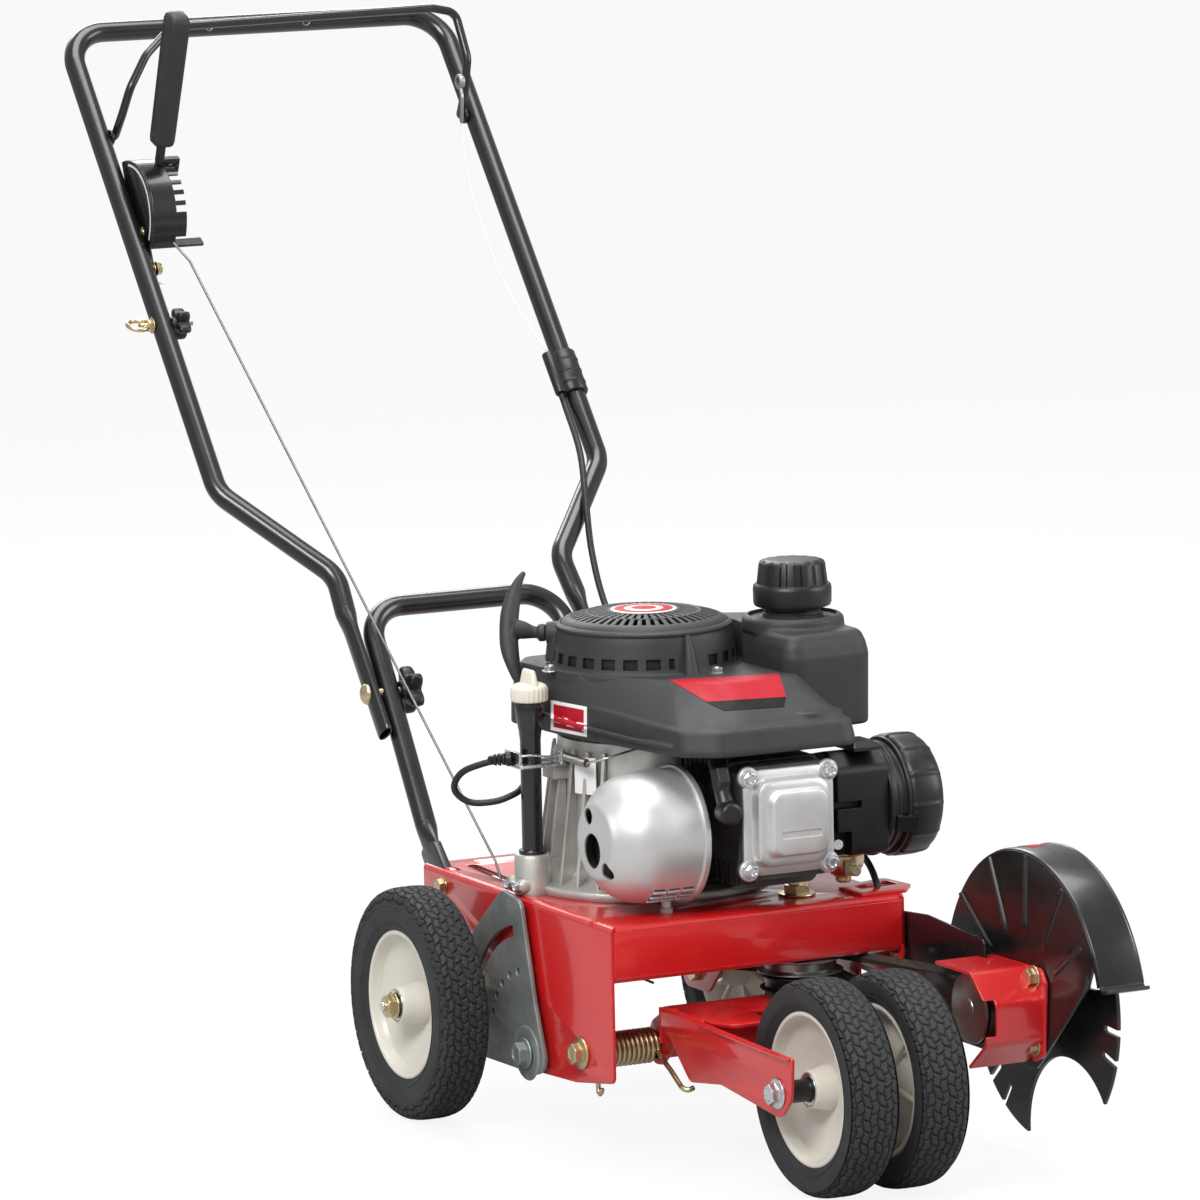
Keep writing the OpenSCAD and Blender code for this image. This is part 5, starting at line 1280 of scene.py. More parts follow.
# half width, half height, corner radius, depth in front of the joint face
COVER_STEPS = [
    (43.0, 45.0, 16.5, 0), (43.3, 45.3, 16.8, 0.8), (43.0, 45.0, 16.5, 2.6),
    (41.6, 43.6, 15.5, 3.8), (37.5, 39.5, 14.5, 4.2), (36.2, 38.2, 14, 4.6),
    (35.3, 37.2, 13.6, 6.0), (34.6, 36.6, 13.2, 9.5), (33.6, 35.6, 12.8, 12.6),
    (31.8, 33.8, 12.2, 13.9), (29.6, 31.6, 11.6, 14.2), (28.6, 28.8, 11, 14.6),
    (27.8, 28.0, 10.6, 15.8), (27.2, 27.4, 10.2, 18.8), (26.0, 26.2, 9.6, 20.4),
    (24.0, 24.2, 9, 21), (16, 16, 6, 21.2), (2, 2, 1, 21.3)]
cover_loops = []
for width, height, radius, depth in COVER_STEPS:
    pad_shift = 3.0 * smoothstep(29, 27, width)  # the raised pad sits off centre
    cover_loops.append([(COVER_X + x + pad_shift, COVER_Y - depth, COVER_Z + 0.5 + z)
                        for x, z in round_box(width, height, radius, 18)])
pad_recess = hull(
    [(COVER_X + 3 + x, COVER_Y - 24, COVER_Z - 9 + z) for x in (-20, 20) for z in (-4, 4)]
    + [(COVER_X + 3 + x, COVER_Y - 20.2, COVER_Z - 9 + z)
       for x in (-18.5, 18.5) for z in (-2.6, 2.6)])
piece("valve_cover_pressing", "cover_silver", "chassis", [rings(cover_loops)], "valve_cover",
      cuts=[[pad_recess]], smooth=35, bevel=0.3, angle=45)
ears = [(s, COVER_X + s * 38, COVER_Z + 0.5 + t * 39.5) for s in (-1, 1) for t in (-1, 1)]
piece("valve_cover_ears", "cover_silver", "chassis", [
    lathe([(CORE, COVER_Y), (9.4, COVER_Y), (9.6, COVER_Y - 1.0), (9.4, COVER_Y - 3.2),
           (8.4, COVER_Y - 4.3), (CORE, COVER_Y - 4.3)], "y", (x, 0, z), 40)
    for _, x, z in ears])
piece("valve_cover_bolts", "bright_zinc", "chassis", [
    shape for s, x, z in ears
    for shape in bolt((x, COVER_Y - 4.2, z), FRONT, 5.6, 5.6, 1.5, 7.4, dish=1.8,
                      spin=0.2 * s)], smooth=35)


# ---------------------------------------------------------------- cylinder and fins
def upright(outline, y):
    return [(x, y, z) for x, z in outline]


def cylinder_fins():
    middle = (46, 278)
    shapes = []
    fin = rounded([(4, 219, 8), (88, 219, 8), (91, 337, 8), (2, 337, 8)])
    inset = scaled(fin, middle, 0.985, 0.988)
    for i in range(7):
        y = -178 - i * 9
        shapes.append(rings([upright(inset, y - 0.9), upright(fin, y - 1.5),
                             upright(fin, y - 3.0), upright(inset, y - 3.6)]))
    block = rounded([(4, 224, 8), (90, 224, 8), (92, 334, 8), (2, 334, 8)])
    shapes.append(rings([upright(scaled(block, middle, k, k), y) for y, k in
                         ((-238, 0.97), (-239.5, 1.0), (-260, 1.0), (-262, 0.985))]))
    head = rounded([(5, 235, 10), (91, 235, 10), (91, 332, 10), (5, 332, 10)], 6)
    shapes.append(rings([upright(head, y) for y in (-262, -287)]))
    shapes.append(collar(41, -150, -240, "y", (42, 0, 278), 64))
    # upright ribs down the near side
    for k in range(5):
        shapes.append(hull(corners((3.2, 8), (-243 - k * 4.2, -244.8 - k * 4.2), (227, 331))))
    return shapes


piece("cylinder_fins", "head_black", "chassis", cylinder_fins(), "cylinder_head",
      cuts=[[collar(58.6, -20, 30, "x", MUFFLER, 96),
             collar(10.5, 210, 232, "z", (93, -218, 0), 40)]],
      smooth=35, bevel=0.35, segs=1, angle=40)
plug_path = curve([(-6, -262, 338), (-8, -266, 334), (-9, -272, 326), (-9.5, -279, 314),
                   (-9.5, -285, 303), (-9.5, -289, 296)], 8)
piece("plug_boot", "black_plastic", "chassis", [
    tube(plug_path, [6 + 0.055 * i for i in range(len(plug_path))], 24),
    lathe([(CORE, -282), (9.6, -282), (10.2, -284), (10.2, -294), (9.4, -297),
           (7.4, -298.4), (CORE, -298.6)], "y", (-9.5, 0, 296), 48),
    lathe([(5.4, -298.3), (6.4, -298.9), (7.0, -298.3)], "y", (-9.5, 0, 296), 48),
    tube(curve([(-9, -278, 322), (-2, -270, 334), (6, -255, 341), (20, -230, 342)], 8),
         3.2, 14),
    hull([(x, y, z) for x in (-15, -4) for y, z in
          ((-284, 306), (-276, 312), (-272, 332), (-280, 334), (-286, 322))])],
    melt=(0.9, 4), smooth=50)

# ---------------------------------------------------------------- crankcase
CASE_BOLTS = (30, 100, 170, 250)  # angles of the flange bolts
CASE_BOLT_R = 92
CASE_SCREWS_Y = (-94.5, -78.5)
OIL_X, OIL_Y = -94, -88
OIL = (OIL_X, OIL_Y, 0)


def case_fin(angle):
    c, s = cos(radians(angle)), sin(radians(angle))
    return hull([(FAN_X + r * c + w * s, FAN_Y + r * s - w * c, z)
                 for r, z in ((79, 214), (98, 214), (79, 330), (81.4, 330), (83, 222))
                 for w in (-1.5, 1.5)])


def crankcase():
    shapes = [lathe([(18, 205), (104.4, 205), (105, 206), (105, 211), (104.2, 212.4),
                     (101.5, 213.5), (86, 219.5), (81.6, 224), (80, 232), (78.2, 300),
                     (76.4, 337.4), (75.4, 338), (18, 338)], "z", FAN, 144)]
    for a in CASE_BOLTS:
        shapes.append(lathe([(3.6, 206), (8.8, 206), (8.8, 219), (8.0, 221.2), (6.8, 222),
                             (3.6, 222)], "z", around(a, CASE_BOLT_R, 0), 36))
        shapes.append(hull([around(a + w / r, r, z) for r in (74, 88) for w in (-330, 330)
                            for z in (212, 217)]))
    shapes += [case_fin(a) for a in range(0, 360, 12) if not 225 < a < 330]
    shapes.append(lathe([(9.2, 205), (16, 205), (16, 236.5), (15, 239.4), (13.4, 240),
                         (9.2, 240)], "z", OIL, 56))
    shapes.append(hull(corners((OIL_X, -58), (-97, -79), (205, 234))))
    shapes.append(hull(corners((-78, -50), (-100, -78), (304, 316))))
    for y in CASE_SCREWS_Y:
        shapes.append(lathe([(CORE, -111), (6.4, -111), (6.8, -110), (6.8, -92),
                             (CORE, -92)], "x", (0, y, 213), 36))
    shapes.append(collar(10, -250, -222, "y", (42, 60, 240), 32))
    return shapes


piece("crankcase_casting", "cast_alloy", "chassis", crankcase(), "crankcase",
      cuts=[[collar(58.8, -112, 5, "x", MUFFLER, 96),
             box((-4, -200, 217.9), (96, -177.9, 345))]],
      smooth=35, bevel=0.5, angle=35)
case_screws = []
for y in CASE_SCREWS_Y:
    case_screws += bolt((-111, y, 213), NEAR, 4.4, 4.2, 1.0, 5.8, dish=1.2)
for a in CASE_BOLTS:
    case_screws += bolt(around(a, CASE_BOLT_R, 222), UP, 6.0, 5.0, 1.2, 8.4, dish=0.8)
piece("crankcase_screws", "bright_zinc", "chassis", case_screws, smooth=35)


def casting_panel(steps=12):
    """Blank curved panel on the casting's near front side."""
    verts = [around(196 + 16 * i / steps, r, z) for i in range(steps + 1)
             for r, z in ((84.6, 294), (84.6, 326), (84.0, 326), (84.0, 294))]
    faces = [(i * 4 + j, i * 4 + (j + 1) % 4, (i + 1) * 4 + (j + 1) % 4, (i + 1) * 4 + j)
             for i in range(steps) for j in range(4)]
    last = steps * 4
    return verts, faces + [(0, 1, 2, 3), (last + 3, last + 2, last + 1, last)]


piece("casting_panel", "decal_white", "chassis", [casting_panel()])

# oil filler tube and cap
piece("oil_filler_tube", "black_paint", "chassis", [
    lathe([(5, 372), (5, 218), (8.6, 218), (9, 214.3), (9, 240.2), (11.6, 240.2), (12, 241),
           (12, 242.4), (11.4, 243.2), (9.2, 243.6), (9.0, 252), (9.0, 338), (9.8, 346),
           (11.6, 356), (12.4, 362), (12.6, 371), (12.0, 372)], "z", OIL, 64)], "oil_tube")
# radius, height, share of the knurl
OIL_CAP = [(CORE, 372.1, 0), (14.6, 372.1, 0), (15.6, 372.8, 0.2), (16.0, 374.2, 1),
           (16.0, 382.6, 1), (15.6, 384.4, 0.6), (14.4, 386.2, 0), (12.0, 387.3, 0),
           (CORE, 388.0, 0)]
# finger loop of the cap, as balls: y, z, radius
CAP_LOOP = [(-96.5, 393.5, 2.9), (-79.5, 393.5, 2.9), (-97.5, 388, 3.4), (-78.5, 388, 3.4),
            (-95.5, 397.4, 2.3), (-80.5, 397.4, 2.3), (-99, 386, 3.2), (-77, 386, 3.2)]
piece("oil_cap", "cream_plastic", "dipstick", [
    rings(revolve(OIL_CAP, "z", OIL, 160,
                  lambda radius, a, knurl: radius + 0.35 * knurl * cos(24 * a)), caps=False),
    hull([p for y, z, radius in CAP_LOOP for p in ball((OIL_X, y, z), radius, 12)]),
    collar(4.8, 356, 372.2, "z", OIL, 28),
    lathe([(CORE, 222), (2, 223), (2, 358), (CORE, 358)], "z", OIL, 20)],
    "dipstick", smooth=42)


# ---------------------------------------------------------------- air filter and carburettor
def filter_ribs(radius, a):
    k = (a / (2 * pi) * 12) % 1.0
    rib = smoothstep(0.0, 0.04, k) * (1 - smoothstep(0.12, 0.16, k))
    return radius + rib * smoothstep(44, 50, radius)


piece("air_filter_cover", "black_plastic", "chassis", [
    rings(revolve([(CORE, 216.0), (30, 215.9), (42, 215.4), (46.5, 214.4), (49.6, 212.2),
                   (51.6, 209), (52.6, 205), (53.0, 200), (53.0, 187), (52.4, 184.6),
                   (50.4, 182.6), (49.4, 181.8)], "x", FILTER, 200, filter_ribs),
          caps=False),
    lathe([(30, 181.8), (49.6, 181.8), (49.6, 184), (30, 184)], "x", FILTER, 120)],
    "air_filter", smooth=35)
clip = hull([(x, y, z) for x, y in ((169, 46), (188, 52), (188, 54.4), (169, 50))
             for z in (-7, 7)])
piece("air_filter_base", "black_plastic", "chassis", [
    lathe([(CORE, 162.0), (49.4, 162.0), (50.4, 162.8), (50.6, 165.2), (49.4, 166.4),
           (47.6, 167.0), (47.4, 170.0), (48.8, 171.0), (48.8, 173.4), (47.4, 174.4),
           (47.4, 178.0), (50.6, 179.0), (51.4, 180.2), (51.4, 181.4), (50.2, 182.2),
           (CORE, 182.2)], "x", FILTER, 144),
    *(moved(turn_x(clip, a), FILTER) for a in (200, 20))], bevel=0.5, smooth=35)
air_box = rounded([(-258, 240, 8), (-186, 240, 6), (-182, 318, 10), (-236, 330, 16),
                   (-258, 316, 10)], 6)
piece("air_box", "black_plastic", "chassis", [
    rings([[(x, y, z) for y, z in scaled(air_box, FILTER[1:], k, k)]
           for x, k in ((112, 0.97), (113.2, 1.0), (162, 1.0))])],
    cuts=[[box((108, -262, 282), (136, -250, 288)), box((108, -264, 236), (126, -244, 262))]],
    bevel=0.9, segs=3)
piece("intake_tube", "black_plastic", "chassis", [
    lathe([(CORE, 91), (13, 91), (14, 92), (14, 112.5), (CORE, 112.5)], "x", MUFFLER, 40),
    collar(17, 96, 99, "x", MUFFLER, 40, inner=14),
    hull(corners((130, 156), (-256, -222), (330, 333))
         + corners((134, 152), (-250, -226), (338, 338)))], bevel=0.8, smooth=35)
CARB = (138, -219, 0)
piece("carb_bowl", "yellow_zinc", "chassis", [
    lathe([(CORE, 212.2), (6.2, 212.2), (6.8, 213), (6.8, 217), (8.4, 217.6), (11.5, 219),
           (15, 222.2), (17.2, 226), (18.0, 230), (18.1, 236), (19.0, 236.6), (20.0, 237.2),
           (20.2, 238.6), (19.6, 239.6), (CORE, 239.9)], "z", CARB, 72),
    *bolt((CARB[0], CARB[1], 217.5), DOWN, 6.2, 5.0, 1.2, 8.2),
    stand(lathe([(CORE, 0), (4.6, 0), (4.9, 0.6), (4.9, 6.4), (4.2, 7.2), (CORE, 7.2)],
                "z", (0, 0, 0), 32), (138, -236, 224), (0, -1, 0.1)),
    hull(corners((129, 136), (-240, -236), (221, 233)))],
    "carburettor", bevel=0.3, smooth=35)
piece("carb_body", "cast_alloy", "chassis", [
    hull(corners((116, 160), (-238, -200), (240, 246))
         + corners((120, 156), (-234, -204), (240, 262)))], bevel=1.0, smooth=35)
piece("choke_lever", "bright_zinc", "chassis", [
    stand(lathe([(CORE, 0), (4.4, 0), (4.4, 3.2), (CORE, 3.4)], "z", (0, 0, 0), 28),
          (113.6, -254, 252), (-0.3, -1, 0))], smooth=35)

# cable clamp, spring and throttle link
plate("clamp_plate", "bright_zinc", "chassis", "z", 316, 319,
      rounded([(-112, -104, 3), (-65.2, -104, 6), (-65.2, -74, 6), (-112, -72, 3)]),
      holes=[circle(OIL_X, OIL_Y, 9.15)], edge=0.6, replaces="cable_clamp")
piece("clamp_tabs", "bright_zinc", "chassis", [
    box((-112, -102, 317), (-109, -74, 330)), box((-72.6, -105, 317), (-68, -98.5, 329)),
    tube(curve([(-110, -96, 326), (-100, -100, 327), (-84, -102, 325), (-72, -103, 327)], 8),
         1.0, 10)], bevel=0.6, smooth=35)
piece("governor_spring", "shaft_steel", "chassis", [
    tube([(-70 + 3.1 * cos(radians(i * 20)), -107 - i * 0.105,
           324 + 3.1 * sin(radians(i * 20))) for i in range(380)], 0.75, 8)], smooth=60)
piece("governor_link", "bright_zinc", "chassis", [
    tube(curve([(-70, -98, 324), (-70, -107, 325)], 4), 0.9, 8),
    tube(curve([(-70, -146.5, 324), (-60, -165, 330), (-20, -168, 338), (10, -172, 341)]),
         1.0, 8)], smooth=60)
engine_cable = curve([
    (-112.6, -88, 324), (-126, -80, 322), (-146, -62, 312), (-150, -52, 296),
    (-138, -56, 284), (-118, -66, 284), (-100, -70, 290), (-86, -60, 294), (-72, -40, 280),
    (-66, -26, 250), (-60, -20, 216)], 14)
piece("engine_cable_jacket", "cable_jacket", "chassis", [tube(engine_cable, 2.9, 18)],
      "engine_cable", smooth=60)
boot_dir = unit(engine_cable[10] - engine_cable[0])
boot_start = Vector((-112.2, -88, 324))
# each fold: distance along the cable, first and last radius, length
boot_folds = [
    stand(lathe([(CORE, 0), (r0 - 0.5, 0), (r0, 0.5), (r1, length - 0.5), (r1 - 0.5, length),
                 (CORE, length)], "z", (0, 0, 0), 32), boot_start + boot_dir * s, boot_dir)
    for s, r0, r1, length in ((0, 6.4, 6.4, 5), (5.4, 5.4, 5.0, 3.2), (9.2, 5.6, 4.8, 3.2),
                              (13.0, 5.2, 4.4, 3.2), (16.8, 4.4, 3.4, 3.6))]
piece("engine_cable_boot", "black_plastic", "chassis", boot_folds + [
    stand(collar(3.2, 0, 18, "z", (0, 0, 0), 24), boot_start + boot_dir, boot_dir)])

# ---------------------------------------------------------------- handles
TUBE_R, TUBE_SIDES = 9.5, 44
CROSSBAR_Y, CROSSBAR_Z = 657, 908


def oval(centre, half_width, normal, half_height, power=1):
    """Loop of a squeezed tube: half_width along X, half_height along the normal."""
    loop = []
    for j in range(TUBE_SIDES):
        a = 2 * pi * j / TUBE_SIDES
        rise = abs(sin(a)) ** power * (1 if sin(a) > 0 else -1)
        loop.append(tuple(centre + Vector((1, 0, 0)) * half_width * cos(a)
                          + normal * half_height * rise))
    return loop


def across_tube(direction):
    d = unit(direction)
    return Vector((0, d.z, -d.y))


# flattened lower ends of the upper handle: share of length, half width, half height
FLAT_END = [(0.0, 9.5, 9.5), (0.035, 9.3, 9.6), (0.08, 8.0, 10.3), (0.12, 6.6, 10.8),
            (0.17, 5.8, 11.0), (0.25, 5.6, 11.0), (0.6, 5.6, 11.0), (0.96, 5.6, 11.0),
            (0.99, 5.5, 10.9), (1.0, 5.0, 10.4), (0.998, 4.4, 9.8), (0.985, 4.1, 9.5),
            (0.93, 4.0, 9.4)]
upper_normal = across_tube((0, 78, 99))
upper_path = bent([(-114.6, 238, 410), (-112, 262, 440), (-192, 337, 513),
                   (-192, CROSSBAR_Y, CROSSBAR_Z), (192, CROSSBAR_Y, CROSSBAR_Z),
                   (192, 337, 513), (112, 262, 440), (114.6, 238, 410)],
                  [34, 36, 38, 38, 36, 34], 20)
piece("upper_handle_tube", "black_paint", "upper_handle", [
    tube(upper_path, TUBE_R, TUBE_SIDES, caps=False),
    *(rings([oval(Vector((s * 114.6, 239 - 79 * q, 411.2 - 100.2 * q)), rx, upper_normal, ry)
             for q, rx, ry in FLAT_END]) for s in (-1, 1))], "upper_handle", smooth=60)
crossbar_holes = []
for x in (-50, 50):
    lip = lathe([(3.0, 0), (3.6, 0.35), (4.1, 0.1), (4.1, -1.4), (3.0, -2.2)],
                "z", (0, 0, 0), 32)
    floor_disc = collar(3.0, -0.2, -1.0, "z", (0, 0, 0), 28)
    crossbar_holes += [stand(lip, (x, CROSSBAR_Y - 9.3, CROSSBAR_Z), FRONT),
                       stand(floor_disc, (x, CROSSBAR_Y - 9.2, CROSSBAR_Z), FRONT)]
piece("crossbar_holes", "shaft_steel", "upper_handle", crossbar_holes)


def lower_handle_end(s):
    """Lower end of the tube pressed flat against the handle foot."""
    along = unit((0, 132, 176))
    normal = across_tube((0, 132, 176))
    loops = []
    for k in range(15):
        f = k / 14
        ease = smoothstep(0, 1, f)
        centre = Vector((s * lerp(102.5, 104, ease), 107, 236)) - along * (f * 30)
        loops.append(oval(centre, lerp(TUBE_R, 4, ease), normal, lerp(TUBE_R, 14.4, ease),
                          lerp(1, 0.8, f)))
    return rings(loops)


piece("lower_handle_tube", "black_paint", "chassis", [
    tube(bent([(-102.5, 107, 236), (-94, 239, 412), (94, 239, 412), (102.5, 107, 236)],
              36, 20), TUBE_R, TUBE_SIDES),
    lower_handle_end(-1), lower_handle_end(1)], "lower_handle", smooth=50)
for k, (x0, x1) in enumerate(((-108, -100), (100, 108))):
    plate("handle_foot%d" % k, "black_paint", "chassis", "x", x0, x1,
          rounded([(82, 226, 4), (40, 186, 10), (30, 155, 7), (52, 148, 7), (66, 162, 9),
                   (108, 211, 4), (100, 222, 4)]), edge=1.4, steps=3, smooth=40)
fold_bolts = []
for s in (-1, 1):
    dome = lathe([(CORE, -0.6), (9.4, -0.6), (9.5, 0.4), (8.8, 1.9), (7, 3.3), (4.4, 4.4),
                  (CORE, 4.9)], "z", (0, 0, 0), 48)
    fold_bolts += [
        stand(collar(4, 0, 50, "z", (0, 0, 0), 28), on(FOLD, s * 71), (s, 0, 0)),
        stand(dome, on(FOLD, s * 120.3), (s, 0, 0))]
piece("handle_fold_bolts", "yellow_zinc", "chassis", fold_bolts, "fold_bolts", smooth=50)

# share of the knob's length, share of its radius, 1 where it is round
KNOB_STATIONS = [(-0.36, 0.36, 1), (-0.30, 0.40, 1), (-0.02, 0.42, 1), (0.0, 0.86, 0),
                 (0.06, 0.94, 0), (0.2, 1.0, 0), (0.7, 1.0, 0), (0.9, 0.965, 0),
                 (1.0, 0.88, 0), (1.05, 0.7, 0), (1.02, 0.5, 0), (0.92, 0.38, 0),
                 (0.92, 0.2, 1)]


def star_knob(name, stem_x, face_x, centre, radius, body, phase):
    """Five-lobed hand knob, lofted along X from its stem side to its face."""
    length = face_x - stem_x
    profile = [(radius * k, stem_x + f * length, is_round) for f, k, is_round in KNOB_STATIONS]
    loops = revolve(profile, "x", centre, 150, lambda r, a, is_round:
                    r if is_round else r * (0.80 + 0.20 * cos(5 * a + phase)))
    piece(name, "black_plastic", body, [rings(loops)], body, smooth=45)


star_knob("fold_knob_near", -83.5, -71.5, FOLD, 22, "knob_near", 0.6)
star_knob("fold_knob_far", 83.5, 71.5, FOLD, 22, "knob_far", 1.4)
star_knob("guide_knob", -179, -168, GUIDE, 15, "knob_guide", 0.9)
guide_eye = []
for k in range(0, 340, 8):
    a = radians(k + 190)
    guide_eye.append((-216 - 9 * cos(a) * 0.98, GUIDE[1] + 9 * sin(a) * 0.95,
                      GUIDE[2] + 9 * sin(a) * 0.3 + k * 0.006))
piece("rope_guide_bolt", "yellow_zinc", "upper_handle", [
    collar(3, -214, -162, "x", GUIDE, 24),
    *bolt(on(GUIDE, -201.6), NEAR, 5.6, 4.2, 1.0, 7.4),
    tube(guide_eye, 2.3, 16)], "rope_guide", smooth=45)

# bail
piece("bail_wire", "black_paint", "bail", [
    tube(bent([on(BAIL, -187), on(BAIL, -177), (-175, 568, 838), (-170, 560, 862),
               (-150, 566, 892), (-118, 580, 915), (150, 584, 919), (174, 582, 914),
               (178, 566, 872), (174, 566, 838), on(BAIL, 177), on(BAIL, 187)],
              [4, 14, 20, 24, 24, 10, 12, 22, 14, 4]), 3.95, 22)], "bail", smooth=60)
piece("bail_stops", "black_plastic", "bail", [
    lathe([(4.1, s * 182.6), (7.2, s * 182.6), (7.4, s * 181.8), (7.0, s * 179.4),
           (4.1, s * 179.2)], "x", BAIL, 32) for s in (-1, 1)], smooth=45)

# ---------------------------------------------------------------- depth quadrant and lever
_, LEVER_Y, LEVER_Z = LEVER
QUADRANT_R = 50.0
LEVER_ANGLE = 110.9
STUB_ANGLE = 201                  # the lever's short arm
QUADRANT_BOLTS = ((490, 702), (LEVER_Y - 24, LEVER_Z - 15))
plate("quadrant_disc", "black_paint", "upper_handle", "x", -182.3, -180.3,
      [polar(LEVER, QUADRANT_R, a) for a in range(70, 216, 3)]
      + rounded([(478, 690, 5), (492, 690, 5), (LEVER_Y - 10, LEVER_Z - 42, 4),
                 (LEVER_Y + 14, LEVER_Z, 4)], 6),
      holes=[bore(LEVER, 6.05), *(circle(y, z, 3.55) for y, z in QUADRANT_BOLTS)],
      edge=0.4, replaces="depth_quadrant", smooth=40)


def rim_arc(start, end, x0, x1):
    n = max(2, int((end - start) / 1.5))
    return rings([[(x, *polar(LEVER, r, start + (end - start) * i / n)) for x, r in
                   ((x0, QUADRANT_R - 1.9), (x1, QUADRANT_R - 1.9), (x1, QUADRANT_R),
                    (x0, QUADRANT_R))] for i in range(n + 1)])


# starts and ends of the comb's teeth: six notches 12 degrees apart and one wide gap
notch = degrees(2.9 / 49)
tooth_edges = [70.0]
for i in range(6):
    tooth_edges += [LEVER_ANGLE + i * 12 - notch, LEVER_ANGLE + i * 12 + notch]
tooth_edges += [207.5 - 5.8, 207.5 + 5.8, 215.0]
piece("quadrant_comb", "black_paint", "upper_handle", [
    rim_arc(70, 215, -180.4, -157.4),
    *(rim_arc(start, end, -158, -147.5)
      for start, end in zip(tooth_edges[::2], tooth_edges[1::2])),
    turn_x(box((-180.3, LEVER_Y + QUADRANT_R - 9.5, LEVER_Z - 2),
               (-128, LEVER_Y + QUADRANT_R, LEVER_Z + 1)), 214, LEVER)],
    bevel=0.5, smooth=35)
# plain pale band near the edge of the disc
piece("quadrant_band", "decal_white", "upper_handle", [
    rings([[(x, *polar(LEVER, r, 88 + 118 * i / 60)) for x, r in
            ((-182.3, 44.6), (-182.3, 46.6), (-182.55, 46.6), (-182.55, 44.6))]
           for i in range(61)])])
quadrant_bolts = []
for y, z in QUADRANT_BOLTS:
    quadrant_bolts += bolt((-182.4, y, z), NEAR, 5.2, 3.6, 0.9, 6.6, shank=(3.2, 6))
    quadrant_bolts += bolt((-180.2, y, z), FAR, 5.6, 4.6, 0.9, 6.8)
piece("quadrant_bolts", "yellow_zinc", "upper_handle", quadrant_bolts, smooth=35)


def swung(points, angle):
    """(along, across) points of an arm of the lever, as (y, z)."""
    return [polar(LEVER, hypot(*p), angle + degrees(atan2(p[1], p[0]))) for p in points]


def lever_box(x0, x1, start, end, half):
    return turn_x(box((x0, LEVER_Y + start, LEVER_Z - half), (x1, LEVER_Y + end, LEVER_Z + half)),
                  LEVER_ANGLE, LEVER)


plate("depth_lever_plate", "black_paint", "depth_lever", "x", -163, -157,
      swung([(12, -6), (38, -6), (38, -4), (47.6, -4), (47.6, 4), (38, 4), (38, 6), (12, 6)],
            LEVER_ANGLE)
      + [polar(LEVER, 13, a) for a in range(145, 172, 9)]
      + swung([(12, -5), (38, -5), (38, 5), (12, 5)], STUB_ANGLE)
      + [polar(LEVER, 13, a) for a in range(232, 436, 12)],
      holes=[circle(*polar(LEVER, 33, STUB_ANGLE), 2, 20)], edge=0.6,
      replaces="depth_lever", smooth=40)
piece("depth_lever_parts", "black_paint", "depth_lever", [
    lathe([(CORE, -182.6), (5.4, -182.6), (6, -182), (6, -176), (9, -176), (9, -163),
           (CORE, -163)], "x", LEVER, 40),
    lever_box(-163, -157, 50.3, 98, 4), lever_box(-158, -141, 42, 47.6, 3.4),
    lever_box(-158, -141, 50.5, 56, 3.4), lever_box(-145.4, -141, 45, 53, 3.4)],
    bevel=0.8, smooth=35)
# paddle grip: distance along the lever, lower and upper edge, half thickness
GRIP_X = -160
GRIP_STATIONS = [
    (70, -7.4, 7.4, 7.5), (71.5, -8.7, 8.7, 9.2), (76, -9.2, 9.2, 10), (110, -10.2, 9.7, 10),
    (150, -11.4, 10.3, 10), (185, -12.7, 10.8, 10), (193, -12.6, 10.4, 9.8),
    (197.5, -11.0, 8.8, 9), (199.6, -7.6, 5.6, 7.2), (200, -4, 2, 5)]
# hollow in each face: distance out in x, along the lever and across it
GRIP_HOLLOW = [(8.8, 82, -5.5), (8.8, 82, 5.5), (8.8, 186, -8.4), (8.8, 186, 6.6),
               (12, 79, -7.0), (12, 79, 7.0), (12, 189, -10), (12, 189, 8.2)]
grip = rings([[(GRIP_X + x * half, LEVER_Y + s, LEVER_Z + lerp(low, high, (y + 1) / 2))
               for x, y in round_box(1, 1, 0.42, 10)] for s, low, high, half in GRIP_STATIONS])
piece("lever_grip_body", "grip_rubber", "depth_lever", [turn_x(grip, LEVER_ANGLE, LEVER)],
      "lever_grip",
      cuts=[[turn_x(hull([(GRIP_X + side * x, LEVER_Y + y, LEVER_Z + z)
                          for x, y, z in GRIP_HOLLOW]), LEVER_ANGLE, LEVER)
             for side in (-1, 1)]], bevel=0.5, angle=40)

# ---------------------------------------------------------------- cables on the handle
upright_dir = unit((0, 300, 370))
SLEEVE = (192, 397, 587)
piece("cable_sleeve_body", "black_plastic", "upper_handle", [
    stand(lathe([(9.65, -22), (12.2, -22), (13, -20.8), (13, 20.8), (12.2, 22), (9.65, 22)],
                "z", (0, 0, 0), 56), SLEEVE, upright_dir),
    stand(lathe([(3.3, -22), (5.2, -22), (5.6, -21), (5.6, 21), (5.2, 22), (3.3, 22)],
                "z", (0, 0, 0), 36), (176.6, 394, 589.5), upright_dir),
    stand(hull(corners((-13.5, -8), (-3.4, 3.4), (-19, 19))), (192, 396, 587.5),
          upright_dir),
    *(stand(lathe([(12.8, k - 1.4), (13.5, k - 0.8), (13.5, k + 0.8), (12.8, k + 1.4)],
                  "z", (0, 0, 0), 56), SLEEVE, upright_dir) for k in (-12, 0, 12))],
    "cable_sleeve")
piece("inner_cable_wire", "liner_white",
      ("upper_handle", "bail", (168, 480, 674), (170, 562, 836)), [
          tube(curve([(169, 560, 838), (170, 566, 806), (168, 540, 744), (168, 484, 674),
                      (172, 440, 634), (177, 412, 610)], 20), 0.75, 12)],
      "inner_cable", smooth=60)
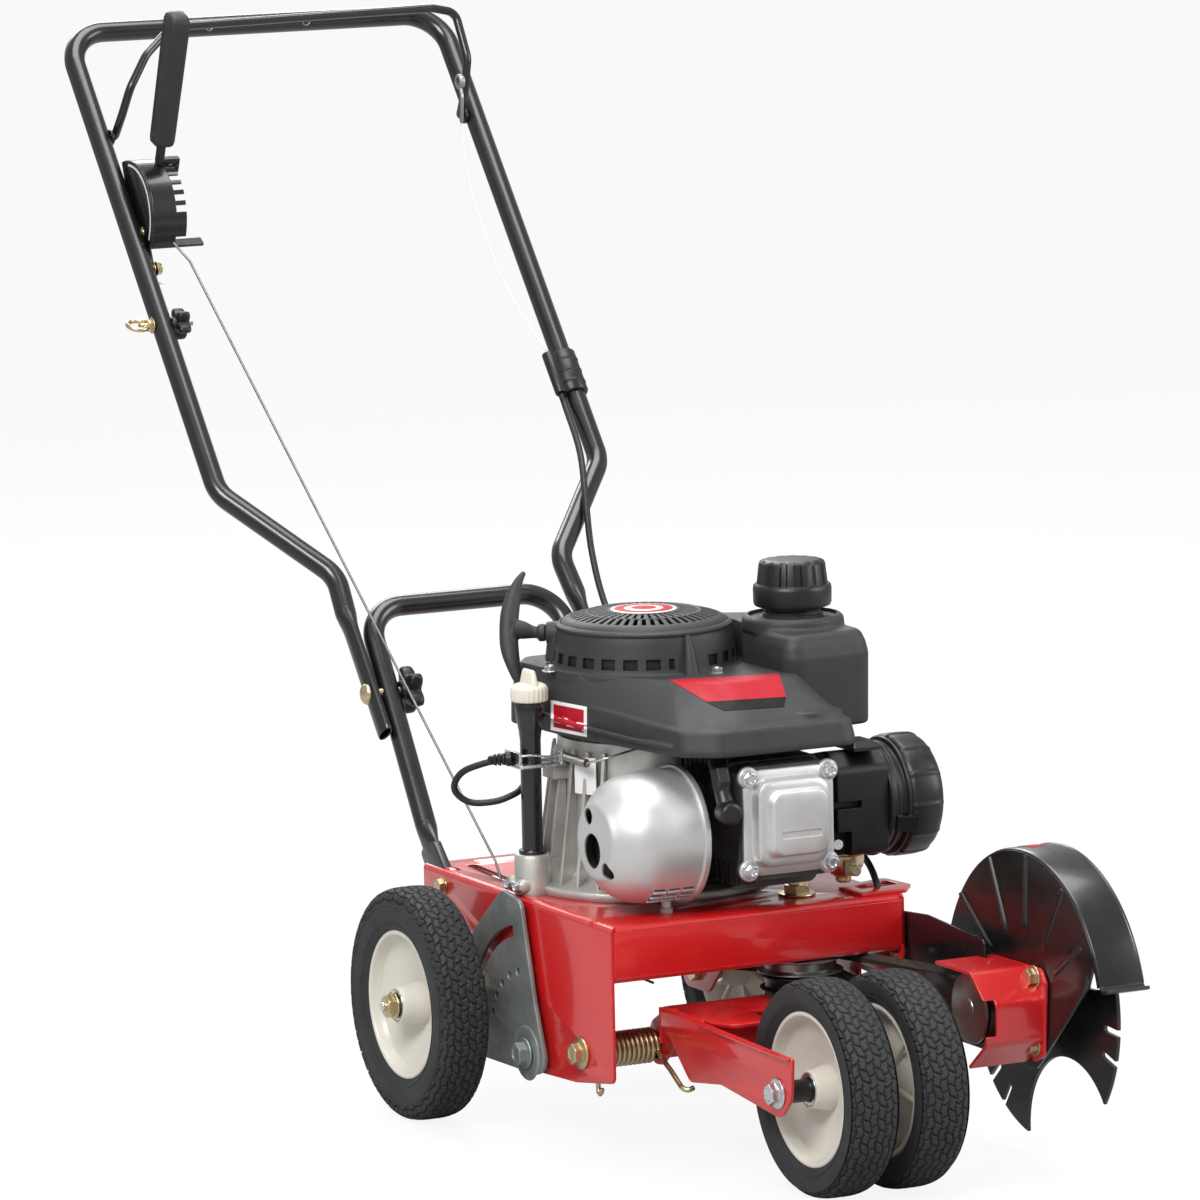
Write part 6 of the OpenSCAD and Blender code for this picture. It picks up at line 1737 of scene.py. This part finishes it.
piece("cable_end_fitting", "galvanised", "bail", [
    lathe([(4.2, 172), (6.6, 172), (7.0, 171.2), (7.0, 167.6), (6.4, 167), (4.2, 167)],
          "x", (0, 566, 850), 28),
    tube(curve([(169.5, 565, 845), (169.5, 562, 836), (169.6, 563, 826), (170, 565, 812)],
               8), 1.9, 14)], smooth=45)
# long control cable down to the deck, past the fold bolts
piece("control_cable_jacket", "cable_jacket",
      ("chassis", "upper_handle", (132, 100, 316), (150, 286, 484)), [
          tube(curve([(177, 384, 574), (177, 373, 560), (165, 322, 525), (152, 286, 484),
                      (148, 268, 440), (146, 240, 396), (140, 180, 350), (132, 100, 316),
                      (128, 30, 294), (138, -30, 276), (160, -120, 250), (168, -190, 232),
                      (164, -229, 212), (160, -236, 190), (130, -215, 178),
                      (108, -200, 172)], 16), 3.0, 18)], "control_cable", smooth=60)


def depth_wire():
    knots = [Vector(p) for p in ((-160, 508, 736), (-164, 504, 733), (-150, 480, 708),
                                 (-84, 6, 217), (-82, -8, 190), (-60, -150, 150),
                                 (-40, -205, 140))]
    path = []
    for a, b in zip(knots, knots[1:]):
        k = max(1, int((b - a).length / 12))
        path += [a.lerp(b, j / k) for j in range(k)]
    return tube(path + [knots[-1]], 1.15, 10)


piece("depth_wire_line", "wire_steel",
      ("chassis", "upper_handle", (-98, 100, 314), (-115, 220, 438)), [depth_wire()],
      "depth_wire", smooth=60)

# ---------------------------------------------------------------- starter grip and cord
piece("starter_cord", "cable_jacket", "starter_grip", [
    tube([by_cord(-70 + 4 * i, 0, 0) for i in range(43)],
         [1.75 + 0.18 * (i % 2) for i in range(43)], 14)], "starter_grip", smooth=60)
grip_path = curve([by_cord(*p) for p in (
    (104.5, -33, 48), (109, -27, 41), (113, -20, 30), (116, -10, 16), (116.8, -1, 2),
    (115.8, 8, -12), (112.5, 15.5, -25), (108.5, 20, -38), (107, 21, -42))])
grip_radii = []
for i in range(len(grip_path)):
    f = i / (len(grip_path) - 1)
    grip_radii.append(lerp(2.2, 8.4, smoothstep(0, 0.42, min(f, 1 - f)) ** 0.8))
neck_path = curve([by_cord(*p) for p in ((88, 0, 0), (96, 0, 0.6), (103, 0, 2),
                                         (112, 0, 4))], 8)
NECK_RADII = [5.2, 5.1, 5.0, 5.0, 5.0, 5.1, 5.2, 5.3, 5.5, 5.7, 5.9, 6.2, 6.4, 6.7, 7.0, 7.3,
              7.5, 7.7, 7.9, 8.0, 8.1, 8.2, 8.3, 8.4, 8.4]
piece("starter_handle", "grip_rubber", "starter_grip", [
    tube(grip_path, grip_radii, 28, cross=[r * 0.82 for r in grip_radii]),
    tube(neck_path, NECK_RADII, 28),
    stand(lathe([(2.2, 0), (7.0, 0), (7.6, 0.8), (7.6, 5.6), (6.8, 6.6), (2.2, 6.6)],
                "z", (0, 0, 0), 36), by_cord(84.8, 0, 0), CORD_DIR)],
    melt=(0.9, 4), smooth=60)

# ---------------------------------------------------------------- blade guard
# section of the guard's band: radius, x
GUARD_BAND = [(130.0, 192.5), (130.0, 231.4), (130.4, 232), (132.4, 232), (133, 231.4),
              (133, 193.4), (132.2, 191.2), (130.6, 190.2), (127, 190), (127, 192.5)]


def guard_shell():
    angles = [-10 + 174 * i / 110 for i in range(111)]
    band = rings([[(x, *polar(GUARD, r, a)) for r, x in GUARD_BAND] for a in angles])
    bead = tube([(230.8, *polar(GUARD, 132.2, a)) for a in angles], 1.5, 12)
    # front lip: the band curls outwards, then runs straight
    c, s = cos(radians(163.6)), sin(radians(163.6))
    lip = []
    for i in range(15):
        f = radians(100 * i / 14)
        out, on_round = 131.5 + 6.0 - 6.0 * cos(f), 6.0 * sin(f)
        lip.append((GUARD[1] + c * out - s * on_round, GUARD[2] + s * out + c * on_round))
    dy, dz = lip[-1][0] - lip[-2][0], lip[-1][1] - lip[-2][1]
    length = hypot(dy, dz)
    lip.append((lip[-1][0] + dy / length * 3.4, lip[-1][1] + dz / length * 3.4))
    section = offset_path(lip, 1.45) + offset_path(lip, -1.45)[::-1]
    curl = rings([[(x, y, z) for y, z in section] for x in (190.6, 231.6)])
    # stiffening bead down the slanted front edge
    front_bead = tube([(189.4, *polar(GUARD, 117, 158.5)), (189.2, *polar(GUARD, 112.5, 162)),
                       (189.2, -516, 141.5), (189.2, -490, 116)], [1.4, 1.9, 1.9, 1.3], 14)
    return [band, bead, curl, front_bead]


def guard_rib(angle):
    c, s = cos(radians(angle)), sin(radians(angle))
    loops = []
    for i in range(13):
        f = i / 12
        y, z = polar(GUARD, lerp(62, 129.5 if angle < 140 else 115, f), angle)
        height = 2.8 * smoothstep(0, 0.1, f) + 0.2
        width = lerp(3.8, 2.7, f)
        # section: share of the height, share of the width
        loops.append([(190.4 - height * k, y - s * width * w, z + c * width * w)
                      for k, w in ((0, -1), (0.62, -0.66), (0.95, -0.3), (0.95, 0.3),
                                   (0.62, 0.66), (0, 1))])
    return rings(loops)


piece("guard_shell", "blade_steel", "chassis", guard_shell(), "blade_guard", bevel=0.5)
plate("guard_side", "blade_steel", "chassis", "x", 190, 193,
      [polar(GUARD, 131.0, a) for a in range(-8, 155, 3)]
      + [polar(GUARD, 128, 155.6), polar(GUARD, 112, 163), (-462, 90), (-455, 84),
         (-442, 82), (-380, 98)],
      holes=[bore(BLADE, 14.6), *(circle(y, z, 4.1, 20) for y, z in GUARD_BOLTS)],
      edge=0.7, smooth=40)
piece("guard_ribs", "blade_steel", "chassis",
      [guard_rib(a) for a in (38, 66, 94, 122, 146)], smooth=60)
piece("guard_label", "decal_red", "chassis", [
    rings([[(x, *polar(GUARD, r, 78 + 10 * i / 12)) for r, x in
            ((133.0, 203), (133.0, 216), (133.35, 216), (133.35, 203))]
           for i in range(13)])])

# ---------------------------------------------------------------- blade and spindle
_, BLADE_Y, BLADE_Z = BLADE
# three scallops leave the star's arms; two slots cut into each arm's end
scallop = collar(70, 205, 225, "x", (0, BLADE_Y + 120, BLADE_Z), 144)
tip_slot = hull([(x, BLADE_Y + 160, BLADE_Z + z) for x in (205, 225) for z in (-3, 3)]
                + [(x, BLADE_Y + 103 + 3 * cos(radians(t)), BLADE_Z + 3 * sin(radians(t)))
                   for x in (205, 225) for t in range(90, 271, 15)])
piece("star_blade", "blade_steel", "blade", [
    lathe([(9.05, 213), (121.6, 213), (122, 213.6), (122, 215.9), (121.6, 216.5),
           (9.05, 216.5)], "x", BLADE, 240)], "blade",
    cuts=[[turn_x(scallop, k * 120 + 250, BLADE) for k in range(3)],
          [turn_x(tip_slot, k * 120 + 190.5 + q * 6.4, BLADE)
           for k in range(3) for q in (-1, 1)]], smooth=35, bevel=0.45, angle=40)
piece("blade_shaft_parts", "shaft_steel", "blade", [
    lathe([(CORE, 140), (8.4, 140), (9, 140.8), (9, 227.2), (8.4, 228), (CORE, 228)],
          "x", BLADE, 48),
    lathe([(9, 196), (13.4, 196), (14, 196.6), (14, 213), (9, 213)], "x", BLADE, 48),
    lathe([(9, 216.5), (14.6, 216.5), (15, 217), (15, 218.6), (14.4, 219), (9, 219)],
          "x", BLADE, 56),
    # belt pulley
    lathe([(8, 141), (28, 141), (30, 142), (30, 144), (23, 147), (23, 153), (30, 156),
           (30, 158), (28, 159), (8, 159)], "x", BLADE, 96),
    *bolt(on(BLADE, 219), FAR, 12, 8, dish=0.8)], "blade_shaft", smooth=35)
wrap = [tuple(v)[1:] for v in bent([(0, -388, 169.5), (0, -447, 169.5), (0, -472.5, 145.5),
                                    (0, -472.5, 113), (0, -443.5, 89.5)], 9, 8)]
wrap_section = offset_path(wrap, 1.5) + offset_path(wrap, -1.5)[::-1]
piece("spindle_bracket_sheet", "red_paint", "chassis", [
    rings([[(x, y, z) for y, z in wrap_section] for x in (132, 189)])], "spindle_bracket",
    cuts=[[box((128, -480, 120), (142, -462, 150)),
           collar(27.1, 183.9, 192, "x", BLADE, 48)]], smooth=35, bevel=0.6, angle=40)
plate("spindle_flange", "red_paint", "chassis", "x", 186.4, 189.4,
      rounded([(-400, 171, 2), (-470, 172, 6), (-478, 160, 6), (-474, 98, 6), (-454, 88, 6),
               (-448, 120, 4), (-448, 150, 4), (-400, 160, 2)], 6),
      holes=[circle(y, z, 4.1, 20) for y, z in GUARD_BOLTS], edge=0.6, smooth=40)
piece("spindle_housing_body", "black_paint", "chassis", [
    lathe([(9.05, 162), (18.4, 162), (19, 162.6), (19, 183.4), (20, 184), (26.4, 184),
           (27, 184.6), (27, 189.3), (26.4, 189.9), (9.05, 189.9)], "x", BLADE, 72),
    box((176.2, -402, BLADE_Z - 12), (189.9, BLADE_Y, BLADE_Z + 12))],
    "spindle_housing", bevel=0.6, smooth=35)
plate("support_plate_sheet", "black_paint", "chassis", "x", 173, 176,
      rounded([(-150, 180, 8), (-300, 192, 10), (-400, 186, 6), (-400, 92, 6),
               (-300, 92, 10), (-262, 120, 10), (-150, 128, 8)], 6),
      holes=[circle(y, z, 4) for y, z in SUPPORT_BOLTS], edge=0.6,
      replaces="support_plate", smooth=40)
piece("support_spacers", "black_paint", "chassis", [
    collar(10, 171, 173, "x", (0, y, z), 36, inner=4) for y, z in SUPPORT_BOLTS], smooth=35)

# lower belt guide: grooved wheel and the ring in its bore
GUIDE_WHEEL = (88, -231, 0)
piece("guide_lower_pulley", "black_plastic", "guide_lower", [
    lathe([(12.2, 126.6), (32.6, 126.5), (34.4, 127.0), (35.0, 127.8), (34.9, 128.2),
           (30.50, 128.9), (30.00, 129.6), (30.00, 137.4), (30.50, 138.1), (34.9, 138.8),
           (35.0, 139.2), (34.4, 140.0), (32.6, 140.5), (12.2, 140.4), (12.0, 139.6),
           (12.0, 127.4)], "z", GUIDE_WHEEL, 96),
    lathe([(6.35, 128.4), (12.4, 128.2), (12.4, 138.8), (6.35, 138.6)],
          "z", GUIDE_WHEEL, 64)], "guide_lower")

# ---------------------------------------------------------------- camera
AZIMUTH, ELEVATION, ROLL = radians(-26.768), radians(8.363), radians(-1.185)
CAMERA_DISTANCE = 6.6065   # metres
CAMERA_TARGET = Vector((0.02012, 0.0, 0.43921)) + SHIFT
scene = bpy.context.scene
camera = bpy.data.cameras.new("camera")
camera_object = bpy.data.objects.new("camera", camera)
scene.collection.objects.link(camera_object)
scene.camera = camera_object
back = Vector((sin(AZIMUTH) * cos(ELEVATION), -cos(AZIMUTH) * cos(ELEVATION),
               sin(ELEVATION)))
forward = -back
level_right = forward.cross(Vector((0, 0, 1))).normalized()
level_up = level_right.cross(forward)
view_right = level_right * cos(ROLL) + level_up * sin(ROLL)
view_up = level_up * cos(ROLL) - level_right * sin(ROLL)
eye = CAMERA_TARGET + back * CAMERA_DISTANCE
camera_object.matrix_world = Matrix(
    [(view_right[i], view_up[i], back[i], eye[i]) for i in range(3)] + [(0, 0, 0, 1)])
camera.sensor_width = 36
camera.lens = 227.15
camera.clip_end = 100

# ---------------------------------------------------------------- blank panels on the shroud
# Corners are mm right and up of the camera's target, square to the view; each panel is
# thrown along the view onto the shroud.
SLOPE_RED = [(60.2045, -69.8023), (156.1827, -64.5672), (162.2904, -84.6353),
             (93.3606, -88.9980)]
SLOPE_BLACK = [(93.3606, -89.3470), (162.2904, -84.9843), (160.5454, -93.3606),
               (108.1936, -96.8507)]
NEAR_FRAME = [(-42.7539, -92.4881), (-11.3429, -98.5958), (-11.3429, -124.7717),
              (-42.7539, -118.6640)]
NEAR_FIELD = [(-40.1363, -95.9782), (-13.9605, -101.2134), (-13.9605, -121.2816),
              (-40.1363, -116.0464)]
PANEL_STEP = 2.6176        # how far a panel moves when part of it misses the shroud


def shroud_panel(name, look, lift, quad, rise, n=18):
    """Thin panel over the shroud; returns False, and makes nothing, if a ray misses."""
    shroud = bpy.data.objects["engine_shroud_shell"]
    bpy.context.view_layer.update()
    top, under = [], []
    for i in range(n + 1):
        for j in range(n + 1):
            u, v = i / n, j / n
            across, up = (lerp(lerp(quad[0][k], quad[1][k], u),
                               lerp(quad[3][k], quad[2][k], u), v) for k in (0, 1))
            ray = (forward + view_right * (across * MM / CAMERA_DISTANCE)
                   + view_up * ((up + rise) * MM / CAMERA_DISTANCE)).normalized()
            found, hit, normal, _ = shroud.ray_cast(eye, ray, distance=20)
            if not found:
                return False
            if normal.dot(ray) > 0:
                normal = -normal
            top.append(tuple((hit + normal * lift * MM - SHIFT) / MM))
            under.append(tuple((hit - normal * 0.3 * MM - SHIFT) / MM))
    row, below = n + 1, (n + 1) * (n + 1)
    faces = []
    for i in range(n):
        for j in range(n):
            a = i * row + j
            b, c, d = a + 1, a + row + 1, a + row
            faces.append((a, b, c, d))
            faces.append((a + below, d + below, c + below, b + below))
    edge = [i * row for i in range(n + 1)] + [n * row + j for j in range(1, n + 1)]
    edge += [i * row + n for i in range(n - 1, -1, -1)] + list(range(n - 1, 0, -1))
    for a, b in zip(edge, edge[1:] + edge[:1]):
        faces.append((a, b, b + below, a + below))
    piece(name, look, "chassis", [(top + under, faces)], smooth=50)
    return True


def lay_panels(tries, step, first, second):
    """Moves a pair of panels until the first lies wholly on the shroud."""
    for k in range(tries):
        if shroud_panel(*first, rise=k * step):
            shroud_panel(*second, rise=k * step)
            break


lay_panels(5, -PANEL_STEP, ("slope_panel_red", "decal_red", 0.35, SLOPE_RED),
           ("slope_panel_black", "decal_black", 0.35, SLOPE_BLACK))
lay_panels(7, PANEL_STEP, ("near_panel_frame", "decal_white", 0.3, NEAR_FRAME),
           ("near_panel_field", "decal_red", 0.55, NEAR_FIELD))

# ---------------------------------------------------------------- the frame's own pieces
node_slots = {part["node"]: part["material_slot"] for part in frame["record"]["subparts"]}
for node_name, obj in frame["nodes"].items():
    obj.data.materials.clear()
    obj.data.materials.append(FINISHES[node_slots.get(node_name, "black_plastic")])
    for face in obj.data.polygons:
        face.use_smooth = True
    obj.data.set_sharp_from_angle(angle=radians(35))
    if not obj.hide_render:
        edge = obj.modifiers.new("round", "BEVEL")
        edge.width = 0.4 * MM
        edge.segments = 2
        edge.limit_method = "ANGLE"
        edge.angle_limit = radians(50)


# ---------------------------------------------------------------- stage
def floor_material():
    """Pale floor: a glowing near white to the camera, mid grey to all other rays."""
    surface = bpy.data.materials.new("floor_pale")
    surface.use_nodes = True
    tree = surface.node_tree
    shader = tree.nodes["Principled BSDF"]
    shader.inputs["Roughness"].default_value = 0.9
    shader.inputs["Specular IOR Level"].default_value = 0.1
    shader.inputs["Emission Color"].default_value = (1, 1, 1, 1)
    noise = add_node(tree, "ShaderNodeTexNoise", {"Scale": 3})
    ramp = add_node(tree, "ShaderNodeValToRGB", {"Fac": noise.outputs["Fac"]})
    for element, grey in zip(ramp.color_ramp.elements, (0.075, 0.085)):
        element.color = (grey, grey, grey, 1)
    light_path = add_node(tree, "ShaderNodeLightPath")
    seen = light_path.outputs["Is Camera Ray"]
    mix = add_node(tree, "ShaderNodeMix", {
        MIX_FACTOR: seen, MIX_A: (0.42, 0.42, 0.42, 1), MIX_B: ramp.outputs["Color"]},
        data_type="RGBA")
    glow = add_node(tree, "ShaderNodeMath", {0: seen, 1: 0.89}, operation="MULTIPLY")
    tree.links.new(mix.outputs[MIX_RESULT], shader.inputs["Base Color"])
    tree.links.new(glow.outputs[0], shader.inputs["Emission Strength"])
    return surface


def studio_world():
    """White surroundings: dimmer as a light than as seen by the camera."""
    world = bpy.data.worlds.new("studio")
    scene.world = world
    world.use_nodes = True
    tree = world.node_tree
    lighting = tree.nodes["Background"]
    lighting.inputs["Color"].default_value = (1.0, 1.0, 1.0, 1)
    lighting.inputs["Strength"].default_value = 0.50
    backdrop = add_node(tree, "ShaderNodeBackground",
                        {"Color": (1.0, 1.0, 1.0, 1), "Strength": 0.965})
    light_path = add_node(tree, "ShaderNodeLightPath")
    mix = add_node(tree, "ShaderNodeMixShader", {
        0: light_path.outputs["Is Camera Ray"], 1: lighting.outputs[0],
        2: backdrop.outputs[0]})
    tree.links.new(mix.outputs[0], tree.nodes["World Output"].inputs[0])


def area_light(name, location, target, width, height, power):
    """Rectangular light aimed at a target; metres and watts."""
    light = bpy.data.lights.new(name, "AREA")
    light.shape = "RECTANGLE"
    light.size = width
    light.size_y = height
    light.energy = power
    obj = bpy.data.objects.new(name, light)
    scene.collection.objects.link(obj)
    obj.location = location
    aim = Vector(target) - Vector(location)
    obj.rotation_euler = aim.to_track_quat("-Z", "Y").to_euler()


FLOOR_HALF = 30000
floor_object = raw("floor", [(-FLOOR_HALF, -FLOOR_HALF, 0), (FLOOR_HALF, -FLOOR_HALF, 0),
                             (FLOOR_HALF, FLOOR_HALF, 0), (-FLOOR_HALF, FLOOR_HALF, 0)],
                   [(0, 1, 2, 3)])
floor_object.location = (0, 0, -0.0004)
floor_object.data.materials.append(floor_material())
studio_world()
area_light("key", location=(-2.6, -2.4, 3.2), target=(0, -0.1, 0.35),
           width=2.0, height=1.4, power=150)
area_light("fill", location=(3.0, -2.2, 1.8), target=(0, -0.1, 0.35),
           width=1.8, height=1.8, power=60)
area_light("top", location=(0.2, 0.2, 3.6), target=(0, 0, 0.3),
           width=2.2, height=2.2, power=90)
area_light("back", location=(0.6, 3.2, 2.4), target=(0, 0.2, 0.5),
           width=2.4, height=1.4, power=60)
scene.view_settings.view_transform = "Standard"
scene.view_settings.look = "None"
